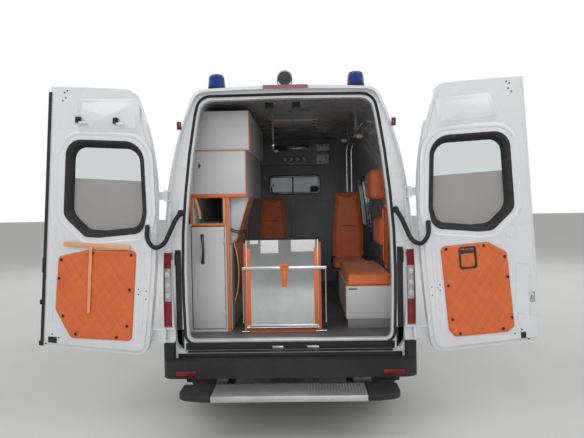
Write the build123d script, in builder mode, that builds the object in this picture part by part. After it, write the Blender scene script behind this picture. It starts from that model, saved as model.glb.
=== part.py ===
from build123d import *
import os
from math import cos, radians, sin, tan

os.makedirs("parts", exist_ok=True)

# A high-roof van ambulance. X points to the vehicle's right, Y forwards, Z up.
# The origin is on the ground, half way between the rear step and the nose.

# Body lengths and heights
y_rear = -2716           # outer face of the closed rear doors
y_nose = 3111            # foremost point of the front bumper
nose_round = 1.5         # taken off the nose by its rounding
z_sill = 400             # lower edge of the body sides
z_roof = 2600            # roof along the middle
z_floor = 670            # top of the load floor
floor_thick = 60
wall = 60                # side, roof and door panels with their lining
seam = 0.2               # between seated panels
door_gap = 7             # around every door that opens
groove = 5               # width and depth of the line round the sliding door
glass_thick = 6
glass_set = 3            # glass stands this far inside the outer skin
glass_lip = 12           # rebate that the glass is bonded into

# Body section, half of it, from low to high
low_z, low_x = 100, 908
belt_z, belt_x = 1000, 957
shoulder_z, shoulder_x = 1750, 912
gutter_z, gutter_x = 2450, 740
edge_z, edge_x = 2580, 690
roof_corner_r = 120
rear_corner_r = 35

# Wheels and axles
wheelbase = 3665
rear_axle_y = -1567
front_axle_y = rear_axle_y + wheelbase
tyre_r = 350
tyre_w = 225
rim_r = 203
rim_inner_r = 190
track_half = 835
arch_z = 390
front_arch_r = 432
rear_arch_r = 420
stub_r = 25
running_fit = 0.06       # radial play of pins and stub axles
kingpin_x = 745
kingpin_r = 15

# Rear doors, closed: hinge axis, outline and the opening behind them
hinge_x, hinge_z = 922, 1200   # where the axis crosses this height
hinge_tilt = 1.9               # degrees, leaning inwards at the top
hinge_reach = 40               # axis behind the door's outer face
rear_door_thick = 65
rear_open_angle = 188          # as parked, from closed
rebate_gap = 8                 # closed door to the frame behind it
frame_depth = 145              # rear frame along the vehicle
opening_x = 777
opening_top = 2505

# Cab: bulkhead, door hinge line, windscreen
y_bulkhead = 690
bulkhead_thick = 30
y_pillar = 765                 # side panel ends, cab frame begins
cab_hinge_x, cab_hinge_y, cab_hinge_z = 1008, 1888, 1020
cab_hinge_tilt = 2.5
z_split = 2345                 # roof pressing to side pressing


def cross(y):
    # seen from behind: local x to the right, local y up, extrudes rearwards
    return Plane(origin=(0, y, 0), x_dir=(1, 0, 0), z_dir=(0, -1, 0))


def side(x):
    # seen from the right: local x forwards, local y up, extrudes to the right
    return Plane(origin=(x, 0, 0), x_dir=(0, 1, 0), z_dir=(1, 0, 0))


def level(z):
    return Plane.XY.offset(z)


def block(x, y, z, mode=Mode.ADD):
    # box between two x, two y and two z values, in the block being built
    with Locations((sum(x) / 2, sum(y) / 2, sum(z) / 2)):
        Box(abs(x[1] - x[0]), abs(y[1] - y[0]), abs(z[1] - z[0]), mode=mode)


def region(x, y, z):
    with BuildPart() as made:
        block(x, y, z)
    return made.part


def side_prism(outline, radius, grow=0, x=(-1100, 1100)):
    # outline in (y, z), cut right through the vehicle or between two x
    with BuildPart() as made:
        with BuildSketch(side(x[0])):
            with BuildLine():
                FilletPolyline(*outline, radius=radius, close=True)
            make_face()
            if grow:
                offset(amount=grow)
        extrude(amount=x[1] - x[0])
    return made.part


def cross_prism(outline, radius, grow=0, y=(-3000, 3300)):
    # outline in (x, z), cut along the vehicle between two y
    with BuildPart() as made:
        with BuildSketch(cross(y[1])):
            with BuildLine():
                FilletPolyline(*outline, radius=radius, close=True)
            make_face()
            if grow:
                offset(amount=grow)
        extrude(amount=y[1] - y[0])
    return made.part


def plan_prism(outline, radius, grow=0, z=(0, 2700)):
    # outline in (x, y), cut upwards between two z
    with BuildPart() as made:
        with BuildSketch(level(z[0])):
            with BuildLine():
                FilletPolyline(*outline, radius=radius, close=True)
            make_face()
            if grow:
                offset(amount=grow)
        extrude(amount=z[1] - z[0])
    return made.part


def rod(start, end, radius):
    # plain round bar from one point to another
    axis = Vector(*end) - Vector(*start)
    with BuildPart() as made:
        with BuildSketch(Plane(origin=start, z_dir=axis)):
            Circle(radius)
        extrude(amount=axis.length)
    return made.part


def tube(points, radius, bend):
    # round bar along straight runs joined by tangent arcs
    with BuildPart() as made:
        with BuildLine() as path:
            FilletPolyline(*points, radius=bend)
        with BuildSketch(Plane(origin=path.line @ 0, z_dir=path.line % 0)):
            Circle(radius)
        sweep()
    return made.part


# Outer form of the body

front_axis_y = -1000           # the nose and windscreen curve about this line
nose_profile = [(-300, z_roof + 1), (1900, z_roof + 1), (2640, 2250), (3330, 1400), (4010, 1075),
                (4095, 820), (y_nose + nose_round - front_axis_y, 600), (4070, low_z), (-300, low_z)]
nose_radii = [0, 900, 500, 150, 160, 400, 500, 0, 0]
plan_side_x = belt_x
plan_corner = (868, 3010)
plan_corner_r = 280


def body_section(inset):
    with BuildSketch(cross(3300)) as made:
        with BuildLine():
            lower = ThreePointArc((low_x, low_z), (belt_x, belt_z), (shoulder_x, shoulder_z))
            upper = TangentArc((shoulder_x, shoulder_z), (gutter_x, gutter_z), tangent=lower % 1)
            Line(upper @ 1, (edge_x, edge_z))
            ThreePointArc((edge_x, edge_z), (edge_x / 2, z_roof - 5), (0, z_roof))
            Line((0, z_roof), (0, low_z))
            Line((0, low_z), (low_x, low_z))
        make_face()
        corner = made.vertices().filter_by(lambda v: abs(v.Y - edge_z) < 1 and abs(v.X - edge_x) < 1)
        fillet(corner, roof_corner_r)
        mirror(about=Plane.YZ)
        if inset:
            offset(amount=-inset)
    return made.sketch


def plan_outline(inset):
    with BuildSketch(level(0)) as made:
        with BuildLine():
            Line((0, -3200), (plan_side_x, -3200))
            Line((plan_side_x, -3200), (plan_side_x, 1500))
            bow = TangentArc((plan_side_x, 1500), (plan_corner[0] + 5, plan_corner[1] - 250), tangent=(0, 1))
            Line(bow @ 1, plan_corner)
            Line(plan_corner, (0, 3160))
            Line((0, 3160), (0, -3200))
        make_face()
        corner = made.vertices().filter_by(lambda v: abs(v.Y - plan_corner[1]) < 1)
        fillet(corner, plan_corner_r)
        mirror(about=Plane.YZ)
        if inset:
            offset(amount=-inset)
    return made.sketch


def nose_section(inset):
    with BuildSketch(Plane(origin=(0, front_axis_y, 0), x_dir=(0, 1, 0), z_dir=(1, 0, 0))) as made:
        with BuildLine():
            Line(nose_profile[-1], nose_profile[0])
            FilletPolyline(*nose_profile[:8], radius=nose_radii[1:7])
            Line(nose_profile[7], nose_profile[8])
        make_face()
        if inset:
            offset(amount=-inset)
        with Locations((2500, 1400)):
            Rectangle(5000, 3000, mode=Mode.INTERSECT)
    return made.sketch


def envelope(inset):
    # everything inside the skin, set inwards by the inset
    back = y_rear if inset == 0 else y_rear - 100
    with BuildPart() as form:
        extrude(body_section(inset), amount=3300 - back)
        if inset == 0:
            rim = form.faces().sort_by(Axis.Y)[0].edges().filter_by(lambda e: e.center().Z > low_z + 1)
            fillet(rim, rear_corner_r)
        extrude(plan_outline(inset), amount=2800, mode=Mode.INTERSECT)
        revolve(nose_section(inset), axis=Axis((0, front_axis_y, 0), (0, 0, 1)), mode=Mode.INTERSECT)
    return form.part


wing_thick = 24                # wings, bonnet, grille and lamps
cladding_proud = 8

skin = envelope(0)
lining = envelope(wall)
fitted = envelope(wall + seam)             # what is fixed inside the lining
wing_back = envelope(wing_thick)
apron_face = envelope(wing_thick + seam)
glass_face = envelope(glass_set)
glass_back = envelope(glass_set + glass_thick)
glass_seat = envelope(glass_set + glass_thick + seam)
groove_floor = envelope(groove)
cladding_face = envelope(-cladding_proud)

with BuildPart() as shell:                 # full thickness, all round
    add(skin)
    add(lining, mode=Mode.SUBTRACT)

with BuildPart() as front_layer:           # outer sheet of the nose
    add(skin)
    add(wing_back, mode=Mode.SUBTRACT)

with BuildPart() as glass_layer:
    add(glass_face)
    add(glass_back, mode=Mode.SUBTRACT)

with BuildPart() as glass_rebate:
    add(skin)
    add(glass_seat, mode=Mode.SUBTRACT)


def wheel_cut(y, radius, x=(-1100, 1100)):
    with BuildPart() as made:
        with BuildSketch(side(x[0])):
            with Locations((y, arch_z)):
                Circle(radius)
        extrude(amount=x[1] - x[0])
    return made.part


def save(node, label):
    node.part.label = label
    export_step(node.part, f"parts/{label}.step")


# Outlines of doors and windows, seen from the side (y, z)

sliding_outline = [(-560, 470), (-560, 2290), (y_bulkhead, 2290), (y_bulkhead, 470)]
window_outline = [(-450, 1420), (-450, 1990), (600, 1990), (600, 1420)]
cab_door_outline = [(772, 480), (772, 2110), (1500, 2110), (1880, 1643), (1880, 900), (1690, 700),
                    (1585, 480)]
cab_door_radii = [60, 60, 90, 90, 60, 120, 60]
cab_window_outline = [(850, 1370), (850, 2035), (1462, 2035), (1800, 1620), (1800, 1300), (1400, 1300),
                      (1250, 1370)]
cab_window_radii = [50, 50, 70, 70, 50, 60, 60]
sliding_radius, window_radius = 70, 80

# Outlines of the nose, from the front (x, z) and from above (x, y)

windscreen_outline = [(-840, 1425), (-715, 2215), (715, 2215), (840, 1425)]
windscreen_radius = 90
scuttle_front = 2370
bonnet_rear = scuttle_front + door_gap
bonnet_outline = [(-800, bonnet_rear), (800, bonnet_rear), (710, 2980), (-710, 2980)]
bonnet_radii = [30, 30, 90, 90]
wing_start, wing_top = 1600, 1440
bumper_top, bumper_start, bumper_low = 740, 2360, 250
grille_x = 545
headlamp_outline = [(565, 775), (565, 960), (640, 1050), (880, 1120), (900, 1040), (820, 800)]
headlamp_radii = [30, 60, 60, 25, 60, 60]

cab_doors_cut = side_prism(cab_door_outline, cab_door_radii, door_gap)
screen_hole = cross_prism(windscreen_outline, windscreen_radius, 0, (1200, 3300))
screen_lip = cross_prism(windscreen_outline, windscreen_radius, glass_lip, (1200, 3300))
bonnet_cut = plan_prism(bonnet_outline, bonnet_radii, door_gap, (900, 1500))
scuttle_zone = region((-800, 800), (2000, scuttle_front), (1000, wing_top))
front_arch = wheel_cut(front_axle_y, front_arch_r)
rear_arch = wheel_cut(rear_axle_y, rear_arch_r)


headlamp_cut = cross_prism(headlamp_outline, headlamp_radii, seam, (2500, 3300))

# Load space: floor, sides, roof

y_frame = y_rear + frame_depth           # rear frame ends, side panels begin
wheelbox_inner = 645
wheelbox_wall = 8
wheelbox_top = 880
wheelbox_half = 443
mat_x, mat_y, mat_thick = (-330, 210), (-2330, 150), 3      # raised mat where a stretcher stands
toe_rear = [(1540, z_floor), (1880, 905), (2130, 1340)]
toe_front = [(2172, 1340), (1915, 868), (1595, z_floor - floor_thick)]
front_liner_x = 510
arch_low = 625                 # inner arches are open below this

with BuildPart() as load_floor:
    with BuildSketch(side(-1000)):
        with BuildLine():
            Polyline((y_frame, z_floor - floor_thick), (y_frame, z_floor), *toe_rear, *toe_front, close=True)
        make_face()
    extrude(amount=2000)
    for hand in (-1, 1):
        # raised boxes over the rear wheels
        block((hand * wheelbox_inner, hand * 1000), (rear_axle_y - wheelbox_half, rear_axle_y + wheelbox_half),
              (z_floor - floor_thick, wheelbox_top))
        block((hand * (wheelbox_inner + wheelbox_wall), hand * 1000),
              (rear_axle_y - wheelbox_half + wheelbox_wall, rear_axle_y + wheelbox_half - wheelbox_wall),
              (0, wheelbox_top - wheelbox_wall), mode=Mode.SUBTRACT)
    add(fitted, mode=Mode.INTERSECT)
    block(mat_x, mat_y, (z_floor, z_floor + mat_thick))

with BuildPart() as right_arch:            # inner arch over a front wheel
    with BuildSketch(side(front_liner_x - wheelbox_wall)):
        with Locations((front_axle_y, arch_z)):
            Circle(front_arch_r + wheelbox_wall)
        with Locations((front_axle_y, arch_low / 2)):
            Rectangle(3 * front_arch_r, arch_low, mode=Mode.SUBTRACT)
    extrude(amount=900 - front_liner_x)
    add(wheel_cut(front_axle_y, front_arch_r, (front_liner_x, 1100)), mode=Mode.SUBTRACT)
    add(fitted, mode=Mode.INTERSECT)

with BuildPart() as floor:
    add(load_floor.part)
    add(right_arch.part)
    mirror(right_arch.part, about=Plane.YZ)
save(floor, "floor")

right_side = region((0, 1100), (y_frame, y_pillar), (z_sill, z_split))
left_side = region((-1100, 0), (y_frame, y_pillar), (z_sill, z_split))
left_window = side_prism(window_outline, window_radius, 0, (-1100, 0))
right_window = side_prism(window_outline, window_radius, 0, (0, 1100))
left_lip = side_prism(window_outline, window_radius, glass_lip, (-1100, 0))
right_lip = side_prism(window_outline, window_radius, glass_lip, (0, 1100))
left_pane = side_prism(window_outline, window_radius, glass_lip - seam, (-1100, 0))
right_pane = side_prism(window_outline, window_radius, glass_lip - seam, (0, 1100))


def sunk(lip):
    # rebate for a pane, within its lip
    with BuildPart() as made:
        add(glass_rebate.part)
        add(lip, mode=Mode.INTERSECT)
    return made.part


def pane(outline):
    with BuildPart() as made:
        add(glass_layer.part)
        add(outline, mode=Mode.INTERSECT)
    return made.part


with BuildPart() as side_left:
    add(shell.part)
    add(left_side, mode=Mode.INTERSECT)
    add(rear_arch, mode=Mode.SUBTRACT)
    add(left_window, mode=Mode.SUBTRACT)
    add(sunk(left_lip), mode=Mode.SUBTRACT)
save(side_left, "side_left")

with BuildPart() as sliding_line:          # shallow line round the sliding door
    add(skin)
    add(groove_floor, mode=Mode.SUBTRACT)
    add(side_prism(sliding_outline, sliding_radius, groove, (0, 1100)), mode=Mode.INTERSECT)

with BuildPart() as side_right:
    add(shell.part)
    add(right_side, mode=Mode.INTERSECT)
    add(rear_arch, mode=Mode.SUBTRACT)
    add(side_prism(sliding_outline, sliding_radius, seam, (0, 1100)), mode=Mode.SUBTRACT)
    add(sliding_line.part, mode=Mode.SUBTRACT)
save(side_right, "side_right")

with BuildPart() as sliding_door:
    add(shell.part)
    add(side_prism(sliding_outline, sliding_radius, 0, (0, 1100)), mode=Mode.INTERSECT)
    add(right_window, mode=Mode.SUBTRACT)
    add(sunk(right_lip), mode=Mode.SUBTRACT)
save(sliding_door, "sliding_door")

with BuildPart() as roof:
    add(shell.part)
    add(region((-1100, 1100), (y_frame, 3300), (z_split, 2700)), mode=Mode.INTERSECT)
save(roof, "roof")

# Rear frame with the door rebate

rear_door_low = 600
rear_door_bottom_x = 848
lamp_low, lamp_high, lamp_inner = 793, 1356, 885
lamp_depth = 70
brake_lamp_x, brake_lamp_z = 167, (2569, 2595)
brake_lamp_y = (y_rear - 14, y_rear + 12)
corner_top, corner_x = 680, 861


def door_outline(y, grow=0, inner=0):
    # from the inner edge outwards, or both closed doors when that is 0
    with BuildSketch(cross(y)) as made:
        with BuildLine():
            Line((inner, rear_door_low), (rear_door_bottom_x, rear_door_low))
            lower = ThreePointArc((rear_door_bottom_x, rear_door_low), (878, 1300), (868, shoulder_z))
            upper = TangentArc((868, shoulder_z), (705, gutter_z), tangent=lower % 1)
            Line(upper @ 1, (662, 2548))
            top = ThreePointArc((662, 2548), (331, 2559), (inner, 2562))
            Line(top @ 1, (inner, rear_door_low))
        make_face()
        low = made.vertices().filter_by(lambda v: v.X > 700 and v.Y < rear_door_low + 1)
        fillet(low, 95)
        high = made.vertices().filter_by(lambda v: abs(v.X - 662) < 1)
        fillet(high, 95)
        if inner == 0:
            mirror(about=Plane.YZ)
        if grow:
            offset(amount=grow)
    return made.sketch


def opening(y):
    with BuildSketch(cross(y)) as made:
        with BuildLine():
            Line((0, z_floor), (opening_x, z_floor))
            lower = ThreePointArc((opening_x, z_floor), (788, 1200), (754, 1800))
            upper = TangentArc((754, 1800), (672, 2380), tangent=lower % 1)
            Line(upper @ 1, (640, opening_top))
            Line((640, opening_top), (0, opening_top + 6))
            Line((0, opening_top + 6), (0, z_floor))
        make_face()
        low = made.vertices().filter_by(lambda v: v.X > 700 and v.Y < z_floor + 1)
        fillet(low, 50)
        high = made.vertices().filter_by(lambda v: abs(v.X - 640) < 1)
        fillet(high, 105)
        mirror(about=Plane.YZ)
    return made.sketch


y_rebate = y_rear + rear_door_thick + rebate_gap
with BuildPart() as rear_frame:
    add(skin)
    add(region((-1100, 1100), (y_rear - 10, y_frame), (480, 2700)), mode=Mode.INTERSECT)
    extrude(door_outline(y_rebate, door_gap), amount=200, mode=Mode.SUBTRACT)
    extrude(opening(y_frame + 10), amount=400, mode=Mode.SUBTRACT)
    for hand in (-1, 1):
        block((hand * lamp_inner, hand * 1100), (y_rear - 100, y_rear + lamp_depth), (lamp_low, lamp_high),
              mode=Mode.SUBTRACT)
        block((hand * corner_x, hand * 1100), (y_rear - 100, y_frame), (0, corner_top), mode=Mode.SUBTRACT)
    block((-brake_lamp_x - seam, brake_lamp_x + seam), (brake_lamp_y[0], brake_lamp_y[1] + seam),
          (brake_lamp_z[0] - seam, 2700), mode=Mode.SUBTRACT)
save(rear_frame, "rear_frame")

with BuildPart() as tail_lamps:
    add(skin)
    with BuildSketch(level(lamp_low + seam)):
        for hand in (-1, 1):
            with Locations((hand * (lamp_inner + 60 + seam), y_rear + lamp_depth / 2)):
                Rectangle(120, lamp_depth - 2 * seam)
    extrude(amount=lamp_high - lamp_low - 2 * seam, mode=Mode.INTERSECT)
    block((-brake_lamp_x, brake_lamp_x), brake_lamp_y, brake_lamp_z)

# Cab: frame, wings, scuttle, bonnet, glass, nose

bonnet_pivot = (2300, 1363)
bonnet_arm_x, bonnet_arm_w = 640, 12
bonnet_pin_r, bonnet_eye_r = 5, 11
slot_w = 40
slot_rear = bonnet_pivot[0] - bonnet_eye_r - 6
bonnet_arm = [(2300, 1373), (2378, 1337), (2432, 1311), (2432, 1290), (2375, 1303), (2298, 1352.5)]
bonnet_edge, bonnet_edge_y = 6, 2850   # thin leading edge, clear of the grille as it rises

apron_x = 790
with BuildPart() as apron:                 # inner sheet that carries the wings
    add(apron_face)
    add(lining, mode=Mode.SUBTRACT)
    add(region((-1100, 1100), (wing_start, 2700), (480, wing_top)), mode=Mode.INTERSECT)
    block((-apron_x, apron_x), (scuttle_front, 2800), (0, 2000), mode=Mode.SUBTRACT)
    block((-1100, 1100), (bumper_start, 2800), (0, bumper_top), mode=Mode.SUBTRACT)
    add(front_arch, mode=Mode.SUBTRACT)

with BuildPart() as cab_frame:
    add(shell.part)
    add(region((-1100, 1100), (y_pillar, 3300), (z_sill, z_split)), mode=Mode.INTERSECT)
    block((-1100, 1100), (wing_start, 3300), (0, wing_top), mode=Mode.SUBTRACT)
    add(apron.part)
    add(cab_doors_cut, mode=Mode.SUBTRACT)
    add(screen_hole, mode=Mode.SUBTRACT)
    add(sunk(screen_lip), mode=Mode.SUBTRACT)
    for hand in (-1, 1):
        # room for the bonnet's hinges
        block((hand * bonnet_arm_x - slot_w / 2 - 10, hand * bonnet_arm_x + slot_w / 2 + 10),
              (slot_rear - 3, scuttle_front + 1), (1000, wing_top), mode=Mode.SUBTRACT)
save(cab_frame, "cab_frame")

cab_hinge_heights = (930, 1325)
cab_eye_r, cab_pin_r = 11, 6
cab_eye_long, cab_lug = 60, 12


def cab_plane(z, shift=0):
    # square to the cab door's axis at this height
    tilt = radians(cab_hinge_tilt)
    x = cab_hinge_x - (z - cab_hinge_z) * tan(tilt)
    return Plane(origin=(x - shift * sin(tilt), cab_hinge_y, z + shift * cos(tilt)),
                 x_dir=(cos(tilt), 0, sin(tilt)), z_dir=(-sin(tilt), 0, cos(tilt)))


def cab_bracket(z):
    # two lugs ahead of the axis, with the pin between them
    with BuildPart() as made:
        for shift in (-cab_lug - 1, cab_eye_long + 1):
            with BuildSketch(cab_plane(z, shift)):
                Circle(cab_eye_r)
                with Locations((-45, 17)):
                    Rectangle(90, 18)
                with Locations((-2, 11)):
                    Rectangle(14, 22)
            extrude(amount=cab_lug)
        with BuildSketch(cab_plane(z, -cab_lug - 1)):
            Circle(cab_pin_r)
        extrude(amount=cab_eye_long + 2 * cab_lug + 2)
    return made.part


with BuildPart() as front_wings:
    add(skin)
    add(headlamp_cut, mode=Mode.SUBTRACT)
    mirror(headlamp_cut, about=Plane.YZ, mode=Mode.SUBTRACT)
    add(region((-1100, 1100), (wing_start, 3300), (z_sill, wing_top)), mode=Mode.INTERSECT)
    add(cab_doors_cut, mode=Mode.SUBTRACT)
    add(front_arch, mode=Mode.SUBTRACT)
    block((-1100, 1100), (bumper_start, 3300), (0, bumper_top), mode=Mode.SUBTRACT)
    add(screen_lip, mode=Mode.SUBTRACT)
    add(region((-800 - seam, 800 + seam), (2000, scuttle_front), (1000, wing_top)), mode=Mode.SUBTRACT)
    add(bonnet_cut, mode=Mode.SUBTRACT)
    block((-grille_x - seam, grille_x + seam), (2500, 3300), (0, 1200), mode=Mode.SUBTRACT)
    for z in cab_hinge_heights:
        add(cab_bracket(z))
        mirror(cab_bracket(z), about=Plane.YZ)
    add(wing_back, mode=Mode.SUBTRACT)
save(front_wings, "front_wings")

with BuildPart() as scuttle:
    add(front_layer.part)
    add(scuttle_zone, mode=Mode.INTERSECT)
    add(screen_lip, mode=Mode.SUBTRACT)
    for hand in (-1, 1):
        # slot for the bonnet's arm, with the pin across it
        x = hand * bonnet_arm_x
        block((x - slot_w / 2, x + slot_w / 2), (slot_rear, scuttle_front + 1), (1000, wing_top), mode=Mode.SUBTRACT)
        add(rod((x - slot_w / 2 - 8, *bonnet_pivot), (x + slot_w / 2 + 8, *bonnet_pivot), bonnet_pin_r))
save(scuttle, "scuttle")

with BuildPart() as bonnet_under:
    add(envelope(bonnet_edge))
    add(region((-1000, 1000), (bonnet_edge_y, 3300), (900, 1500)), mode=Mode.INTERSECT)

with BuildPart() as bonnet:
    add(front_layer.part)
    add(plan_prism(bonnet_outline, bonnet_radii, 0, (900, 1500)), mode=Mode.INTERSECT)
    add(bonnet_under.part, mode=Mode.SUBTRACT)
    for hand in (-1, 1):
        with BuildSketch(side(hand * bonnet_arm_x - bonnet_arm_w / 2)):
            with BuildLine():
                Polyline(*bonnet_arm, close=True)
            make_face()
            with Locations(bonnet_pivot):
                Circle(bonnet_eye_r)
                Circle(bonnet_pin_r + running_fit, mode=Mode.SUBTRACT)
        extrude(amount=bonnet_arm_w)
save(bonnet, "bonnet")

with BuildPart() as headlamps:
    add(skin)
    add(cross_prism(headlamp_outline, headlamp_radii, 0, (2500, 3300)), mode=Mode.INTERSECT)
    add(bonnet_cut, mode=Mode.SUBTRACT)
    add(wing_back, mode=Mode.SUBTRACT)
    mirror(about=Plane.YZ)

with BuildPart() as lamps:
    add(headlamps.part)
    add(tail_lamps.part)
save(lamps, "lamps")

with BuildPart() as grille:
    add(front_layer.part)
    add(region((-grille_x, grille_x), (2600, 3300), (bumper_top, 1200)), mode=Mode.INTERSECT)
    add(bonnet_cut, mode=Mode.SUBTRACT)

with BuildPart() as front_bumper:
    add(shell.part)
    add(region((-1100, 1100), (bumper_start, 3300), (bumper_low, bumper_top)), mode=Mode.INTERSECT)
    add(front_arch, mode=Mode.SUBTRACT)
    add(grille.part)
save(front_bumper, "front_bumper")

cab_screen = (644, 216, 1950)              # window in the bulkhead: width, height, middle
with BuildPart() as body_glass:
    add(pane(left_pane))
    add(pane(right_pane))
    add(pane(cross_prism(windscreen_outline, windscreen_radius, glass_lip - seam, (1200, 3300))))
    with BuildSketch(cross(y_bulkhead + (bulkhead_thick + glass_thick) / 2)):
        with Locations((0, cab_screen[2])):
            RectangleRounded(cab_screen[0] - 2 * seam, cab_screen[1] - 2 * seam, 30)
    extrude(amount=glass_thick)
save(body_glass, "body_glass")

# Rear doors: made closed on the right, swung open, mirrored

def hinge_point(z):
    return (hinge_x - (z - hinge_z) * tan(radians(hinge_tilt)), y_rear - hinge_reach, z)


rear_axis = Axis(hinge_point(hinge_z), (-sin(radians(hinge_tilt)), 0, cos(radians(hinge_tilt))))
rear_window = [(155, 2164), (745, 2164), (795, 1650), (775, 1510), (430, 1458), (330, 1458), (155, 1600)]
rear_window_radii = [110, 150, 120, 90, 60, 60, 90]
door_rim = 30                    # outer flange of the inner face
door_rim_depth = 14
rear_hinges = [(740, 110, 90), (1784, 85, 42)]   # height, length, door edge from the axis
hinge_pin_r = 8
hinge_eye_r = 15
hinge_lug = 12
arm_thick = 14
plate_thick = 6
plate_gap = 18                   # from the hinge axis to the bracket's base plate


def hinge_plane(z, shift=0):
    # square to the hinge axis, local x to the right, local y forwards
    tilt = radians(hinge_tilt)
    x, y, z = hinge_point(z)
    return Plane(origin=(x - shift * sin(tilt), y, z + shift * cos(tilt)), x_dir=(cos(tilt), 0, sin(tilt)),
                 z_dir=(-sin(tilt), 0, cos(tilt)))


def hinge_arm(z, length, edge):
    # goose-neck from the pin to the door's outer face
    reach = edge + 110
    with BuildPart() as made:
        with BuildSketch(hinge_plane(z, -(length / 2 - hinge_lug - 1))):
            Circle(hinge_eye_r)
            with BuildLine():
                Polyline((0, -hinge_eye_r + 2), (-edge - 10, -hinge_eye_r + 2),
                         (-edge - 26, hinge_reach - arm_thick),
                         (-reach, hinge_reach - arm_thick), (-reach, hinge_reach), (-edge - 6, hinge_reach),
                         (-edge - 6, hinge_eye_r - 1), (0, hinge_eye_r - 1), close=True)
            make_face()
            Circle(hinge_pin_r + running_fit, mode=Mode.SUBTRACT)
        extrude(amount=length - 2 * (hinge_lug + 1))
    return made.part


def hinge_bracket(z, length, edge):
    # plate on the corner pillar with two lugs and the pin
    with BuildPart() as made:
        with BuildSketch(hinge_plane(z, -length / 2)):
            Circle(hinge_eye_r)
            with Locations(((16 - edge) / 2 + 2, hinge_reach / 2)):
                Rectangle(edge - 8, hinge_reach)
        extrude(amount=hinge_lug)
        with BuildSketch(hinge_plane(z, length / 2 - hinge_lug)):
            Circle(hinge_eye_r)
            with Locations(((16 - edge) / 2 + 2, hinge_reach / 2)):
                Rectangle(edge - 8, hinge_reach)
        extrude(amount=hinge_lug)
        with BuildSketch(hinge_plane(z, -length / 2)):
            Circle(hinge_pin_r)
            # base plate, short of the pin so that the arm can swing past it
            with Locations((14 - edge, hinge_reach - plate_thick)):
                Rectangle(edge - 14 - plate_gap, plate_thick, align=(Align.MIN, Align.MIN))
        extrude(amount=length)
    return made.part


rear_door_inner = 3              # half the gap between the closed doors
y_door_face = y_rear + rear_door_thick

with BuildPart() as closed_door:
    extrude(door_outline(y_door_face, 0, rear_door_inner), amount=rear_door_thick)
    # the inner face stands inside a thinner rim
    extrude(door_outline(y_door_face, 0, rear_door_inner), amount=door_rim_depth, mode=Mode.SUBTRACT)
    extrude(door_outline(y_door_face, -door_rim, rear_door_inner), amount=door_rim_depth)
    with BuildSketch(cross(y_door_face + 10)):
        with BuildLine():
            FilletPolyline(*rear_window, radius=rear_window_radii, close=True)
        make_face()
    extrude(amount=rear_door_thick + 20, mode=Mode.SUBTRACT)
    with BuildSketch(cross(y_rear + glass_set + glass_thick + seam)):
        with BuildLine():
            FilletPolyline(*rear_window, radius=rear_window_radii, close=True)
        make_face()
        offset(amount=glass_lip)
    extrude(amount=20, mode=Mode.SUBTRACT)
    for z, length, edge in rear_hinges:
        add(hinge_arm(z, length, edge))

with BuildPart() as closed_pane:
    with BuildSketch(cross(y_rear + glass_set + glass_thick)):
        with BuildLine():
            FilletPolyline(*rear_window, radius=rear_window_radii, close=True)
        make_face()
        offset(amount=glass_lip - seam)
    extrude(amount=glass_thick)

with BuildPart() as rear_door_right:
    add(closed_door.part.rotate(rear_axis, rear_open_angle))
save(rear_door_right, "rear_door_right")

with BuildPart() as rear_door_left:
    mirror(rear_door_right.part, about=Plane.YZ)
save(rear_door_left, "rear_door_left")

with BuildPart() as rear_glass_right:
    add(closed_pane.part.rotate(rear_axis, rear_open_angle))
save(rear_glass_right, "rear_glass_right")

with BuildPart() as rear_glass_left:
    mirror(rear_glass_right.part, about=Plane.YZ)
save(rear_glass_left, "rear_glass_left")

with BuildPart() as hinge_brackets:
    for z, length, edge in rear_hinges:
        bracket = hinge_bracket(z, length, edge)
        add(bracket)
        mirror(bracket, about=Plane.YZ)
save(hinge_brackets, "hinge_brackets")

# Rear bumper and step

bumper_rear = y_rear - 105
bumper_z = (426, 556)
with BuildPart() as rear_bumper:
    with BuildSketch(level(bumper_z[0])):
        with BuildLine():
            FilletPolyline((-948, y_rear), (-948, bumper_rear), (948, bumper_rear), (948, y_rear),
                           radius=[0.1, 95, 95, 0.1], close=True)
        make_face()
    extrude(amount=bumper_z[1] - bumper_z[0])
    for hand in (-1, 1):
        with BuildSketch(level(bumper_z[0])):
            with BuildLine():
                FilletPolyline((hand * corner_x, y_rear), (hand * corner_x, y_rear - 72),
                               (hand * 946, y_rear - 72), (hand * 946, y_rear),
                               radius=[0.1, 20, 50, 0.1], close=True)
            make_face()
        extrude(amount=corner_top - seam - bumper_z[0])
save(rear_bumper, "rear_bumper")

step_top, step_thick = 388, 45
step_plate_x, step_end_x = 545, 783
step_rear, step_front = -3111, -2821
with BuildPart() as rear_step:
    with BuildSketch(level(step_top - step_thick)):
        with BuildLine():
            FilletPolyline((-step_end_x, step_front), (step_end_x, step_front), (step_end_x, step_rear + 40),
                           (step_plate_x + 60, step_rear), (-step_plate_x - 60, step_rear),
                           (-step_end_x, step_rear + 40), radius=[20, 20, 80, 80, 80, 80], close=True)
        make_face()
    extrude(amount=step_thick)
    for hand in (-1, 1):
        block((hand * 425, hand * 475), (step_front - 40, -2500), (step_top - step_thick, step_top - 8))
        block((hand * 425, hand * 475), (-2560, -2500), (step_top - 20, 500))
save(rear_step, "rear_step")

# Cab doors, closed: outer sheet to the gap, inner half set in at its edges

door_step = 14
door_sheet = 30
mirror_z = (1350, 1700)
sheet_back = envelope(door_sheet)

cab_window_hole = side_prism(cab_window_outline, cab_window_radii, 0, (500, 1100))
cab_window_lip = side_prism(cab_window_outline, cab_window_radii, glass_lip, (500, 1100))

with BuildPart() as cab_inner_half:
    add(sheet_back)
    add(side_prism(cab_door_outline, cab_door_radii, -door_step, (500, 1100)), mode=Mode.INTERSECT)
    add(lining, mode=Mode.SUBTRACT)

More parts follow.
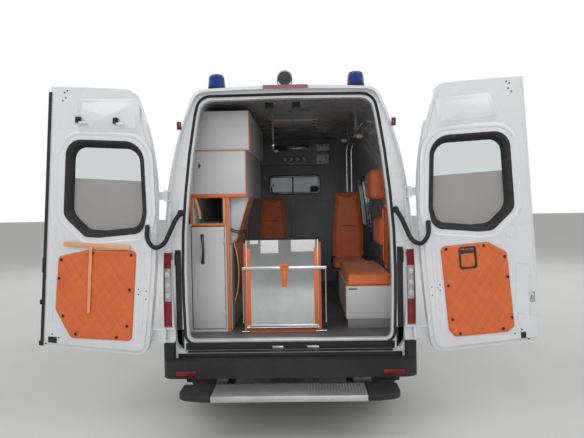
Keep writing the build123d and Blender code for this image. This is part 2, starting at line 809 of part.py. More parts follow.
with BuildPart() as cab_door_right:
    add(skin)
    add(side_prism(cab_door_outline, cab_door_radii, 0, (500, 1100)), mode=Mode.INTERSECT)
    add(sheet_back, mode=Mode.SUBTRACT)
    add(cab_inner_half.part)
    add(cab_window_hole, mode=Mode.SUBTRACT)
    add(sunk(cab_window_lip), mode=Mode.SUBTRACT)
    # mirror on its arm, ahead of the window
    with BuildSketch(level(mirror_z[0])):
        with BuildLine():
            FilletPolyline((1020, 1785), (1215, 1770), (1205, 1860), (1040, 1875), radius=25, close=True)
        make_face()
    extrude(amount=mirror_z[1] - mirror_z[0])
    add(rod((915, 1842, 1400), (1100, 1830, 1430), 18))
    add(lining, mode=Mode.SUBTRACT)
    for z in cab_hinge_heights:
        with BuildSketch(cab_plane(z)):
            Circle(cab_eye_r)
            with Locations((-45, -cab_eye_r + 4)):
                Rectangle(90, 12)
            with Locations((-75, -25)):
                Rectangle(30, 40)
            Circle(cab_pin_r + running_fit, mode=Mode.SUBTRACT)
        extrude(amount=cab_eye_long)
save(cab_door_right, "cab_door_right")

with BuildPart() as cab_door_left:
    mirror(cab_door_right.part, about=Plane.YZ)
save(cab_door_left, "cab_door_left")

with BuildPart() as cab_glass_right:
    add(pane(side_prism(cab_window_outline, cab_window_radii, glass_lip - seam, (500, 1100))))
save(cab_glass_right, "cab_glass_right")

with BuildPart() as cab_glass_left:
    mirror(cab_glass_right.part, about=Plane.YZ)
save(cab_glass_left, "cab_glass_left")

# Inside the load space

with BuildPart() as bulkhead:
    add(fitted)
    add(region((-1000, 1000), (y_bulkhead, y_bulkhead + bulkhead_thick), (z_floor, 2600)),
        mode=Mode.INTERSECT)
    with BuildSketch(cross(y_bulkhead + 100)):
        with Locations((0, cab_screen[2])):
            RectangleRounded(cab_screen[0], cab_screen[1], 30)
    extrude(amount=200, mode=Mode.SUBTRACT)
    # control console above the window
    block((-430, 430), (y_bulkhead - 170, y_bulkhead), (2200, 2460))
save(bulkhead, "bulkhead")

cabinet_rear = -2325
cabinet_side = -510
with BuildPart() as tall_cabinet:
    add(fitted)
    with BuildSketch(cross(-700)):
        with BuildLine():
            Polyline((-1000, 1800), (-345, 1800), (-345, 2155), (-312, 2155), (-312, 2470), (-1000, 2470),
                     close=True)
        make_face()
    extrude(amount=-700 - cabinet_rear, mode=Mode.INTERSECT)

locker_top, board = 1557, 18
locker_door_x = (-800, cabinet_side - board - 5)
locker_door_z = (z_floor + board + door_gap, locker_top - board - door_gap)
locker_axis = (-522, cabinet_rear - 10)
locker_pin_r, locker_eye_r, locker_eye_long, locker_lug = 4, 8, 40, 9
locker_hinges = (800, 1400)
with BuildPart() as locker:
    add(fitted)
    add(region((-1000, cabinet_side), (cabinet_rear, -700), (z_floor, locker_top)), mode=Mode.INTERSECT)
    add(region((-1000, cabinet_side - board), (cabinet_rear + board, -700 - board),
               (z_floor + board, locker_top - board)),
        mode=Mode.SUBTRACT)
    block((locker_door_x[0] - door_gap, cabinet_side - board), (cabinet_rear - 1, cabinet_rear + board),
          (z_floor + board, locker_top - board), mode=Mode.SUBTRACT)
    block((-1000, -wheelbox_inner + 12), (rear_axle_y - wheelbox_half - 8, rear_axle_y + wheelbox_half + 8),
          (0, wheelbox_top + 8), mode=Mode.SUBTRACT)
    for z in locker_hinges:
        for low in (z - locker_lug - 1, z + locker_eye_long + 1):
            with BuildSketch(level(low)):
                with Locations(locker_axis):
                    Circle(locker_eye_r)
                with Locations((locker_axis[0] + 2, cabinet_rear - 5)):
                    Rectangle(12, 10)
            extrude(amount=locker_lug)
        with BuildSketch(level(z - locker_lug - 1)):
            with Locations(locker_axis):
                Circle(locker_pin_r)
        extrude(amount=locker_eye_long + 2 * locker_lug + 2)

with BuildPart() as cabinets:
    add(tall_cabinet.part)
    add(locker.part)
save(cabinets, "cabinets")

with BuildPart() as locker_door:
    block(locker_door_x, (cabinet_rear, cabinet_rear + board), locker_door_z)
    # handle
    block((-770, -750), (cabinet_rear - 34, cabinet_rear - 22), (1100, 1280))
    for z in (1110, 1270):
        block((-770, -750), (cabinet_rear - 24, cabinet_rear), (z - 9, z + 9))
    for z in locker_hinges:
        with BuildSketch(level(z)):
            with Locations(locker_axis):
                Circle(locker_eye_r)
            with BuildLine():
                Polyline((-572, cabinet_rear), (locker_door_x[1] - 1, cabinet_rear), (-527, cabinet_rear - 5),
                         (-527, cabinet_rear - 14), (-540, cabinet_rear - 6), (-572, cabinet_rear - 6),
                         close=True)
            make_face()
            with Locations(locker_axis):
                Circle(locker_pin_r + running_fit, mode=Mode.SUBTRACT)
        extrude(amount=locker_eye_long)
save(locker_door, "locker_door")

with BuildPart() as shelf:
    add(fitted)
    with BuildSketch(cross(-700)):
        # orange shelf, its upright and the edge down to the floor
        with Locations((-680, 1785)):
            Rectangle(670, 30)
        with Locations((-500, 1225)):
            Rectangle(19, 1110)
        with Locations((-795, 1665)):
            Rectangle(24, 215)
    extrude(amount=-700 - cabinet_rear, mode=Mode.INTERSECT)
save(shelf, "shelf")

bench_x, bench_rear, bench_front = 460, -2269, -1180
bench_low, bench_top = 750, 1025
kick_set = 30                       # plinth behind the bench's face
with BuildPart() as bench:
    add(fitted)
    add(region((bench_x, 1000), (bench_rear, bench_front), (bench_low, bench_top)), mode=Mode.INTERSECT)
    add(region((bench_x + board, 1000), (bench_rear + board, bench_front - board),
               (bench_low - 1, bench_top - board)), mode=Mode.SUBTRACT)
    block((wheelbox_inner - 12, 1000), (rear_axle_y - wheelbox_half - 8, rear_axle_y + wheelbox_half + 8),
          (0, wheelbox_top + 8), mode=Mode.SUBTRACT)
    block((bench_x + kick_set, bench_x + kick_set + 20), (bench_rear + 10, bench_front - 10),
          (z_floor, bench_low + 5))
    block((bench_x + kick_set, wheelbox_inner - 25), (bench_rear + 10, bench_rear + 28),
          (z_floor, bench_low + 5))
save(bench, "bench")

cushion_wall_x, cushion_thick, cushion_inset = 850, 100, 5
with BuildPart() as bench_cushion:
    with BuildSketch(level(bench_top + 0.3)):
        with Locations(((bench_x + cushion_wall_x) / 2, (bench_rear + bench_front) / 2)):
            RectangleRounded(cushion_wall_x - bench_x - 2 * cushion_inset,
                             bench_front - bench_rear - 2 * cushion_inset, 30)
    extrude(amount=cushion_thick)
    fillet(bench_cushion.faces().sort_by(Axis.Z)[-1].edges(), cushion_thick / 4)

pad_y = (-1750, -1300)
wall_box_x, wall_box_z = 730, (1740, 2010)
wall_pad_x, wall_pad_z = 800, (1310, 1560)
with BuildPart() as wall_pads:
    # box and pad on the right wall
    add(fitted)
    with BuildSketch(cross(pad_y[1])):
        for inner, (low, high) in ((wall_box_x, wall_box_z), (wall_pad_x, wall_pad_z)):
            with Locations(((inner + 1000) / 2, (low + high) / 2)):
                Rectangle(1000 - inner, high - low)
    extrude(amount=pad_y[1] - pad_y[0], mode=Mode.INTERSECT)

with BuildPart() as cushions:
    add(bench_cushion.part)
    add(wall_pads.part)
save(cushions, "cushions")

# Seats behind the bulkhead: x, front edge y, width, cushion underside, back from and to, top width
seat_plans = [(595, -1070, 360, 1030, 1050, 1830, 270), (-290, 190, 380, 1060, 1080, 1790, 300)]
seat_deep, seat_thick = 400, 90
back_thick, back_shoulder = 95, 320
stand_half = 130
with BuildPart() as attendant_seats:
    for x, y, width, seat_z, back_low, back_high, top_width in seat_plans:
        block((x - width / 2, x + width / 2), (y, y + seat_deep), (seat_z, seat_z + seat_thick))
        with BuildSketch(cross(y + seat_deep + 80)):
            with BuildLine():
                FilletPolyline((x - width / 2, back_low), (x - width / 2, back_low + back_shoulder),
                               (x - top_width / 2, back_high), (x + top_width / 2, back_high),
                               (x + width / 2, back_low + back_shoulder), (x + width / 2, back_low),
                               radius=40, close=True)
            make_face()
        extrude(amount=back_thick)
        block((x - stand_half, x + stand_half), (y + 60, y + seat_deep + 20), (z_floor, seat_z))

# Loading ramp, folded upright between two posts

ramp_x = (-372, 252)
ramp_hinge_y, ramp_hinge_z = -2390, 712
ramp_post = 34
ramp_post_y = (-2372, -2338)
ramp_runner, ramp_runner_end = 24, -300
ramp_top = 1430
ramp_pin_r, ramp_eye_r = 7, 13
with BuildPart() as ramp_frame:
    for x in (ramp_x[0] + ramp_post / 2, ramp_x[1] - ramp_post / 2):
        block((x - ramp_post / 2, x + ramp_post / 2), ramp_post_y, (z_floor, ramp_top))
        block((x - ramp_post / 2 + 4, x + ramp_post / 2 - 4), (ramp_post_y[1], ramp_runner_end),
              (z_floor, z_floor + ramp_runner))
    block(ramp_x, ramp_post_y, (z_floor, z_floor + ramp_runner))
    block(ramp_x, ramp_post_y, (ramp_top - 30, ramp_top))
    for x in (ramp_x[0] + 4, ramp_x[1] - 16):
        block((x, x + 12), (ramp_hinge_y - 12, ramp_post_y[0]), (ramp_hinge_z - 12, ramp_hinge_z + 12))
    add(rod((ramp_x[0] + 4, ramp_hinge_y, ramp_hinge_z), (ramp_x[1] - 4, ramp_hinge_y, ramp_hinge_z),
            ramp_pin_r))
save(ramp_frame, "ramp_frame")

with BuildPart() as ramp:
    block((ramp_x[0] + 22, ramp_x[1] - 22), (ramp_hinge_y - 9, ramp_hinge_y + 9), (ramp_hinge_z, ramp_top - 8))
    with BuildSketch(side(ramp_x[0] + 22)):
        with Locations((ramp_hinge_y, ramp_hinge_z)):
            Circle(ramp_eye_r)
    extrude(amount=ramp_x[1] - ramp_x[0] - 44)
    with BuildSketch(side(ramp_x[0])):
        with Locations((ramp_hinge_y, ramp_hinge_z)):
            Circle(ramp_pin_r + running_fit)
    extrude(amount=ramp_x[1] - ramp_x[0], mode=Mode.SUBTRACT)
save(ramp, "ramp")

# Ceiling: lamp and hatch frame, drip hanger, rails

hatch_x, hatch_y, hatch_low = (-200, 280), (-1500, -950), 2508
hook_x, hook_y = -150, -1700
handrail_x, handrail_y, handrail_z = 600, (-1800, -800), 2360
with BuildPart() as ceiling_frame:
    add(fitted)
    add(region(hatch_x, hatch_y, (hatch_low, 2600)), mode=Mode.INTERSECT)
with BuildPart() as ceiling_fittings:
    add(ceiling_frame.part)
    add(tube([(hook_x, hook_y, 2548), (hook_x, hook_y, 2300), (hook_x, hook_y + 100, 2290),
              (hook_x, hook_y + 100, 2250)], 9, 8))
    add(tube([(handrail_x, handrail_y[0], 2560), (handrail_x, handrail_y[0], handrail_z),
              (handrail_x, handrail_y[1], handrail_z), (handrail_x, handrail_y[1], 2560)], 14, 50))
    add(roof.part, mode=Mode.SUBTRACT)
save(ceiling_fittings, "ceiling_fittings")

# Running gear

rail_x, rail_z = (420, 480), (500, z_floor - floor_thick)
arm_low, arm_high = (262, 286), (432, 452)
with BuildPart() as chassis:
    for hand in (-1, 1):
        block((hand * rail_x[0], hand * rail_x[1]), (y_frame + 15, 2560), rail_z)
        block((hand * rail_x[0], hand * rail_x[1]), (front_axle_y - 60, front_axle_y + 60), (300, rail_z[0]))
        for low, high, half in ((arm_low[0], arm_low[1], 110), (arm_high[0], arm_high[1], 70)):
            with BuildSketch(level(low)):
                with BuildLine():
                    Polyline((hand * rail_x[0], front_axle_y - half),
                             (hand * (kingpin_x + 25), front_axle_y - 28),
                             (hand * (kingpin_x + 25), front_axle_y + 28),
                             (hand * rail_x[0], front_axle_y + half), close=True)
                make_face()
            extrude(amount=high - low)
        with BuildSketch(level(arm_low[0])):
            with Locations((hand * kingpin_x, front_axle_y)):
                Circle(kingpin_r)
        extrude(amount=arm_high[1] - arm_low[0])
    for y in (-2450, -1000, 150, 1250):
        block((-rail_x[0], rail_x[0]), (y - 30, y + 30), (520, 600))
    block((-rail_x[0], rail_x[0]), (front_axle_y - 110, front_axle_y + 110), (arm_low[0], 380))
    for hand in (-1, 1):
        block((hand * rail_x[0], hand * 460), (2480, 2560), (rail_z[0], 640))
save(chassis, "chassis")

knuckle_r = 32
knuckle_z = (arm_low[1] + 5, arm_high[0] - 5)
with BuildPart() as knuckle_right:
    with BuildSketch(level(knuckle_z[0])):
        with Locations((kingpin_x, front_axle_y)):
            Circle(knuckle_r)
    extrude(amount=knuckle_z[1] - knuckle_z[0])
    add(rod((kingpin_x, front_axle_y, tyre_r), (track_half + 47, front_axle_y, tyre_r), stub_r))
    add(rod((kingpin_x + 40, front_axle_y, tyre_r), (kingpin_x + 56, front_axle_y, tyre_r), 68))
    with BuildSketch(level(0)):
        with Locations((kingpin_x, front_axle_y)):
            Circle(kingpin_r + running_fit)
    extrude(amount=600, mode=Mode.SUBTRACT)
save(knuckle_right, "knuckle_right")

with BuildPart() as knuckle_left:
    mirror(knuckle_right.part, about=Plane.YZ)
save(knuckle_left, "knuckle_left")

spring_x = (435, 485)
axle_tube_r = 45
with BuildPart() as rear_axle:
    add(rod((-700, rear_axle_y, tyre_r), (700, rear_axle_y, tyre_r), axle_tube_r))
    add(rod((-track_half - 47, rear_axle_y, tyre_r), (track_half + 47, rear_axle_y, tyre_r), stub_r))
    for hand in (-1, 1):
        add(rod((hand * 700, rear_axle_y, tyre_r), (hand * 800, rear_axle_y, tyre_r), 125))
        with BuildSketch(side(min(hand * spring_x[0], hand * spring_x[1]))):
            with BuildLine():
                ThreePointArc((rear_axle_y - 650, 455), (rear_axle_y, 390), (rear_axle_y + 650, 455))
                Line((rear_axle_y + 650, 455), (rear_axle_y + 650, 490))
                ThreePointArc((rear_axle_y + 650, 490), (rear_axle_y, 432), (rear_axle_y - 650, 490))
                Line((rear_axle_y - 650, 490), (rear_axle_y - 650, 455))
            make_face()
        extrude(amount=spring_x[1] - spring_x[0])
        for y in (rear_axle_y - 650, rear_axle_y + 600):
            block((hand * spring_x[0], hand * 480), (y, y + 50), (458, rail_z[0]))
    with Locations((0, rear_axle_y, tyre_r)):
        Sphere(145)
    add(rod((0, rear_axle_y, tyre_r), (0, rear_axle_y + 250, 362), 55))
    add(rod((0, rear_axle_y + 200, 360), (0, 1498, 480), 38))
save(rear_axle, "rear_axle")

wheel_profile = [(tyre_r - 1, 0), (tyre_r, 40), (tyre_r - 6, 84), (tyre_r - 30, 103), (275, tyre_w / 2),
                 (rim_r + 19, 104), (rim_r + 2, 98)]
hole_ring_r, hand_hole_r = 132, 24
hub_face = 55                       # hub cap, outside the middle of the wheel


def wheel_form(hub_bore):
    # about the X axis at the origin, outer face towards +X
    with BuildPart() as made:
        with BuildSketch(Plane(origin=(0, 0, 0), x_dir=(1, 0, 0), z_dir=(0, -1, 0))):
            with BuildLine():
                Polyline(*[(w, r) for r, w in wheel_profile], (96, rim_inner_r), (30, rim_inner_r - 6),
                         (30, 90), (hub_face - 5, 75), (hub_face, 60), (hub_face, 0), (-20, 0), (-20, 75),
                         (12, 90), (12, rim_inner_r - 12), (-96, rim_inner_r),
                         *[(-w, r) for r, w in reversed(wheel_profile)][:-1], close=True)
            make_face()
        revolve(axis=Axis.X)
        with BuildSketch(Plane.YZ.offset(-30)):
            with PolarLocations(hole_ring_r, 8):
                Circle(hand_hole_r)
        extrude(amount=100, mode=Mode.SUBTRACT)
        if hub_bore:
            with BuildSketch(Plane.YZ.offset(-30)):
                Circle(hub_bore)
            extrude(amount=80, mode=Mode.SUBTRACT)
    return made.part


right_wheel = wheel_form(stub_r + running_fit)
with BuildPart() as wheel_left_form:
    mirror(right_wheel, about=Plane.YZ)
wheel_table = [("wheel_front_right", 1, front_axle_y), ("wheel_front_left", -1, front_axle_y),
               ("wheel_rear_right", 1, rear_axle_y), ("wheel_rear_left", -1, rear_axle_y)]
for label, hand, y in wheel_table:
    with BuildPart() as wheel:
        with Locations((hand * track_half, y, tyre_r)):
            add(right_wheel if hand > 0 else wheel_left_form.part)
    save(wheel, label)

spare_y, spare_z = -2170, 365
carrier_z = (482, 494)
with BuildPart() as spare_wheel:
    with Locations(Location((0, spare_y, spare_z), (0, 90, 0))):
        add(wheel_form(0))
    block((-25, 25), (-2480, -1900), carrier_z)
    block((-25, 25), (-2480, -2420), (carrier_z[0], 520))
    add(rod((0, spare_y, spare_z + 5), (0, spare_y, carrier_z[0] + 6), 30))
save(spare_wheel, "spare_wheel")

tank_x, tank_y, tank_z = (-850, -480), (-700, 350), (330, 600)
with BuildPart() as fuel_tank:
    block(tank_x, tank_y, tank_z)
    fillet(fuel_tank.edges().filter_by(Axis.Y), 30)
save(fuel_tank, "fuel_tank")

pipe_r, silencer_r = 27, 85
pipe_x, pipe_z = 600, 430
silencer_y = (-80, 520)
with BuildPart() as exhaust:
    add(tube([(109, 1750, 440), (300, 1750, 436), (pipe_x, 1450, pipe_z), (pipe_x, 500, pipe_z)], pipe_r,
             120))
    add(rod((pipe_x, silencer_y[1], pipe_z), (pipe_x, silencer_y[0], pipe_z), silencer_r))
    add(tube([(pipe_x, silencer_y[0] + 10, pipe_z), (pipe_x, -900, 462), (pipe_x, -2200, 462),
              (680, -2480, 400)], pipe_r, 200))
    for y, low in (((200, 240), 500), ((-2140, -2100), 480)):
        block((pipe_x - 10, pipe_x + 10), y, (low, z_floor - floor_thick))
save(exhaust, "exhaust")

engine_x, engine_y, engine_z = 280, (2150, 2850), (380.2, 1000)
shaft_z, gearbox_r = 480, 95
with BuildPart() as engine:
    block((-engine_x, engine_x), engine_y, engine_z)
    add(rod((0, 2200, shaft_z), (0, 1500, shaft_z), gearbox_r))
save(engine, "engine")

# Cab inside

column_tilt = 40                    # steering column above the level
wheel_centre = (-430, 1500, 1330)
column_dir = (0, cos(radians(column_tilt)), -sin(radians(column_tilt)))
column_r = 18
steer_r, steer_tube = 190, 14


def along_column(d):
    return tuple(c + d * v for c, v in zip(wheel_centre, column_dir))


with BuildPart() as dashboard:
    with BuildSketch(side(-850)):
        with BuildLine():
            Polyline((2130, 1340), (2020.8, 1150), (1850, 1060), (1720, 1100), (1700, 1250), (1780, 1340),
                     (1960, 1372), (2120, 1372), close=True)
        make_face()
    extrude(amount=1700)
    add(rod(along_column(60), along_column(500), 34))
    add(rod(along_column(2), along_column(80), column_r))
    add(fitted, mode=Mode.INTERSECT)
    block((-1000, 1000), (1500, 2131), (1400, 2000), mode=Mode.SUBTRACT)
save(dashboard, "dashboard")

with BuildPart() as steering_wheel:
    hub = Plane(origin=along_column(-14), z_dir=column_dir)
    with BuildSketch(hub):
        Circle(52)
    extrude(amount=60)
    with BuildSketch(hub.offset(14)):
        for turn in (0, 120, 240):
            with Locations(Location((0, 0, 0), turn)):
                with Locations((0, steer_r / 2)):
                    Rectangle(26, steer_r)
    extrude(amount=12)
    with Locations(hub.offset(14).location):
        Torus(steer_r, steer_tube)
    with BuildSketch(hub.offset(14)):
        Circle(column_r + running_fit)
    extrude(amount=100, mode=Mode.SUBTRACT)
save(steering_wheel, "steering_wheel")

cab_seat_x, cab_seat_w, cab_seat_z = (-430, 330), 470, (1000, 1110)
cab_back = [(880, 1050), (790, 1720), (790, 1950), (880, 1950), (895, 1720), (1010, 1080)]
with BuildPart() as seats:
    add(attendant_seats.part)
    for x in cab_seat_x:
        block((x - cab_seat_w / 2, x + cab_seat_w / 2), (850, 1360), cab_seat_z)
        with BuildSketch(side(x - cab_seat_w / 2 + 10)):
            with BuildLine():
                FilletPolyline(*cab_back, radius=30, close=True)
            make_face()
        extrude(amount=cab_seat_w - 20)
        block((x - 200, x + 200), (880, 1300), (z_floor, cab_seat_z[0]))
save(seats, "seats")

# Roof lamps, side cladding

beacon_x, beacon_y, beacon_r, beacon_high = 542, -2500, 64, 145
lamp_foot_z, beacon_seat_z = 2560, 2583
work_lamp_x, work_lamp_z, work_lamp_r = -22, 2775, 62
with BuildPart() as roof_lamps:
    for hand in (-1, 1):
        with BuildSketch(level(lamp_foot_z)):
            with Locations((hand * beacon_x, beacon_y)):
                Circle(beacon_r)
        extrude(amount=beacon_seat_z + beacon_high - lamp_foot_z)
    add(rod((work_lamp_x, -2075, work_lamp_z), (work_lamp_x, -2135, work_lamp_z), work_lamp_r))
    block((work_lamp_x - 12, work_lamp_x + 12), (-2112, -2098), (lamp_foot_z, work_lamp_z - 45))
    block((work_lamp_x - 60, work_lamp_x + 60), (-2130, -2080), (lamp_foot_z, 2612))
    add(skin, mode=Mode.SUBTRACT)
save(roof_lamps, "roof_lamps")

lip = 40
strip_z = (600, 690)
with BuildPart() as side_cladding:
    add(cladding_face)
    with BuildSketch(side(-1100)):
        with Locations((rear_axle_y, arch_z)):
            Circle(rear_arch_r + lip)
        with Locations(((rear_axle_y + y_pillar) / 2 + 140, sum(strip_z) / 2)):
            Rectangle(y_pillar - rear_axle_y - 280, strip_z[1] - strip_z[0])
        with Locations((front_axle_y, arch_z)):
            Circle(front_arch_r + lip)
        with Locations((rear_axle_y, arch_z), (front_axle_y, arch_z)):
            Circle(rear_arch_r, mode=Mode.SUBTRACT)
        with Locations((front_axle_y, arch_z)):
            Circle(front_arch_r, mode=Mode.SUBTRACT)
        with Locations((0, z_sill - 500)):
            Rectangle(8000, 1000, mode=Mode.SUBTRACT)
    extrude(amount=2200, mode=Mode.INTERSECT)
    add(skin, mode=Mode.SUBTRACT)
    block((-800, 800), (-3000, 3300), (0, 2700), mode=Mode.SUBTRACT)
save(side_cladding, "side_cladding")

# Wiring hoses from the frame to the rear doors

hose_r = 18
hose_points = [(818, y_rebate - 0.1, 1652), (838, -2735, 1610), (900, -2850, 1430), (962, -2900, 1398),
               (1012, -2918, 1470), (1022, -2850, 1565)]
with BuildPart() as right_hose:
    with BuildLine() as hose_path:
        Spline(*hose_points, tangents=((0.1, -1, -0.1), (0.05, 1, 0.1)))
    with BuildSketch(Plane(origin=hose_path.line @ 0, z_dir=hose_path.line % 0)):
        Circle(hose_r)
    sweep()
    add(rear_door_right.part, mode=Mode.SUBTRACT)
    add(rear_frame.part, mode=Mode.SUBTRACT)

with BuildPart() as door_hoses:
    add(right_hose.part)
    mirror(right_hose.part, about=Plane.YZ)
save(door_hoses, "door_hoses")
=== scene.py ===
import bpy
import bmesh
import math
from mathutils import Matrix, Vector


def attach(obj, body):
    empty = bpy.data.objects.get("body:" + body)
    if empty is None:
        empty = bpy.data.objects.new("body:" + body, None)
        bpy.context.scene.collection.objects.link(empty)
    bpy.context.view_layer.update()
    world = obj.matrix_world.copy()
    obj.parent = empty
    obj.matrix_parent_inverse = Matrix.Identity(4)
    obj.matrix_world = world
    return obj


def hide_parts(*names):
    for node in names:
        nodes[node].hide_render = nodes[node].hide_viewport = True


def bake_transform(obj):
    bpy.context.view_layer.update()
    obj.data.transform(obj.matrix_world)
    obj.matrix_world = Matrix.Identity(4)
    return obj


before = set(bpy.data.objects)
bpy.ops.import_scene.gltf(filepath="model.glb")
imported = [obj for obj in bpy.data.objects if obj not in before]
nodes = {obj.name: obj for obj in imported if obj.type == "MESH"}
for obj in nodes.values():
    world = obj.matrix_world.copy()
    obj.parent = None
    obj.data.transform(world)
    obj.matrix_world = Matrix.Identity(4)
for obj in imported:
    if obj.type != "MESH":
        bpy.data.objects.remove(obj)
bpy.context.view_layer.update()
collection = bpy.context.scene.collection
floorTop = 0.671
print("frame loaded:", len(nodes), "nodes")


# Shader helpers and shared groups

def setInput(tree, socket, value):
    # a link from another node's socket, or a plain value
    if isinstance(value, bpy.types.NodeSocket):
        tree.links.new(value, socket)
    else:
        socket.default_value = (*value[:3], 1) if socket.type == "RGBA" else value


def addNode(tree, kind, **inputs):
    node = tree.nodes.new("ShaderNode" + kind)
    for label, value in inputs.items():
        setInput(tree, node.inputs[label.replace("_", " ")], value)
    return node


def newGroup(name, inputs, outputs):
    # group with a vector and the named numbers going in, and the named numbers coming out
    tree = bpy.data.node_groups.new(name, "ShaderNodeTree")
    tree.interface.new_socket("Vector", in_out="INPUT", socket_type="NodeSocketVector")
    for label, value in inputs.items():
        tree.interface.new_socket(label, in_out="INPUT", socket_type="NodeSocketFloat").default_value = value
    for label in outputs:
        tree.interface.new_socket(label, in_out="OUTPUT", socket_type="NodeSocketFloat")
    return tree, tree.nodes.new("NodeGroupInput").outputs, tree.nodes.new("NodeGroupOutput").inputs


def addMath(tree, operation, a, b=None, clamp=False):
    node = tree.nodes.new("ShaderNodeMath")
    node.operation = operation
    node.use_clamp = clamp
    for socket, value in zip(node.inputs, (a, b)):
        if value is not None:
            setInput(tree, socket, value)
    return node.outputs[0]


def buildSpeckle():
    # soft cloudy variation between two limits
    tree, given, result = newGroup("softVariation", {"Scale": 4.0, "Low": 0.0, "High": 1.0}, ["Value"])
    noise = addNode(tree, "TexNoise", Detail=4, Roughness=0.6, Vector=given["Vector"], Scale=given["Scale"])
    limits = addNode(tree, "MapRange", From_Min=0.3, From_Max=0.7, Value=noise.outputs["Fac"],
                     To_Min=given["Low"],
                     To_Max=given["High"])
    tree.links.new(limits.outputs["Result"], result["Value"])
    return tree


def buildGrain():
    # fine moulded or cast grain as a height
    tree, given, result = newGroup("surfaceGrain", {"Scale": 400.0, "Coarseness": 0.5}, ["Height"])
    cells = addNode(tree, "TexVoronoi", Vector=given["Vector"], Scale=given["Scale"])
    fine = addNode(tree, "TexNoise", Detail=3, Vector=given["Vector"], Scale=given["Scale"])
    coarse = addMath(tree, "MULTIPLY", cells.outputs["Distance"], given["Coarseness"])
    tree.links.new(addMath(tree, "ADD", coarse, fine.outputs["Fac"]), result["Height"])
    return tree


def buildRoadDirt():
    # dust that thins out with height above the road
    tree, given, result = newGroup("roadDirt", {"Top": 0.9, "Amount": 0.4}, ["Mask"])
    split = addNode(tree, "SeparateXYZ", Vector=given["Vector"])
    noise = addNode(tree, "TexNoise", Scale=7, Detail=6, Vector=given["Vector"])
    height = addMath(tree, "DIVIDE", split.outputs["Z"], given["Top"])
    low = addMath(tree, "SUBTRACT", 1.0, height, clamp=True)
    cloudy = addMath(tree, "MULTIPLY", low, noise.outputs["Fac"])
    strong = addMath(tree, "MULTIPLY", cloudy, given["Amount"])
    tree.links.new(addMath(tree, "MULTIPLY", strong, 2.0, clamp=True), result["Mask"])
    return tree


def buildBrushed():
    # long fine scratches, stretched along one direction by the mapping in front
    tree, given, result = newGroup("brushedLines", {"Scale": 60.0, "Low": 0.2, "High": 0.4},
                                   ["Roughness", "Height"])
    lines = addNode(tree, "TexNoise", Detail=8, Vector=given["Vector"], Scale=given["Scale"])
    limits = addNode(tree, "MapRange", Value=lines.outputs["Fac"], To_Min=given["Low"], To_Max=given["High"])
    tree.links.new(limits.outputs["Result"], result["Roughness"])
    tree.links.new(lines.outputs["Fac"], result["Height"])
    return tree


groups = {"variation": buildSpeckle(), "grain": buildGrain(), "dirt": buildRoadDirt(),
          "brushed": buildBrushed()}


def placeGroup(tree, key, vector, **values):
    node = tree.nodes.new("ShaderNodeGroup")
    node.node_tree = groups[key]
    for label, value in {"Vector": vector, **values}.items():
        setInput(tree, node.inputs[label], value)
    return node


def mixColors(tree, factor, a, b):
    node = tree.nodes.new("ShaderNodeMix")
    node.data_type = "RGBA"
    for number, value in ((0, factor), (6, a), (7, b)):
        setInput(tree, node.inputs[number], value)
    return node.outputs[2]


def addBump(tree, shader, height, distance):
    bump = addNode(tree, "Bump", Distance=distance, Strength=1.0, Height=height)
    tree.links.new(bump.outputs["Normal"], shader.inputs["Normal"])


def startMaterial(name, **sockets):
    # a material with its shader's plain values, its node tree and the place on the piece
    material = bpy.data.materials.new(name)
    material.use_nodes = True
    tree = material.node_tree
    shader = tree.nodes["Principled BSDF"]
    for label, value in sockets.items():
        shader.inputs[label.replace("_", " ")].default_value = value
    return material, tree, shader, tree.nodes.new("ShaderNodeTexCoord").outputs["Object"]


def cloudMix(tree, place, scale, *shades):
    # each pair of shades mixed by the same cloudy variation
    cloud = placeGroup(tree, "variation", place, Scale=scale).outputs[0]
    return [mixColors(tree, cloud, a, b) for a, b in shades]


dustShade, metalDust = (0.30, 0.27, 0.23), (0.26, 0.24, 0.21)
inwardFrom = {"height": 1.45, "limit": -0.02}  # middle of the body, and how far a face has to look in


def inwardMask(tree, place):
    # 1 where a body panel faces into the vehicle
    normal = tree.nodes.new("ShaderNodeTexCoord").outputs["Normal"]
    spots, facing = addNode(tree, "SeparateXYZ", Vector=place), addNode(tree, "SeparateXYZ", Vector=normal)
    across = addMath(tree, "MULTIPLY", spots.outputs["X"], facing.outputs["X"])
    above = addMath(tree, "SUBTRACT", spots.outputs["Z"], inwardFrom["height"])
    total = addMath(tree, "ADD", across, addMath(tree, "MULTIPLY", above, facing.outputs["Z"]))
    return addMath(tree, "LESS_THAN", total, inwardFrom["limit"])


def addDust(tree, place, color, dirt, shade):
    dust = placeGroup(tree, "dirt", place, Top=dirt[0], Amount=dirt[1])
    return mixColors(tree, dust.outputs[0], color, shade)


def makeFinish(name, shade, worn, rough=(0.3, 0.4), variation=3.0, grain=None, dirt=None, inner=None,
               **sockets):
    # the common finish: two shades, uneven gloss, grain, dust, and a second shade on inward faces
    material, tree, shader, place = startMaterial(name, **sockets)
    color = cloudMix(tree, place, variation, (shade, worn))[0]
    if inner:
        color = mixColors(tree, inwardMask(tree, place), color, inner)
    if dirt:
        color = addDust(tree, place, color, dirt, dustShade)
    tree.links.new(color, shader.inputs["Base Color"])
    gloss = placeGroup(tree, "variation", place, Scale=variation * 2.7, Low=rough[0], High=rough[1])
    tree.links.new(gloss.outputs[0], shader.inputs["Roughness"])
    if grain:
        height = placeGroup(tree, "grain", place, Scale=grain[0], Coarseness=grain[2] if len(grain) > 2
                            else 0.5)
        addBump(tree, shader, height.outputs[0], grain[1])
    return material


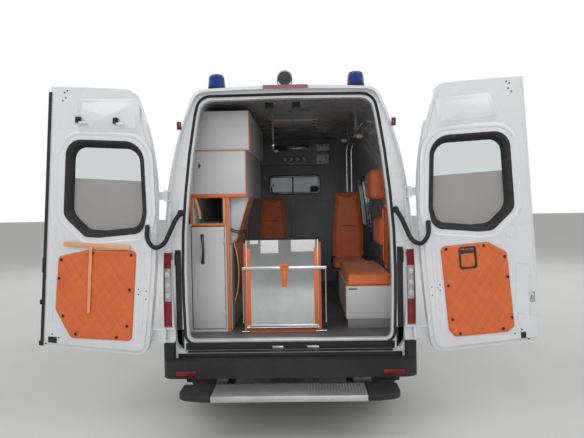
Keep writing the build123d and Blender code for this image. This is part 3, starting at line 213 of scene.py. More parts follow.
whitePaint = dict(shade=(0.74, 0.755, 0.775), worn=(0.70, 0.715, 0.735), variation=1.2,
                  grain=(900, 0.00004, 0.2))
paints = {
    "bodyWhite": dict(whitePaint, rough=(0.22, 0.32), dirt=(1.0, 0.35), Coat_Weight=0.5, Coat_Roughness=0.08),
    "panelWhite": dict(whitePaint, rough=(0.24, 0.34), dirt=(0.9, 0.3), inner=(0.36, 0.37, 0.38),
                       Coat_Weight=0.5,
                       Coat_Roughness=0.08),
    "cabShell": dict(whitePaint, rough=(0.24, 0.34), dirt=(0.9, 0.3), inner=(0.10, 0.105, 0.11),
                     Coat_Weight=0.4,
                     Coat_Roughness=0.1),
    "boardWhite": dict(shade=(0.64, 0.64, 0.65), worn=(0.58, 0.58, 0.59), rough=(0.35, 0.5), variation=2.5,
                       grain=(700, 0.00008)),
    # grey liner darkened below its own tone: painted shade of the dim load space and bulkhead
    "linerGreyPaintedShade": dict(shade=(0.23, 0.235, 0.24), worn=(0.19, 0.195, 0.20), rough=(0.45, 0.6), variation=2.0,
                      grain=(500, 0.0002)),
    "orangeLaminate": dict(shade=(0.76, 0.17, 0.035), worn=(0.66, 0.135, 0.028), rough=(0.3, 0.45), variation=5,
                           grain=(600, 0.0001)),
    "orangeVinyl": dict(shade=(0.78, 0.175, 0.04), worn=(0.66, 0.125, 0.028), rough=(0.38, 0.52), variation=9,
                        grain=(420, 0.0004, 0.9), Sheen_Weight=0.15),
    "orangePiping": dict(shade=(0.70, 0.22, 0.07), worn=(0.60, 0.17, 0.05), rough=(0.4, 0.5), variation=20,
                         grain=(900, 0.0001)),
    "orangeQuilt": dict(shade=(0.70, 0.150, 0.036), worn=(0.60, 0.115, 0.027), rough=(0.36, 0.5), variation=7,
                        grain=(420, 0.0003, 0.9), Sheen_Weight=0.1),
    "peachEnamel": dict(shade=(0.82, 0.40, 0.20), worn=(0.74, 0.33, 0.16), rough=(0.28, 0.4), variation=8,
                        grain=(900, 0.00006)),
    "blackPlastic": dict(shade=(0.011, 0.0115, 0.013), worn=(0.018, 0.018, 0.020), rough=(0.5, 0.68),
                         variation=6,
                         grain=(480, 0.0005, 0.8), dirt=(0.9, 0.07), Specular_IOR_Level=0.28),
    "blackRubber": dict(shade=(0.014, 0.014, 0.015), worn=(0.026, 0.026, 0.027), rough=(0.6, 0.8), variation=12,
                        grain=(800, 0.0002), Specular_IOR_Level=0.35),
    "glossBlack": dict(shade=(0.012, 0.012, 0.013), worn=(0.02, 0.02, 0.021), rough=(0.12, 0.22), variation=6,
                       grain=(900, 0.00003), Coat_Weight=0.4, Coat_Roughness=0.05),
    "dashGrey": dict(shade=(0.055, 0.057, 0.062), worn=(0.075, 0.077, 0.08), rough=(0.5, 0.62), variation=5,
                     grain=(520, 0.0005, 0.9)),
    "seatCloth": dict(shade=(0.055, 0.06, 0.07), worn=(0.085, 0.09, 0.10), rough=(0.8, 0.92), variation=18,
                      grain=(650, 0.0006, 0.4), Sheen_Weight=0.3),
    "studdedFloor": dict(shade=(0.085, 0.09, 0.095), worn=(0.13, 0.135, 0.14), rough=(0.45, 0.65), variation=4,
                         grain=(160, 0.0006, 1.0), dirt=(1.6, 0.25)),
    "chassisBlack": dict(shade=(0.022, 0.022, 0.023), worn=(0.05, 0.047, 0.043), rough=(0.5, 0.7), variation=9,
                         grain=(300, 0.0006), dirt=(0.9, 0.5)),
    "castIron": dict(shade=(0.085, 0.08, 0.075), worn=(0.13, 0.10, 0.08), rough=(0.6, 0.8), variation=11,
                     grain=(240, 0.001, 0.7), dirt=(0.8, 0.5), Metallic=0.6),
    "wheelSilver": dict(shade=(0.48, 0.49, 0.51), worn=(0.40, 0.41, 0.42), rough=(0.3, 0.42), variation=9,
                        grain=(700, 0.0001), dirt=(0.8, 0.4), Metallic=0.7),
    "tyreBlack": dict(shade=(0.022, 0.022, 0.023), worn=(0.04, 0.039, 0.038), rough=(0.68, 0.85), variation=14,
                      grain=(350, 0.0006), dirt=(0.75, 0.3)),
    "lampRed": dict(shade=(0.24, 0.006, 0.010), worn=(0.16, 0.004, 0.007), rough=(0.12, 0.2), variation=8,
                    Coat_Weight=0.3, Coat_Roughness=0.05, Specular_IOR_Level=0.3),
    "lampClear": dict(shade=(0.62, 0.62, 0.63), worn=(0.52, 0.52, 0.54), rough=(0.05, 0.1), variation=14,
                      Coat_Weight=1.0, Coat_Roughness=0.03),
    "lampAmber": dict(shade=(0.70, 0.20, 0.02), worn=(0.60, 0.15, 0.015), rough=(0.06, 0.12), variation=8,
                      Coat_Weight=1.0, Coat_Roughness=0.03),
    "beaconBlue": dict(shade=(0.005, 0.050, 0.30), worn=(0.003, 0.032, 0.20), rough=(0.12, 0.2), variation=8,
                       Coat_Weight=0.3, Coat_Roughness=0.05, Specular_IOR_Level=0.3),
    "lampDiffuser": dict(shade=(0.60, 0.61, 0.61), worn=(0.54, 0.55, 0.55), rough=(0.3, 0.42), variation=4,
                         grain=(300, 0.0002)),
    "paperWhite": dict(shade=(0.78, 0.78, 0.76), worn=(0.72, 0.72, 0.70), rough=(0.6, 0.75), variation=20,
                       grain=(500, 0.0001)),
    "fuelTankGrey": dict(shade=(0.03, 0.03, 0.032), worn=(0.05, 0.048, 0.046), rough=(0.5, 0.65), variation=6,
                         grain=(260, 0.0006), dirt=(0.8, 0.5)),
}
finish = {name: makeFinish(name, **values) for name, values in paints.items()}


def makeMetal(name, shade, rough, stretch, grain, dirt=None):
    # drawn or rolled metal, its lines running where the mapping stretches them
    material, tree, shader, place = startMaterial(name, Metallic=1.0)
    mapping = addNode(tree, "Mapping", Scale=stretch, Vector=place)
    lines = placeGroup(tree, "brushed", mapping.outputs["Vector"], Scale=grain[0], Low=rough[0], High=rough[1])
    color = cloudMix(tree, place, 6, (shade, tuple(v * 0.82 for v in shade)))[0]
    if dirt:
        color = addDust(tree, place, color, dirt, metalDust)
    tree.links.new(color, shader.inputs["Base Color"])
    tree.links.new(lines.outputs["Roughness"], shader.inputs["Roughness"])
    addBump(tree, shader, lines.outputs["Height"], grain[1])
    return material


metals = {
    "galvanised": dict(shade=(0.62, 0.63, 0.64), rough=(0.32, 0.5), stretch=(6, 6, 6), grain=(9, 0.0002)),
    "brightSteel": dict(shade=(0.60, 0.61, 0.62), rough=(0.16, 0.3), stretch=(1, 1, 14), grain=(40, 0.00008)),
    # polished mirror sheet, its tint darkened as a painted dim reflection of darker surroundings
    "mirrorSheetPaintedDimReflection": dict(shade=(0.56, 0.57, 0.58), rough=(0.03, 0.09), stretch=(1, 1, 9), grain=(20, 0.00003)),
    "rolledAluminium": dict(shade=(0.66, 0.67, 0.68), rough=(0.3, 0.48), stretch=(1, 12, 1), grain=(50, 0.0001),
                            dirt=(1.0, 0.25)),
    "exhaustSteel": dict(shade=(0.33, 0.29, 0.25), rough=(0.42, 0.62), stretch=(4, 1, 4), grain=(30, 0.0003),
                         dirt=(0.7, 0.4)),
}
finish.update({name: makeMetal(name, **values) for name, values in metals.items()})
clearPart = {"low": 0.985, "high": 1.236, "side": 0.938}  # the white chamber of a tail lamp


def makeLampLens(name):
    # red tail lamps with a clear middle, clear headlamps
    material, tree, shader, place = startMaterial(name, Roughness=0.14, Specular_IOR_Level=0.35,
                                                  Coat_Weight=0.4,
                                                  Coat_Roughness=0.04)
    spots = addNode(tree, "SeparateXYZ", Vector=place).outputs
    front = addMath(tree, "GREATER_THAN", spots["Y"], 0.0)
    low = addMath(tree, "GREATER_THAN", spots["Z"], clearPart["low"])
    high = addMath(tree, "LESS_THAN", spots["Z"], clearPart["high"])
    inner = addMath(tree, "LESS_THAN", addMath(tree, "ABSOLUTE", spots["X"]), clearPart["side"])
    middle = addMath(tree, "MULTIPLY", addMath(tree, "MULTIPLY", low, high), inner)
    red, white = cloudMix(tree, place, 40, ((0.24, 0.005, 0.008), (0.15, 0.003, 0.005)),
                          ((0.46, 0.46, 0.47), (0.32, 0.32, 0.34)))
    color = mixColors(tree, addMath(tree, "MAXIMUM", front, middle), red, white)
    tree.links.new(color, shader.inputs["Base Color"])
    return material


def makeEdgedBoard(name):
    # white board with orange edging on the faces that look backwards
    material, tree, shader, place = startMaterial(name, Roughness=0.42)
    facing = addNode(tree, "SeparateXYZ", Vector=tree.nodes.new("ShaderNodeTexCoord").outputs["Normal"])
    rear = addMath(tree, "LESS_THAN", facing.outputs["Y"], -0.7)
    orange, white = cloudMix(tree, place, 4, ((0.76, 0.17, 0.035), (0.66, 0.135, 0.028)),
                             ((0.66, 0.66, 0.65), (0.58, 0.58, 0.57)))
    tree.links.new(mixColors(tree, rear, white, orange), shader.inputs["Base Color"])
    addBump(tree, shader, placeGroup(tree, "grain", place, Scale=700).outputs[0], 0.0001)
    return material


def makeFilm(name):
    # matt film on the lower half of a pane
    material, tree, shader, place = startMaterial(name, Roughness=0.42, Transmission_Weight=0.25)
    color = cloudMix(tree, place, 3, ((0.43, 0.42, 0.415), (0.38, 0.375, 0.37)))[0]
    tree.links.new(color, shader.inputs["Base Color"])
    addBump(tree, shader, placeGroup(tree, "grain", place, Scale=600).outputs[0], 0.0001)
    return material


def makeGlazing(name, tint):
    material, tree, shader, place = startMaterial(name, Roughness=0.0, Transmission_Weight=1.0, IOR=1.12)
    color = cloudMix(tree, place, 2.5, (tint, tuple(v * 0.96 for v in tint)))[0]
    tree.links.new(color, shader.inputs["Base Color"])
    return material


for name, make in (("lampLens", makeLampLens), ("edgedBoard", makeEdgedBoard), ("frostedFilm", makeFilm)):
    finish[name] = make(name)
for name, tint in (("clearGlass", (0.62, 0.66, 0.66)), ("tintedGlass", (0.34, 0.37, 0.37))):
    finish[name] = makeGlazing(name, tint)
print("finishes made:", len(finish))

# Finishes of the CAD nodes

finishNodes = {
    "panelWhite": "side_left side_right sliding_door roof",
    "bodyWhite": "rear_frame front_wings bonnet hinge_brackets rear_door_right rear_door_left",
    "cabShell": "cab_frame cab_door_right cab_door_left",
    "blackPlastic": "scuttle side_cladding rear_bumper rear_step steering_wheel",
    "dashGrey": "front_bumper dashboard",
    "tintedGlass": "body_glass cab_glass_right cab_glass_left",
    "clearGlass": "rear_glass_right rear_glass_left",
    "lampLens": "lamps",
    "beaconBlue": "roof_lamps",
    "studdedFloor": "floor",
    # bulkhead and ceiling fittings take the grey liner with its painted shade
    "linerGreyPaintedShade": "bulkhead ceiling_fittings",
    "boardWhite": "cabinets locker_door bench",
    "edgedBoard": "shelf",
    "orangeVinyl": "cushions",
    "seatCloth": "seats",
    "orangeLaminate": "ramp_frame",
    # ramp in the mirror sheet with its painted dim reflection
    "mirrorSheetPaintedDimReflection": "ramp",
    "chassisBlack": "chassis",
    "castIron": "rear_axle knuckle_right knuckle_left engine",
    "fuelTankGrey": "fuel_tank",
    "exhaustSteel": "exhaust",
    "blackRubber": "door_hoses",
    "tyreBlack": "wheel_front_right wheel_front_left wheel_rear_right wheel_rear_left spare_wheel",
}
nodeFinish = {nodeName: finishName for finishName, names in finishNodes.items() for nodeName in names.split()}
for nodeName, finishName in nodeFinish.items():
    slots = nodes[nodeName].material_slots
    slots[0].link = "OBJECT"
    slots[0].material = finish[finishName]
print("CAD nodes finished:", len(nodeFinish))


# Mesh helpers

def boxOutline(low, high, lowZ, highZ):
    return [(low, lowZ), (high, lowZ), (high, highZ), (low, highZ)]


def outlinePoints(corners, radii, steps=6):
    # closed outline with rounded corners, as a list of (a, b) pairs
    count = len(corners)
    if isinstance(radii, (int, float)):
        radii = [radii] * count
    result = []
    for i, (corner, radius) in enumerate(zip(corners, radii)):
        here = Vector(corner)
        back = (Vector(corners[i - 1]) - here)
        on = (Vector(corners[(i + 1) % count]) - here)
        half = back.angle(on) / 2
        if radius <= 0 or abs(half - math.pi / 2) < 0.01:
            result.append(tuple(here))
            continue
        reach = min(radius / math.tan(half), 0.49 * back.length, 0.49 * on.length)
        radius = reach * math.tan(half)
        middle = here + (back.normalized() + on.normalized()).normalized() * radius / math.sin(half)
        first = here + back.normalized() * reach - middle
        last = here + on.normalized() * reach - middle
        turn = first.angle_signed(last)
        for k in range(steps + 1):
            angle = -turn * k / steps
            result.append((middle.x + first.x * math.cos(angle) - first.y * math.sin(angle),
                           middle.y + first.x * math.sin(angle) + first.y * math.cos(angle)))
    return result


def areaOf(points):
    return sum(a[0] * b[1] - b[0] * a[1] for a, b in zip(points, points[1:] + points[:1])) / 2


def growOutline(points, amount):
    # every point moved outwards along its own mean normal
    side = 1 if areaOf(points) > 0 else -1
    result = []
    for i, point in enumerate(points):
        before, after = Vector(points[i - 1]), Vector(points[(i + 1) % len(points)])
        along = ((Vector(point) - before).normalized() + (after - Vector(point)).normalized()).normalized()
        result.append((point[0] + side * along.y * amount, point[1] - side * along.x * amount))
    return result


def addLoft(bm, loops, ringClosed=False):
    # skins a list of equal closed loops of 3-D points
    rows = [[bm.verts.new(p) for p in loop] for loop in loops]
    pairs = list(zip(rows, rows[1:]))
    if ringClosed:
        pairs.append((rows[-1], rows[0]))
    for a, b in pairs:
        for i in range(len(a)):
            j = (i + 1) % len(a)
            bm.faces.new((a[i], a[j], b[j], b[i]))
    if not ringClosed:
        bm.faces.new(list(reversed(rows[0])))
        bm.faces.new(rows[-1])


def putAt(point, level, axis):
    # 3-D place of a point of an outline, at a level along the axis
    a, b = point
    return {"y": (a, level, b), "x": (level, a, b), "z": (a, b, level)}[axis]


def circleAngles(count):
    return [2 * math.pi * k / count for k in range(count)]


def spread(start, end, steps):
    # evenly spaced numbers, both ends counted
    return [start + (end - start) * k / steps for k in range(steps + 1)]


def addSlab(bm, outline, low, high, axis="y", edge=0.0, steps=2):
    # plate of an outline with softened edges; axis is the thickness direction
    if edge:
        loops = []
        for k in range(steps + 1):
            turn = k / steps * math.pi / 2
            loops.append((growOutline(outline, -edge * (1 - math.sin(turn))),
                          low + edge * (1 - math.cos(turn))))
        for k in range(steps + 1):
            turn = k / steps * math.pi / 2
            loops.append((growOutline(outline, -edge * (1 - math.cos(turn))),
                          high - edge * (1 - math.sin(turn))))
    else:
        loops = [(outline, low), (outline, high)]
    addLoft(bm, [[putAt(p, level, axis) for p in loop] for loop, level in loops])


def addRing(bm, outline, profile, base=0.0, axis="y"):
    # closed band round an outline; profile holds pairs of (outwards, level over the base)
    loops = [[putAt(p, base + level, axis) for p in growOutline(outline, out)] for out, level in profile]
    addLoft(bm, loops, ringClosed=True)


def addBox(bm, xs, ys, zs, edge=0.003, steps=2):
    outline = outlinePoints(boxOutline(*xs, *zs), edge, 3)
    addSlab(bm, outline, ys[0], ys[1], "y", edge * 0.8, steps)


def addBoxes(bm, rows, base=0.0, edge=None):
    # boxes of (low x, high x, low y, high y, low z, high z, edge), their y counted from the base
    for row in rows:
        lowX, highX, lowY, highY, lowZ, highZ = row[:6]
        addBox(bm, (lowX, highX), (base + lowY, base + highY), (lowZ, highZ), row[6] if edge is None else edge)


def addTube(bm, points, radius, sides=16, closed=False, radii=None):
    # round bar along a path, its rings turned without twist
    path = [Vector(p) for p in points]
    count = len(path)
    rings, normal = [], None
    for i, p in enumerate(path):
        before = path[i - 1] if (i or closed) else p
        after = path[(i + 1) % count] if (i < count - 1 or closed) else p
        along = (after - before).normalized()
        if normal is None:
            normal = along.orthogonal().normalized()
        normal = (normal - along * normal.dot(along)).normalized()
        other = along.cross(normal)
        r = radii[i] if radii else radius
        rings.append([p
                      + r * (math.cos(2 * math.pi * k / sides) * normal
                             + math.sin(2 * math.pi * k / sides) * other)
                      for k in range(sides)])
    addLoft(bm, rings, ringClosed=closed)


def addLathe(bm, profile, centre, axis="z", sides=32):
    # profile of (radius, height) pairs spun about an axis; radius 0 closes an end
    frames = {"z": (Vector((1, 0, 0)), Vector((0, 1, 0)), Vector((0, 0, 1))),
              "y": (Vector((1, 0, 0)), Vector((0, 0, -1)), Vector((0, 1, 0))),
              "x": (Vector((0, 1, 0)), Vector((0, 0, 1)), Vector((1, 0, 0)))}
    a, b, c = frames[axis]
    centre = Vector(centre)
    previous = None
    for radius, height in profile:
        if radius < 1e-6:
            row = [bm.verts.new(centre + c * height)]
        else:
            row = [bm.verts.new(centre + c * height + radius * (math.cos(2 * math.pi * k / sides) * a
                                                                + math.sin(2 * math.pi * k / sides) * b))
                   for k in range(sides)]
        if previous:
            for k in range(sides):
                j = (k + 1) % sides
                if len(previous) == 1 and len(row) > 1:
                    bm.faces.new((previous[0], row[j], row[k]))
                elif len(row) == 1 and len(previous) > 1:
                    bm.faces.new((previous[k], previous[j], row[0]))
                elif len(row) > 1:
                    bm.faces.new((previous[k], previous[j], row[j], row[k]))
        previous = row


def roundPath(points, bends, steps=6):
    # 3-D path with its corners rounded
    if isinstance(bends, (int, float)):
        bends = [bends] * len(points)
    result = [Vector(points[0])]
    for i in range(1, len(points) - 1):
        here = Vector(points[i])
        back, on = Vector(points[i - 1]) - here, Vector(points[i + 1]) - here
        reach = min(bends[i], 0.49 * back.length, 0.49 * on.length)
        first, last = here + back.normalized() * reach, here + on.normalized() * reach
        for k in range(steps + 1):
            t = k / steps
            result.append((1 - t) ** 2 * first + 2 * t * (1 - t) * here + t * t * last)
    result.append(Vector(points[-1]))
    return result


def mirrorMesh(bm):
    # the other side of the vehicle
    for vert in bm.verts:
        vert.co.x = -vert.co.x
    bmesh.ops.reverse_faces(bm, faces=bm.faces[:])


def addMirrored(bm):
    # adds the piece's own mirror image on the other side
    made = bmesh.ops.duplicate(bm, geom=bm.verts[:] + bm.edges[:] + bm.faces[:])["geom"]
    faces = [f for f in made if isinstance(f, bmesh.types.BMFace)]
    for vert in (v for v in made if isinstance(v, bmesh.types.BMVert)):
        vert.co.x = -vert.co.x
    bmesh.ops.reverse_faces(bm, faces=faces)


def makePiece(name, bm, material, rides="van", replaces=None, slot=None, sharp=38, place=None):
    # turns the built mesh into a finished piece that moves with a body
    if place:
        bmesh.ops.transform(bm, matrix=place, verts=bm.verts[:])
    bmesh.ops.recalc_face_normals(bm, faces=bm.faces[:])
    for face in bm.faces:
        face.smooth = True
    mesh = bpy.data.meshes.new(name)
    bm.to_mesh(mesh)
    bm.free()
    mesh.set_sharp_from_angle(angle=math.radians(sharp))
    mesh.materials.append(finish[material])
    piece = bpy.data.objects.new(name, mesh)
    collection.objects.link(piece)
    if rides:
        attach(piece, rides)
    for nodeName in replaces or ():
        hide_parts(nodeName)
    return piece


# Rear doors, drawn closed on the right and swung open

swing = {"axis": (0.922, -2.756, 1.2), "tilt": math.radians(1.9), "angle": math.radians(188), "inner": -2.651,
         "rim": -2.665, "pane": -2.707, "outer": -2.716}
hingePoint = Vector(swing["axis"])
hingeLine = Vector((-math.sin(swing["tilt"]), 0, math.cos(swing["tilt"])))
openDoor = (Matrix.Translation(hingePoint) @ Matrix.Rotation(swing["angle"], 4, hingeLine)
            @ Matrix.Translation(-hingePoint))

holeCorners = [(0.155, 2.164), (0.745, 2.164), (0.795, 1.650), (0.775, 1.510), (0.430, 1.458), (0.330, 1.458),
               (0.155, 1.600)]
doorHole = outlinePoints(holeCorners, [0.11, 0.15, 0.12, 0.09, 0.06, 0.06, 0.09], 8)
sightEdge = outlinePoints([(0.200, 2.118), (0.705, 2.118), (0.750, 1.660), (0.728, 1.545), (0.470, 1.505),
                           (0.340, 1.505), (0.200, 1.622)], [0.09, 0.11, 0.12, 0.10, 0.10, 0.10, 0.12], 8)

doorTrim = {
    "right": dict(
        panel=[(0.737, 1.368), (0.374, 1.372), (0.232, 1.284), (0.214, 0.727), (0.269, 0.692), (0.678, 0.700),
               (0.719, 0.756)],
        screws=[(0.700, 1.345), (0.415, 1.348), (0.260, 1.252), (0.246, 1.100), (0.236, 0.800), (0.310, 0.722),
                (0.640, 0.722), (0.690, 0.830), (0.703, 1.080)],
        plate=[(0.686, 2.440), (0.274, 2.458), (0.219, 2.261), (0.687, 2.230)], clips=[]),
    "left": dict(
        panel=[(0.119, 1.294), (0.369, 1.360), (0.736, 1.373), (0.727, 0.702), (0.242, 0.685), (0.107, 0.894)],
        screws=[(0.150, 1.270), (0.400, 1.335), (0.700, 1.338), (0.700, 1.082), (0.690, 0.812), (0.610, 0.722),
                (0.285, 0.722), (0.180, 0.850), (0.137, 1.130)],
        plate=[(0.229, 2.473), (0.708, 2.484), (0.718, 2.237), (0.239, 2.222)], clips=[0.256, 0.552]),
}
quilt = {"thick": 0.016, "cell": 0.0075, "pitch": 0.062, "groove": 0.0035, "roll": 0.012}


def buildQuilt(bm, outline, level):
    # padded board stitched in diamonds, fixed flat to the door
    lowX, highX = min(p[0] for p in outline), max(p[0] for p in outline)
    lowZ, highZ = min(p[1] for p in outline), max(p[1] for p in outline)
    columns, rows = int((highX - lowX) / quilt["cell"]), int((highZ - lowZ) / quilt["cell"])
    grid = [[bm.verts.new((lowX + (highX - lowX) * i / columns, level, lowZ + (highZ - lowZ) * j / rows))
             for i in range(columns + 1)] for j in range(rows + 1)]
    for j in range(rows):
        for i in range(columns):
            bm.faces.new((grid[j][i], grid[j][i + 1], grid[j + 1][i + 1], grid[j + 1][i]))
    side = 1 if areaOf(outline) > 0 else -1
    edges = []
    for a, b in zip(outline, outline[1:] + outline[:1]):
        along = Vector((b[0] - a[0], b[1] - a[1]))
        if along.length < 1e-5:
            continue
        along.normalize()
        out = Vector((along.y * side, -along.x * side))
        edges.append((a, out))
        bmesh.ops.bisect_plane(bm, geom=bm.verts[:] + bm.edges[:] + bm.faces[:], plane_co=(a[0], level, a[1]),
                               plane_no=(out.x, 0, out.y), clear_outer=True)
    for vert in bm.verts:
        x, z = vert.co.x, vert.co.z
        depth = min(-((x - a[0]) * out.x + (z - a[1]) * out.y) for a, out in edges)
        lift = quilt["thick"] * min(1, max(0, depth) / quilt["roll"]) ** 0.5
        soft = min(1, max(0, depth - 0.006) / 0.02)
        for slope in (1.35, -1.35):
            line = (z - slope * x) / math.hypot(1, slope) / quilt["pitch"]
            off = abs(line - round(line)) * quilt["pitch"]
            lift -= soft * quilt["groove"] * math.exp(-(off / 0.0055) ** 2)
        vert.co.y = level + lift
    borders = [e for e in bm.edges if len(e.link_faces) == 1]
    made = bmesh.ops.extrude_edge_only(bm, edges=borders)["geom"]
    for vert in (v for v in made if isinstance(v, bmesh.types.BMVert)):
        vert.co.y = level - 0.001


def buildWindowSeal(bm):
    # rubber that fills the hole's depth and narrows to the sight edge of the pane
    inner, pane = swing["inner"], swing["pane"]
    loops = []
    for out, share, level in ((0.007, 0.0, inner + 0.0005), (0.008, 0.0, inner + 0.0032),
                              (0.003, 0.0, inner + 0.0044),
                              (0.0, 0.25, inner + 0.0036), (0.0, 0.62, inner - 0.010),
                              (0.0, 0.93, pane + 0.016),
                              (0.0, 1.0, pane + 0.005), (0.0, 0.96, pane + 0.0003),
                              (-0.001, 0.0, pane + 0.0003),
                              (-0.001, 0.0, inner - 0.004)):
        border = growOutline(doorHole, out)
        loops.append([(a[0] + (b[0] - a[0]) * share, level, a[1] + (b[1] - a[1]) * share)
                      for a, b in zip(border, sightEdge)])
    addLoft(bm, loops, ringClosed=True)


def clipBelow(outline, level):
    # part of an outline that lies below a height
    result = []
    for a, b in zip(outline, outline[1:] + outline[:1]):
        if a[1] <= level:
            result.append(a)
        if (a[1] <= level) != (b[1] <= level):
            t = (level - a[1]) / (b[1] - a[1])
            result.append((a[0] + t * (b[0] - a[0]), level))
    return result


def buildScrew(bm, x, z, level, radius=0.011):
    addLathe(bm, [(radius, level - 0.001), (radius, level + 0.0025), (radius * 0.7, level + 0.0045),
                  (radius * 0.45, level + 0.0048), (radius * 0.4, level + 0.0032), (0, level + 0.0032)],
             (x, 0, z), "y", 16)


def finishDoorPiece(name, bm, material, hand, **more):
    if hand == "left":
        bmesh.ops.transform(bm, matrix=openDoor, verts=bm.verts[:])
        mirrorMesh(bm)
        return makePiece(name + "Left", bm, material, "left_rear_door", **more)
    bmesh.ops.transform(bm, matrix=openDoor, verts=bm.verts[:])
    return makePiece(name + "Right", bm, material, "right_rear_door", **more)


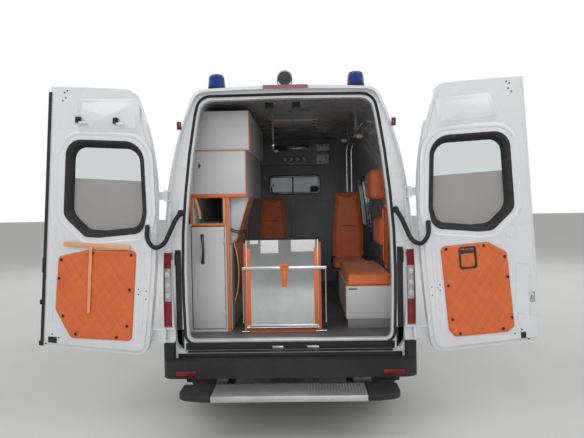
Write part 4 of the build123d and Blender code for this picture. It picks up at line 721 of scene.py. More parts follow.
for hand, trim in doorTrim.items():
    inner, rim, pane, outer = swing["inner"], swing["rim"], swing["pane"], swing["outer"]

    seal = bmesh.new()
    buildWindowSeal(seal)
    addRing(seal, doorHole, [(0.010, -0.0004), (0.011, -0.003), (0.006, -0.0045), (-0.010, -0.003),
                             (-0.020, 0.0015), (-0.020, 0.0026), (0.010, 0.0026)], outer)
    finishDoorPiece("doorWindowSeal", seal, "blackRubber", hand)

    film = bmesh.new()
    addSlab(film, clipBelow(growOutline(sightEdge, 0.004), 1.885), pane + 0.0006, pane + 0.0012, "y")
    finishDoorPiece("frostedFilm", film, "frostedFilm", hand)

    board = bmesh.new()
    panelShape = outlinePoints(trim["panel"], 0.035, 5)
    buildQuilt(board, panelShape, inner + 0.0004)
    finishDoorPiece("quiltedBoard", board, "orangeQuilt", hand, sharp=60, slot="orange_cloth")

    screws = bmesh.new()
    for x, z in trim["screws"]:
        buildScrew(screws, x, z, inner + quilt["thick"] + 0.0002)
    finishDoorPiece("boardScrews", screws, "blackPlastic", hand)

    plate = bmesh.new()
    plateShape = outlinePoints(trim["plate"], 0.022, 5)
    addSlab(plate, plateShape, inner + 0.0003, inner + 0.0030, "y", 0.0015)
    addRing(plate, plateShape, [(0.006, 0.0003), (0.006, 0.0016), (0.0005, 0.0016), (0.0005, 0.0003)], inner)
    raised = outlinePoints(growOutline(trim["plate"], -0.04), 0.012, 4)
    addSlab(plate, raised, inner + 0.0030, inner + 0.0044, "y", 0.0010)
    finishDoorPiece("accessPlate", plate, "bodyWhite", hand)

    # pressed features of the inner sheet: recess lip, swages, corner marks
    swage = bmesh.new()
    addRing(swage, doorHole, [(0.040, 0.0004), (0.044, 0.0036), (0.058, 0.0042), (0.074, 0.0004)], inner)
    shapes = [([(0.055, 1.10), (0.075, 1.10), (0.082, 0.80), (0.060, 0.80)], 0.009),
              ([(0.775, 1.36), (0.795, 1.36), (0.800, 0.76), (0.782, 0.76)], 0.009)]
    if hand == "right":
        shapes += [([(0.150, 1.47), (0.215, 1.49), (0.225, 1.40), (0.165, 1.385)], 0.008),
                   ([(0.060, 1.17), (0.165, 1.20), (0.190, 0.83), (0.080, 0.80)], 0.03)]
    else:
        shapes += [([(0.095, 1.52), (0.165, 1.47), (0.150, 1.38), (0.090, 1.40)], 0.008)]
    for corners, radius in shapes:
        addRing(swage, outlinePoints(corners, radius, 5), [(0.0, 0.0004), (0.0008, 0.0024), (0.0052, 0.0024),
                                                           (0.006, 0.0004)], inner)
    finishDoorPiece("innerPressing", swage, "bodyWhite", hand)

    # latch gear along the free edge
    gear = bmesh.new()
    low = 0.602 if hand == "right" else 0.606
    latchX = (0.130, 0.169) if hand == "right" else (0.058, 0.128)
    addBox(gear, latchX, (inner + 0.0004, inner + 0.0034), (low + 0.03, low + 0.075), 0.0012)
    addLathe(gear, [(0.013, inner + 0.0032), (0.013, inner + 0.0038), (0.009, inner + 0.0040),
                    (0.004, inner + 0.0040),
                    (0.004, inner + 0.0035), (0, inner + 0.0035)], (sum(latchX) / 2, 0, low + 0.05), "y", 20)
    for dx, dz in ((-0.02, 0.02), (0.03, 0.095), (0.085, 0.072)):
        buildScrew(gear, latchX[0] + dx, low + dz, inner - 0.0002, 0.006)
    for x, z in ((0.108, 2.455), (0.131, 2.478), (0.120, 2.515), (0.142, 2.530)):
        addLathe(gear, [(0.0065, inner + 0.0003), (0.0065, inner + 0.0011), (0, inner + 0.0011)], (x, 0, z),
                 "y", 14)
    for x, z in ((0.760, 1.09), (0.775, 1.07), (0.762, 1.05), (0.822, 1.02), (0.822, 1.08)):
        addLathe(gear, [(0.005, inner + 0.0003), (0.005, inner + 0.0011), (0, inner + 0.0011)], (x, 0, z), "y",
                 14)
    finishDoorPiece("latchGear", gear, "blackPlastic", hand)

    # handles, clips and bars that only one door has
    if hand == "right":
        pocket = bmesh.new()
        face = inner + quilt["thick"]
        pocketShape = outlinePoints(boxOutline(0.475, 0.606, 1.190, 1.352), 0.018, 6)
        addRing(pocket, pocketShape, [(0.0, inner + 0.001), (0.001, face + 0.004), (-0.004, face + 0.006),
                                      (-0.012, face + 0.005), (-0.017, face - 0.004), (-0.020, inner + 0.001)])
        addSlab(pocket, growOutline(pocketShape, -0.014), inner + 0.0008, inner + 0.003, "y")
        addBox(pocket, (0.492, 0.589), (face - 0.009, face + 0.002), (1.300, 1.333), 0.006)
        finishDoorPiece("pullPocket", pocket, "glossBlack", hand)
        striker = bmesh.new()
        addBoxes(striker, [(0.040, 0.079, 0.0004, 0.0036, 0.895, 0.975, 0.004),
                           (0.050, 0.068, 0.003, 0.011, 0.918, 0.952, 0.003)], inner)
        finishDoorPiece("strikerPlate", striker, "brightSteel", hand)
        handle = bmesh.new()
        addBoxes(handle, [(0.035, 0.150, -0.006, -0.0003, 1.215, 1.345, 0.012),
                          (0.045, 0.090, -0.042, -0.028, 1.225, 1.335, 0.007),
                          (0.048, 0.087, -0.034, -0.004, 1.310, 1.333, 0.005),
                          (0.048, 0.087, -0.034, -0.004, 1.227, 1.250, 0.005)], outer)
        addLathe(handle, [(0.011, outer - 0.006), (0.011, outer - 0.010), (0.007, outer - 0.011),
                          (0, outer - 0.011)], (0.122, 0, 1.28), "y", 20)
        finishDoorPiece("outerHandle", handle, "blackPlastic", hand)
    else:
        bar = bmesh.new()
        face = inner + 0.016
        addBoxes(bar, [(0.167, 0.694, 0.0, 0.014, 1.377, 1.409),
                       (0.376, 0.399, 0.002, 0.015, 0.890, 1.384)], face, edge=0.005)
        for x in (0.185, 0.676):
            addBox(bar, (x - 0.012, x + 0.012), (inner + 0.0004, face + 0.003), (1.381, 1.405), 0.003)
        finishDoorPiece("braceBar", bar, "peachEnamel", hand)
        clips = bmesh.new()
        for x in trim["clips"]:
            addBoxes(clips, [(x - 0.030, x + 0.006, 0.003, 0.030, 2.292, 2.338, 0.005),
                             (x - 0.012, x + 0.002, 0.026, 0.040, 2.300, 2.330, 0.004)], inner)
        finishDoorPiece("plateClips", clips, "blackPlastic", hand)
        levers = bmesh.new()
        for x in trim["clips"]:
            addBox(levers, (x - 0.004, x + 0.052), (inner + 0.022, inner + 0.032), (2.286, 2.303), 0.004)
        finishDoorPiece("clipLevers", levers, "bodyWhite", hand)
        strip = bmesh.new()
        addBox(strip, (-0.011, 0.012), (rim + 0.0004, rim + 0.010), (0.640, 2.520), 0.003)
        finishDoorPiece("edgeRubber", strip, "blackRubber", hand)
        knobs = bmesh.new()
        for z, x in ((0.936, -0.022), (0.622, -0.018)):
            addBox(knobs, (x - 0.004, 0.012), (rim + 0.0004, rim + 0.0125), (z - 0.018, z + 0.018), 0.004)
        addBox(knobs, (-0.016, 0.012), (rim + 0.0004, rim + 0.0120), (1.16, 1.27), 0.004)
        finishDoorPiece("edgeStops", knobs, "blackPlastic", hand)

    # number plate board and swages of the outer sheet
    sheet = bmesh.new()
    for corners, radius in ((boxOutline(0.10, 0.80, 1.34, 0.72), 0.05),
                            ([(0.14, 2.46), (0.66, 2.46), (0.70, 2.26), (0.14, 2.26)], 0.05)):
        addRing(sheet, outlinePoints(corners, radius, 6), [(0.0, -0.0003), (0.003, -0.0035), (0.011, -0.0035),
                                                           (0.014, -0.0003)], outer)
    if hand == "left":
        addSlab(sheet, outlinePoints(boxOutline(0.10, 0.62, 1.06, 0.95), 0.012, 5),
                outer - 0.010, outer - 0.0003, "y", 0.003)
    finishDoorPiece("outerPressing", sheet, "bodyWhite", hand)
print("rear doors dressed")


# Rear frame: seal, sill, lamps, markers

rebate, rearFace, bumperFace = -2.643, -2.716, -2.821


def bothSides(points):
    # right half of an outline, given from the bottom up, closed with its mirror image
    return points + [(-x, z) for x, z in reversed(points) if x > 0.001]


doorway = bothSides(outlinePoints(
    [(0.0, 0.670), (0.777, 0.670), (0.786, 0.95), (0.788, 1.2), (0.780, 1.5), (0.754, 1.8), (0.718, 2.1),
     (0.672, 2.38), (0.640, 2.511), (0.0, 2.517)],
    [0, 0.05, 0.1, 0.1, 0.2, 0.3, 0.3, 0.15, 0.1, 0], 7))

seal = bmesh.new()
addRing(seal, doorway, [(0.034, -0.0003), (0.034, -0.0018), (0.029, -0.0030), (0.020, -0.0032),
                        (0.013, -0.0024), (0.012, -0.0003)], rebate)
makePiece("doorwaySeal", seal, "blackRubber", sharp=50)
flange = bmesh.new()
addRing(flange, doorway, [(0.0115, -0.0002), (0.0115, -0.0012), (0.002, -0.0014), (-0.0045, 0.002),
                          (-0.006, 0.046), (-0.0006, 0.046), (-0.0006, -0.0002)], rebate)
makePiece("doorwayFlange", flange, "boardWhite", sharp=50)

strips = bmesh.new()
for lowX, highX, lowZ, highZ in ((0.823, 0.868, 0.640, 1.370), (0.812, 0.872, 0.600, 0.760)):
    addBox(strips, (lowX, highX), (rebate - 0.0065, rebate - 0.0003), (lowZ, highZ), 0.004)
addBox(strips, (0.835, 0.874), (rebate - 0.0068, rebate - 0.0003), (1.250, 1.345), 0.004)
addMirrored(strips)
makePiece("lampEdgeRubber", strips, "blackRubber")

sill = bmesh.new()
addBox(sill, (-0.800, 0.800), (rebate - 0.0025, rebate - 0.0003), (0.598, 0.654), 0.001)
addBox(sill, (-0.845, 0.845), (rearFace - 0.0025, rearFace - 0.0003), (0.5565, 0.5915), 0.001)
addBox(sill, (-0.780, 0.780), (rearFace + 0.001, rebate - 0.001), (0.5934, 0.5955), 0.001)
for row in range(5):
    # tread along the top of the bumper
    y = bumperFace + 0.012 + row * 0.017
    path = [(-0.80 + 1.6 * k / 160, y + 0.0035 * math.sin(k * 0.9 + row), 0.5568) for k in range(161)]
    addTube(sill, path, 0.0028, 6)
makePiece("sillCover", sill, "blackPlastic")

tread = bmesh.new()
addBoxes(tread, [(-0.742, 0.742, -0.0030, -0.0005, 0.6545, 0.6745),
                 (-0.742, 0.742, -0.001, 0.050, 0.6712, 0.6742)], rebate, edge=0.001)
for k in range(98):
    for row in range(3):
        x, y = -0.735 + k * 0.015 + (row % 2) * 0.0075, rebate + 0.008 + row * 0.016
        turn = math.radians(40 if (k + row) % 2 else -40)
        along = Vector((math.cos(turn), math.sin(turn), 0)) * 0.006
        addTube(tread, [Vector((x, y, 0.6742)) - along, Vector((x, y, 0.6742)) + along], 0.0011, 6)
makePiece("sillTread", tread, "rolledAluminium")

strikers = bmesh.new()
for lowX, highX in ((-0.135, -0.052), (0.129, 0.220)):
    addBox(strikers, (lowX, highX), (rebate - 0.0038, rebate - 0.0024), (0.598, 0.622), 0.0006)
    for x in (lowX + 0.014, highX - 0.014):
        addTube(strikers, [(x, rebate - 0.0032, 0.604), (x, rebate - 0.0042, 0.610),
                           (x, rebate - 0.0032, 0.616)],
                0.0018, 8)
makePiece("doorStrikers", strikers, "brightSteel")

reflectors = bmesh.new()
addBoxes(reflectors, [(0.690, 0.846, 0.0002, 0.004, 0.448, 0.482, 0.003),
                      (0.690, 0.846, -0.0022, 0.001, 0.448, 0.482, 0.004)], bumperFace)
addMirrored(reflectors)
for hand in (-1, 1):
    addBox(reflectors, sorted((hand * 0.790, hand * 0.812)), (rearFace - 0.0060, rearFace - 0.0003),
           (2.285, 2.330), 0.006)
makePiece("redReflectors", reflectors, "lampRed")

mounts = bmesh.new()
addBox(mounts, (0.683, 0.853), (bumperFace - 0.0016, bumperFace + 0.001), (0.441, 0.489), 0.006)
addMirrored(mounts)
for hand in (-1, 1):
    addBox(mounts, sorted((hand * 0.785, hand * 0.817)), (rearFace - 0.0030, rearFace - 0.0003),
           (2.278, 2.337), 0.006)
makePiece("reflectorMounts", mounts, "blackPlastic")

# tail lamp ribs, chambers and rims on the lens
lampDetail = bmesh.new()
for z in (0.870, 0.962, 1.248):
    addBox(lampDetail, (0.8865, 0.944), (rearFace - 0.0016, rearFace + 0.002), (z - 0.002, z + 0.002), 0.0008)
addBox(lampDetail, (0.8855, 0.889), (rearFace - 0.0016, rearFace + 0.002), (0.796, 1.353), 0.0008)
addMirrored(lampDetail)
makePiece("tailLampRibs", lampDetail, "lampRed")
bulbs = bmesh.new()
for z in (1.03, 1.11, 1.19):
    addLathe(bulbs, [(0.0, -0.0012), (0.015, -0.0008), (0.018, 0.0), (0.018, 0.002), (0, 0.002)],
             (0.917, rearFace - 0.0004, z), "y", 20)
addMirrored(bulbs)
makePiece("reversingLamps", bulbs, "lampClear")

# Roof beacons and work lamp

beaconPlace = (0.542, -2.500)
domes = bmesh.new()
bases = bmesh.new()
for hand in (-1, 1):
    centre = (hand * beaconPlace[0], beaconPlace[1], 0)
    profile = [(0.050, 2.628)]
    for k in range(12):
        z = 2.630 + k * 0.0062
        profile += [(0.0660 - k * 0.0006, z), (0.0680 - k * 0.0006, z + 0.0022),
                    (0.0660 - k * 0.0006, z + 0.0050)]
    profile += [(0.058, 2.715), (0.046, 2.7245), (0.024, 2.7300), (0.0, 2.7320)]
    addLathe(domes, profile, centre, "z", 40)
    addLathe(bases, [(0.0, 2.560), (0.058, 2.560), (0.066, 2.594), (0.070, 2.604), (0.070, 2.624),
                     (0.064, 2.632),
                     (0.050, 2.633), (0.0, 2.633)], centre, "z", 40)
    addLathe(bases, [(0.0, 2.633), (0.018, 2.633), (0.018, 2.655), (0.026, 2.660), (0.026, 2.690),
                     (0.020, 2.700),
                     (0.0, 2.702)], centre, "z", 20)
makePiece("beaconDomes", domes, "beaconBlue", replaces=["roof_lamps"], slot="beacon_lens")
makePiece("beaconBases", bases, "blackPlastic", replaces=["roof_lamps"])

wx, wy, wz = -0.022, -2.105, 2.775
shell = bmesh.new()
addLathe(shell, [(0.0, -0.018), (0.020, -0.018), (0.045, -0.010), (0.058, 0.008), (0.0615, 0.024),
                 (0.0615, 0.029),
                 (0.056, 0.0295), (0.056, 0.022), (0.0, 0.020)], (wx, wy, wz), "y", 40)
for radius in (0.014, 0.026, 0.038, 0.050, 0.0605):
    ring = [(wx + radius * math.cos(a), wy - 0.027 + 0.012 * (radius / 0.06) ** 2, wz + radius * math.sin(a))
            for a in circleAngles(40)]
    addTube(shell, ring, 0.0014, 6, closed=True)
for k in range(12):
    a = math.pi * k / 12
    path = [(wx + r * math.cos(a), wy - 0.027 + 0.012 * (r / 0.06) ** 2, wz + r * math.sin(a))
            for r in (-0.0605, -0.04, -0.02, 0, 0.02, 0.04, 0.0605)]
    addTube(shell, path, 0.0012, 6)
addTube(shell, [(wx - 0.0615, wy + 0.012, wz), (wx - 0.060, wy + 0.01, wz - 0.045),
                (wx - 0.03, wy + 0.008, wz - 0.072),
                (wx, wy + 0.008, wz - 0.076), (wx + 0.03, wy + 0.008, wz - 0.072),
                (wx + 0.060, wy + 0.01, wz - 0.045),
                (wx + 0.0615, wy + 0.012, wz)], 0.004, 8)
addTube(shell, [(wx, wy + 0.008, wz - 0.074), (wx, wy + 0.008, wz - 0.17), (wx, wy + 0.008, wz - 0.205)],
        0.007, 12)
addLathe(shell, [(0.0, 2.560), (0.028, 2.560), (0.028, 2.574), (0.012, 2.582), (0.0, 2.582)],
         (wx, wy + 0.008, 0), "z", 24)
makePiece("workLampShell", shell, "dashGrey", replaces=["roof_lamps"])
lens = bmesh.new()
addLathe(lens, [(0.0, 0.0285), (0.030, 0.0280), (0.0555, 0.0255), (0.0555, 0.021), (0.0, 0.021)], (wx, wy, wz),
         "y", 40)
makePiece("workLampLens", lens, "lampClear", replaces=["roof_lamps"])

# Rear step: chequer plate between black ends

step = {"plateX": 0.545, "endX": 0.783, "rear": -3.1109, "front": -2.823, "top": 0.388, "low": 0.344}
ends = bmesh.new()
endShape = outlinePoints([(step["plateX"] + 0.001, step["front"]), (step["endX"], step["front"]),
                          (step["endX"], step["rear"] + 0.05), (step["plateX"] + 0.07, step["rear"]),
                          (step["plateX"] + 0.001, step["rear"])], [0.004, 0.025, 0.09, 0.09, 0.004], 7)
addSlab(ends, endShape, step["low"], step["top"], "z", 0.008, 3)
for k in range(9):
    y = step["rear"] + 0.045 + k * 0.026
    addBox(ends, (step["plateX"] + 0.02, step["endX"] - 0.035), (y - 0.004, y + 0.004),
           (step["top"] - 0.001, step["top"] + 0.0006), 0.0008)
addBoxes(ends, [(0.425, 0.425 + 0.05, -2.860, -2.502, 0.345, 0.379, 0.004),
                (0.425, 0.425 + 0.05, -2.559, -2.502, 0.369, 0.4985, 0.004)])
addMirrored(ends)
makePiece("stepEnds", ends, "blackPlastic", replaces=["rear_step"])
plate = bmesh.new()
addBox(plate, (-step["plateX"], step["plateX"]), (step["rear"], step["front"]),
       (step["top"] - 0.0035, step["top"] - 0.0012), 0.001)
addBox(plate, (-step["plateX"], step["plateX"]), (step["rear"], step["rear"] + 0.003),
       (step["low"], step["top"] - 0.0012), 0.001)
addBox(plate, (-step["plateX"], step["plateX"]), (step["front"] - 0.003, step["front"]),
       (step["low"], step["top"] - 0.0012), 0.001)
for i in range(52):
    for j in range(14):
        x, y = -0.535 + i * 0.021, step["rear"] + 0.010 + j * 0.0205
        turn = math.radians(45 if (i + j) % 2 else -45)
        along = Vector((math.cos(turn), math.sin(turn), 0)) * 0.0085
        here = Vector((x, y, step["top"] - 0.0014))
        addTube(plate, [here - along, here - along * 0.5, here + along * 0.5, here + along], 0.0018, 6,
                radii=[0.0004, 0.0018, 0.0018, 0.0004])
for j in range(2):
    for i in range(52):
        x = -0.535 + i * 0.021
        turn = math.radians(45 if (i + j) % 2 else -45)
        along = Vector((math.cos(turn), 0, math.sin(turn))) * 0.0075
        here = Vector((x, step["rear"] + 0.0012, 0.356 + j * 0.019))
        addTube(plate, [here - along, here + along], 0.0011, 5)
makePiece("stepPlate", plate, "rolledAluminium", replaces=["rear_step"], slot="step_sheet")

# Wiring hoses between body and doors

hoseRoute = [(0.818, -2.6431, 1.652), (0.838, -2.735, 1.610), (0.900, -2.850, 1.430), (0.962, -2.900, 1.398),
             (1.012, -2.918, 1.470), (1.022, -2.850, 1.565)]
hose = {"radius": 0.0175, "groove": 0.0030, "pitch": 0.0085, "sides": 18}


def buildHose(bm):
    path = roundPath(hoseRoute, 0.08, 10)
    lengths = [0.0]
    for a, b in zip(path, path[1:]):
        lengths.append(lengths[-1] + (b - a).length)
    total = lengths[-1]
    count = int(total / hose["pitch"]) * 4
    points, radii = [], []
    k = 0
    for n in range(count + 1):
        reach = total * n / count
        while k < len(path) - 2 and lengths[k + 1] < reach:
            k += 1
        t = (reach - lengths[k]) / (lengths[k + 1] - lengths[k])
        points.append(path[k].lerp(path[k + 1], min(1, max(0, t))))
        plain = reach < 0.02 or reach > total - 0.02
        radii.append(hose["radius"] if plain or n % 4 in (0, 1) else hose["radius"] - hose["groove"])
    addTube(bm, points, hose["radius"], hose["sides"], radii=radii)


for hand in ("right", "left"):
    tube = bmesh.new()
    buildHose(tube)
    side = 1
    if hand == "left":
        mirrorMesh(tube)
        side = -1
    piece = makePiece(f"doorHose{hand.capitalize()}", tube, "blackRubber", rides=None, replaces=["door_hoses"],
                      slot="hose_rubber", sharp=60)
    ends = [(side * x, y, z) for x, y, z in (hoseRoute[0], hoseRoute[-1])]
    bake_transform(piece)
cuffs = bmesh.new()
addLathe(cuffs, [(0.0, 0.0), (0.026, 0.0), (0.026, 0.0018), (0.021, 0.0028), (0.0185, 0.0030), (0.0, 0.0030)],
         (0, 0, 0), "z", 24)
aim = Matrix.Rotation(math.radians(90), 4, "X")
bmesh.ops.transform(cuffs, matrix=Matrix.Translation((hoseRoute[0][0], rebate - 0.0003, hoseRoute[0][2])) @ aim,
                    verts=cuffs.verts[:])
addMirrored(cuffs)
makePiece("hoseCuffs", cuffs, "blackRubber")
print("rear frame dressed")


# Cabinets, locker and shelf on the left

cabinetFace = -2.325
fronts = bmesh.new()
addBox(fronts, (-0.772, -0.349), (cabinetFace - 0.0035, cabinetFace + 0.001), (1.812, 2.146), 0.003)
addSlab(fronts, outlinePoints([(-0.742, 2.162), (-0.317, 2.162), (-0.317, 2.464), (-0.655, 2.464),
                               (-0.700, 2.330)],
                              [0.004, 0.004, 0.004, 0.02, 0.05], 5), cabinetFace - 0.0035, cabinetFace + 0.001,
        "y", 0.002)
makePiece("cabinetFronts", fronts, "boardWhite")
edging = bmesh.new()
addBoxes(edging, [(-0.775, -0.3440, -0.0044, 0.001, 2.1475, 2.1575, 0.0012),
                  (-0.3485, -0.3435, -0.0030, 0.002, 1.803, 2.149, 0.0012),
                  (-0.3165, -0.3110, -0.0030, 0.002, 2.158, 2.466, 0.0012),
                  (-0.795, -0.3440, -0.0060, 0.001, 1.7695, 1.8005, 0.003),
                  (-0.5150, -0.4895, -0.0050, 0.001, 0.672, 1.769, 0.003),
                  (-0.795, -0.5150, -0.0030, 0.0005, 1.5395, 1.5560, 0.002)], cabinetFace)
makePiece("boardEdging", edging, "orangeLaminate", slot="orange_trim")
lock = bmesh.new()
addLathe(lock, [(0.0, -0.007), (0.007, -0.007), (0.011, -0.005), (0.012, 0.0), (0.0, 0.0)],
         (-0.722, cabinetFace - 0.0035, 2.031), "y", 20)
addBox(lock, (-0.726, -0.718), (cabinetFace - 0.013, cabinetFace - 0.004), (2.008, 2.050), 0.002)
makePiece("cabinetLock", lock, "glossBlack")
post = bmesh.new()
addTube(post, [(-0.769, cabinetFace + 0.02, 1.768), (-0.752, cabinetFace + 0.02, 1.715),
               (-0.738, cabinetFace + 0.03, 1.66),
               (-0.735, cabinetFace + 0.05, 1.60)], 0.012, 14)
addBox(post, (-0.540, -0.5165), (cabinetFace + 0.004, cabinetFace + 0.03), (1.558, 1.769), 0.004)
makePiece("recessPosts", post, "peachEnamel")
liner = bmesh.new()
addBoxes(liner, [(-0.7825, -0.7800, -2.318, -0.725, 1.559, 1.768),
                 (-0.7800, -0.5105, -0.7240, -0.7215, 1.559, 1.768),
                 (-0.5120, -0.5098, -2.318, -0.725, 1.559, 1.768)], edge=0.001)
makePiece("recessLiner", liner, "boardWhite")

locker = bmesh.new()
addBox(locker, (-0.800, -0.533), (-2.3252, -2.3070), (0.695, 1.532), 0.003)
for z in (0.80, 1.40):
    addLathe(locker, boxOutline(0.0, 0.0078, 0.0, 0.040), (-0.522, -2.335, z), "z", 18)
    addBox(locker, (-0.556, -0.524), (-2.3290, -2.3250), (z + 0.001, z + 0.039), 0.001)
makePiece("lockerBoard", locker, "boardWhite", "locker_flap", replaces=["locker_door"], slot="white_board")
grip = bmesh.new()
gripPath = [(-0.712 + 0.010 * math.sin(math.pi * t), -2.3255 - 0.030 * math.sin(math.pi * t) ** 0.6,
             1.243 + 0.212 * t)
            for t in (k / 24 for k in range(25))]
addTube(grip, gripPath, 0.010, 14, radii=[0.0125 - 0.0025 * math.sin(math.pi * k / 24) for k in range(25)])
for z in (1.240, 1.458):
    addLathe(grip, [(0.0, -0.008), (0.012, -0.007), (0.016, -0.001), (0.016, 0.0), (0.0, 0.0)],
             (-0.712, -2.3252, z), "y", 20)
makePiece("lockerHandle", grip, "glossBlack", "locker_flap", replaces=["locker_door"])

# slanted board with cables, and the arch beside the locker
slant = bmesh.new()
addSlab(slant, [(-0.4885, 1.768), (-0.346, 1.768), (-0.452, 1.420), (-0.4885, 1.378)], -2.205, -2.190, "y",
        0.001)
addBox(slant, (-0.4895, -0.4800), (-2.290, -0.900), (0.673, 1.376), 0.002)
makePiece("slantedBoard", slant, "boardWhite")
arch = bmesh.new()
for points in ([(-0.344, 1.768), (-0.400, 1.590), (-0.450, 1.420), (-0.474, 1.380)],
               [(-0.470, 1.376), (-0.449, 1.300), (-0.438, 1.200), (-0.438, 1.080), (-0.449, 0.980),
                (-0.470, 0.905)]):
    path = roundPath([(x, 0, z) for x, z in points], 0.05, 4)
    addLoft(arch, [[(p.x, -2.207, p.z), (p.x + 0.010, -2.207, p.z), (p.x + 0.010, -1.700, p.z),
                    (p.x, -1.700, p.z)]
                   for p in path])
makePiece("archBoard", arch, "peachEnamel", sharp=50)
cables = bmesh.new()
for k, drop in enumerate((0.0, 0.016)):
    path = [(-0.535 + 0.175 * t, -2.222 - 0.004 * k, 1.549 - drop - 0.052 * t - 0.030 * math.sin(math.pi * t))
            for t in (n / 20 for n in range(21))]
    addTube(cables, path, 0.0042, 10)
addTube(cables, roundPath([(-0.360, -2.222, 1.500), (-0.372, -2.20, 1.440), (-0.392, -2.15, 1.380),
                           (-0.40, -1.95, 1.30)], 0.03, 5), 0.0042, 10)
makePiece("monitorCables", cables, "blackRubber")

# Ramp: fittings on the folding plate and on its posts

rampFace = -2.3995
papers = bmesh.new()
for lowX, highX, lowZ, highZ in ((-0.230, -0.088, 1.314, 1.419), (0.013, 0.206, 1.325, 1.419)):
    addBox(papers, (lowX, highX), (rampFace - 0.0016, rampFace - 0.0002), (lowZ, highZ), 0.0008)
addBox(papers, (-0.316, -0.250), (rampFace - 0.0016, rampFace - 0.0002), (1.390, 1.4195), 0.0008)
makePiece("blankSheets", papers, "paperWhite", "ramp_board")
bars = bmesh.new()
addBoxes(bars, [(-0.385, 0.297, -0.012, -0.0002, 1.182, 1.206, 0.004),
                (-0.329, 0.2255, -0.006, -0.0002, 0.716, 0.737, 0.002)], rampFace)
for x in (-0.377, 0.288):
    addTube(bars, [(x, rampFace - 0.006, 0.760), (x, rampFace - 0.006, 1.186)], 0.0045, 10)
    addLathe(bars, boxOutline(0.0, 0.007, 0.0, 0.012), (x, rampFace - 0.006, 0.755), "z", 14)
for x in (-0.3475, 0.2275):
    addBox(bars, (x - 0.0025, x + 0.0025), (rampFace - 0.003, rampFace - 0.0002), (0.735, 1.420), 0.001)
makePiece("rampBars", bars, "brightSteel", "ramp_board")
rails = bmesh.new()
for x in (-0.330, 0.210):
    addBox(rails, (x - 0.0145, x + 0.0145), (rampFace - 0.005, rampFace - 0.0002), (0.738, 1.352), 0.0018)
makePiece("rampSideRails", rails, "orangeLaminate", "ramp_board")
rim = bmesh.new()
addBox(rim, (-0.350, 0.230), (rampFace - 0.0022, rampFace + 0.019), (1.4195, 1.4265), 0.001)
for x in (-0.28, -0.06, 0.16):
    addLathe(rim, [(0.0, -0.003), (0.005, -0.003), (0.007, -0.001), (0.007, 0.0), (0.0, 0.0)],
             (x, rampFace, 0.7265), "y", 12)
makePiece("rampRim", rim, "blackPlastic", "ramp_board")
latch = bmesh.new()
addBoxes(latch, [(-0.078, -0.006, -0.028, -0.011, 1.176, 1.230),
                 (-0.066, -0.022, -0.022, -0.008, 1.045, 1.180)], rampFace, edge=0.006)
addTube(latch, [(-0.044, rampFace - 0.022, 1.20), (-0.044, rampFace - 0.030, 1.215),
                (-0.02, rampFace - 0.030, 1.218)],
        0.006, 10)
makePiece("rampLatch", latch, "orangeLaminate", "ramp_board")
feet = bmesh.new()
for lowX, highX in ((-0.390, -0.333), (0.204, 0.291)):
    addTube(feet, [(lowX, -2.3860, 0.6805), (highX, -2.3860, 0.6805)], 0.0075, 14)
    addTube(feet, [((lowX + highX) / 2, -2.386, 0.6805), ((lowX + highX) / 2, -2.340, 0.6860)], 0.005, 10)
makePiece("rampFeet", feet, "brightSteel")
sillBar = bmesh.new()
addBox(sillBar, (-0.336, 0.216), (-2.3790, -2.3725), (0.684, 0.7090), 0.003)
makePiece("rampSillBar", sillBar, "orangeLaminate")
topCap = bmesh.new()
addBox(topCap, (-0.3735, 0.2535), (-2.3740, -2.3365), (1.3985, 1.4325), 0.002)
makePiece("rampTopCap", topCap, "blackRubber")

# Bench trim and wall pieces on the right

bench = bmesh.new()
addBox(bench, (0.466, 0.846), (-2.2725, -2.2685), (0.756, 1.020), 0.003)
for x, y, z in ((0.4585, -2.16, 0.955), (0.4585, -2.00, 0.885), (0.4585, -1.40, 0.955)):
    addLathe(bench, [(0.0, -0.003), (0.007, -0.002), (0.008, 0.0), (0.0, 0.0)], (x + 0.0015, y, z), "x", 14)
makePiece("benchFront", bench, "boardWhite")
slot = bmesh.new()
addBoxes(slot, [(0.478, 0.552, -2.2745, -2.2722, 0.990, 1.006, 0.003),
                (0.472, 0.843, -2.2620, -2.2560, floorTop, 0.7480, 0.002)])
# kick strip in the grey liner with its painted shade
makePiece("benchKick", slot, "linerGreyPaintedShade")
lid = bmesh.new()
addBoxes(lid, [(0.4565, 0.850, -2.2735, -2.2690, 1.0195, 1.0250),
               (0.4545, 0.4598, -2.2720, -1.1820, 1.0150, 1.0250)], edge=0.0015)
makePiece("benchLidEdge", lid, "orangeLaminate")
strip = bmesh.new()
addBox(strip, (0.828, 0.852), (-1.935, -1.905), (1.128, 1.690), 0.006)
addTube(strip, roundPath([(0.835, -1.94, 1.66), (0.812, -1.965, 1.64), (0.812, -1.965, 1.20),
                          (0.835, -1.94, 1.17)],
                         0.03, 5), 0.009, 12)
makePiece("wallStrip", strip, "orangeLaminate")

# Bulkhead: sliding window, console with vents, switches

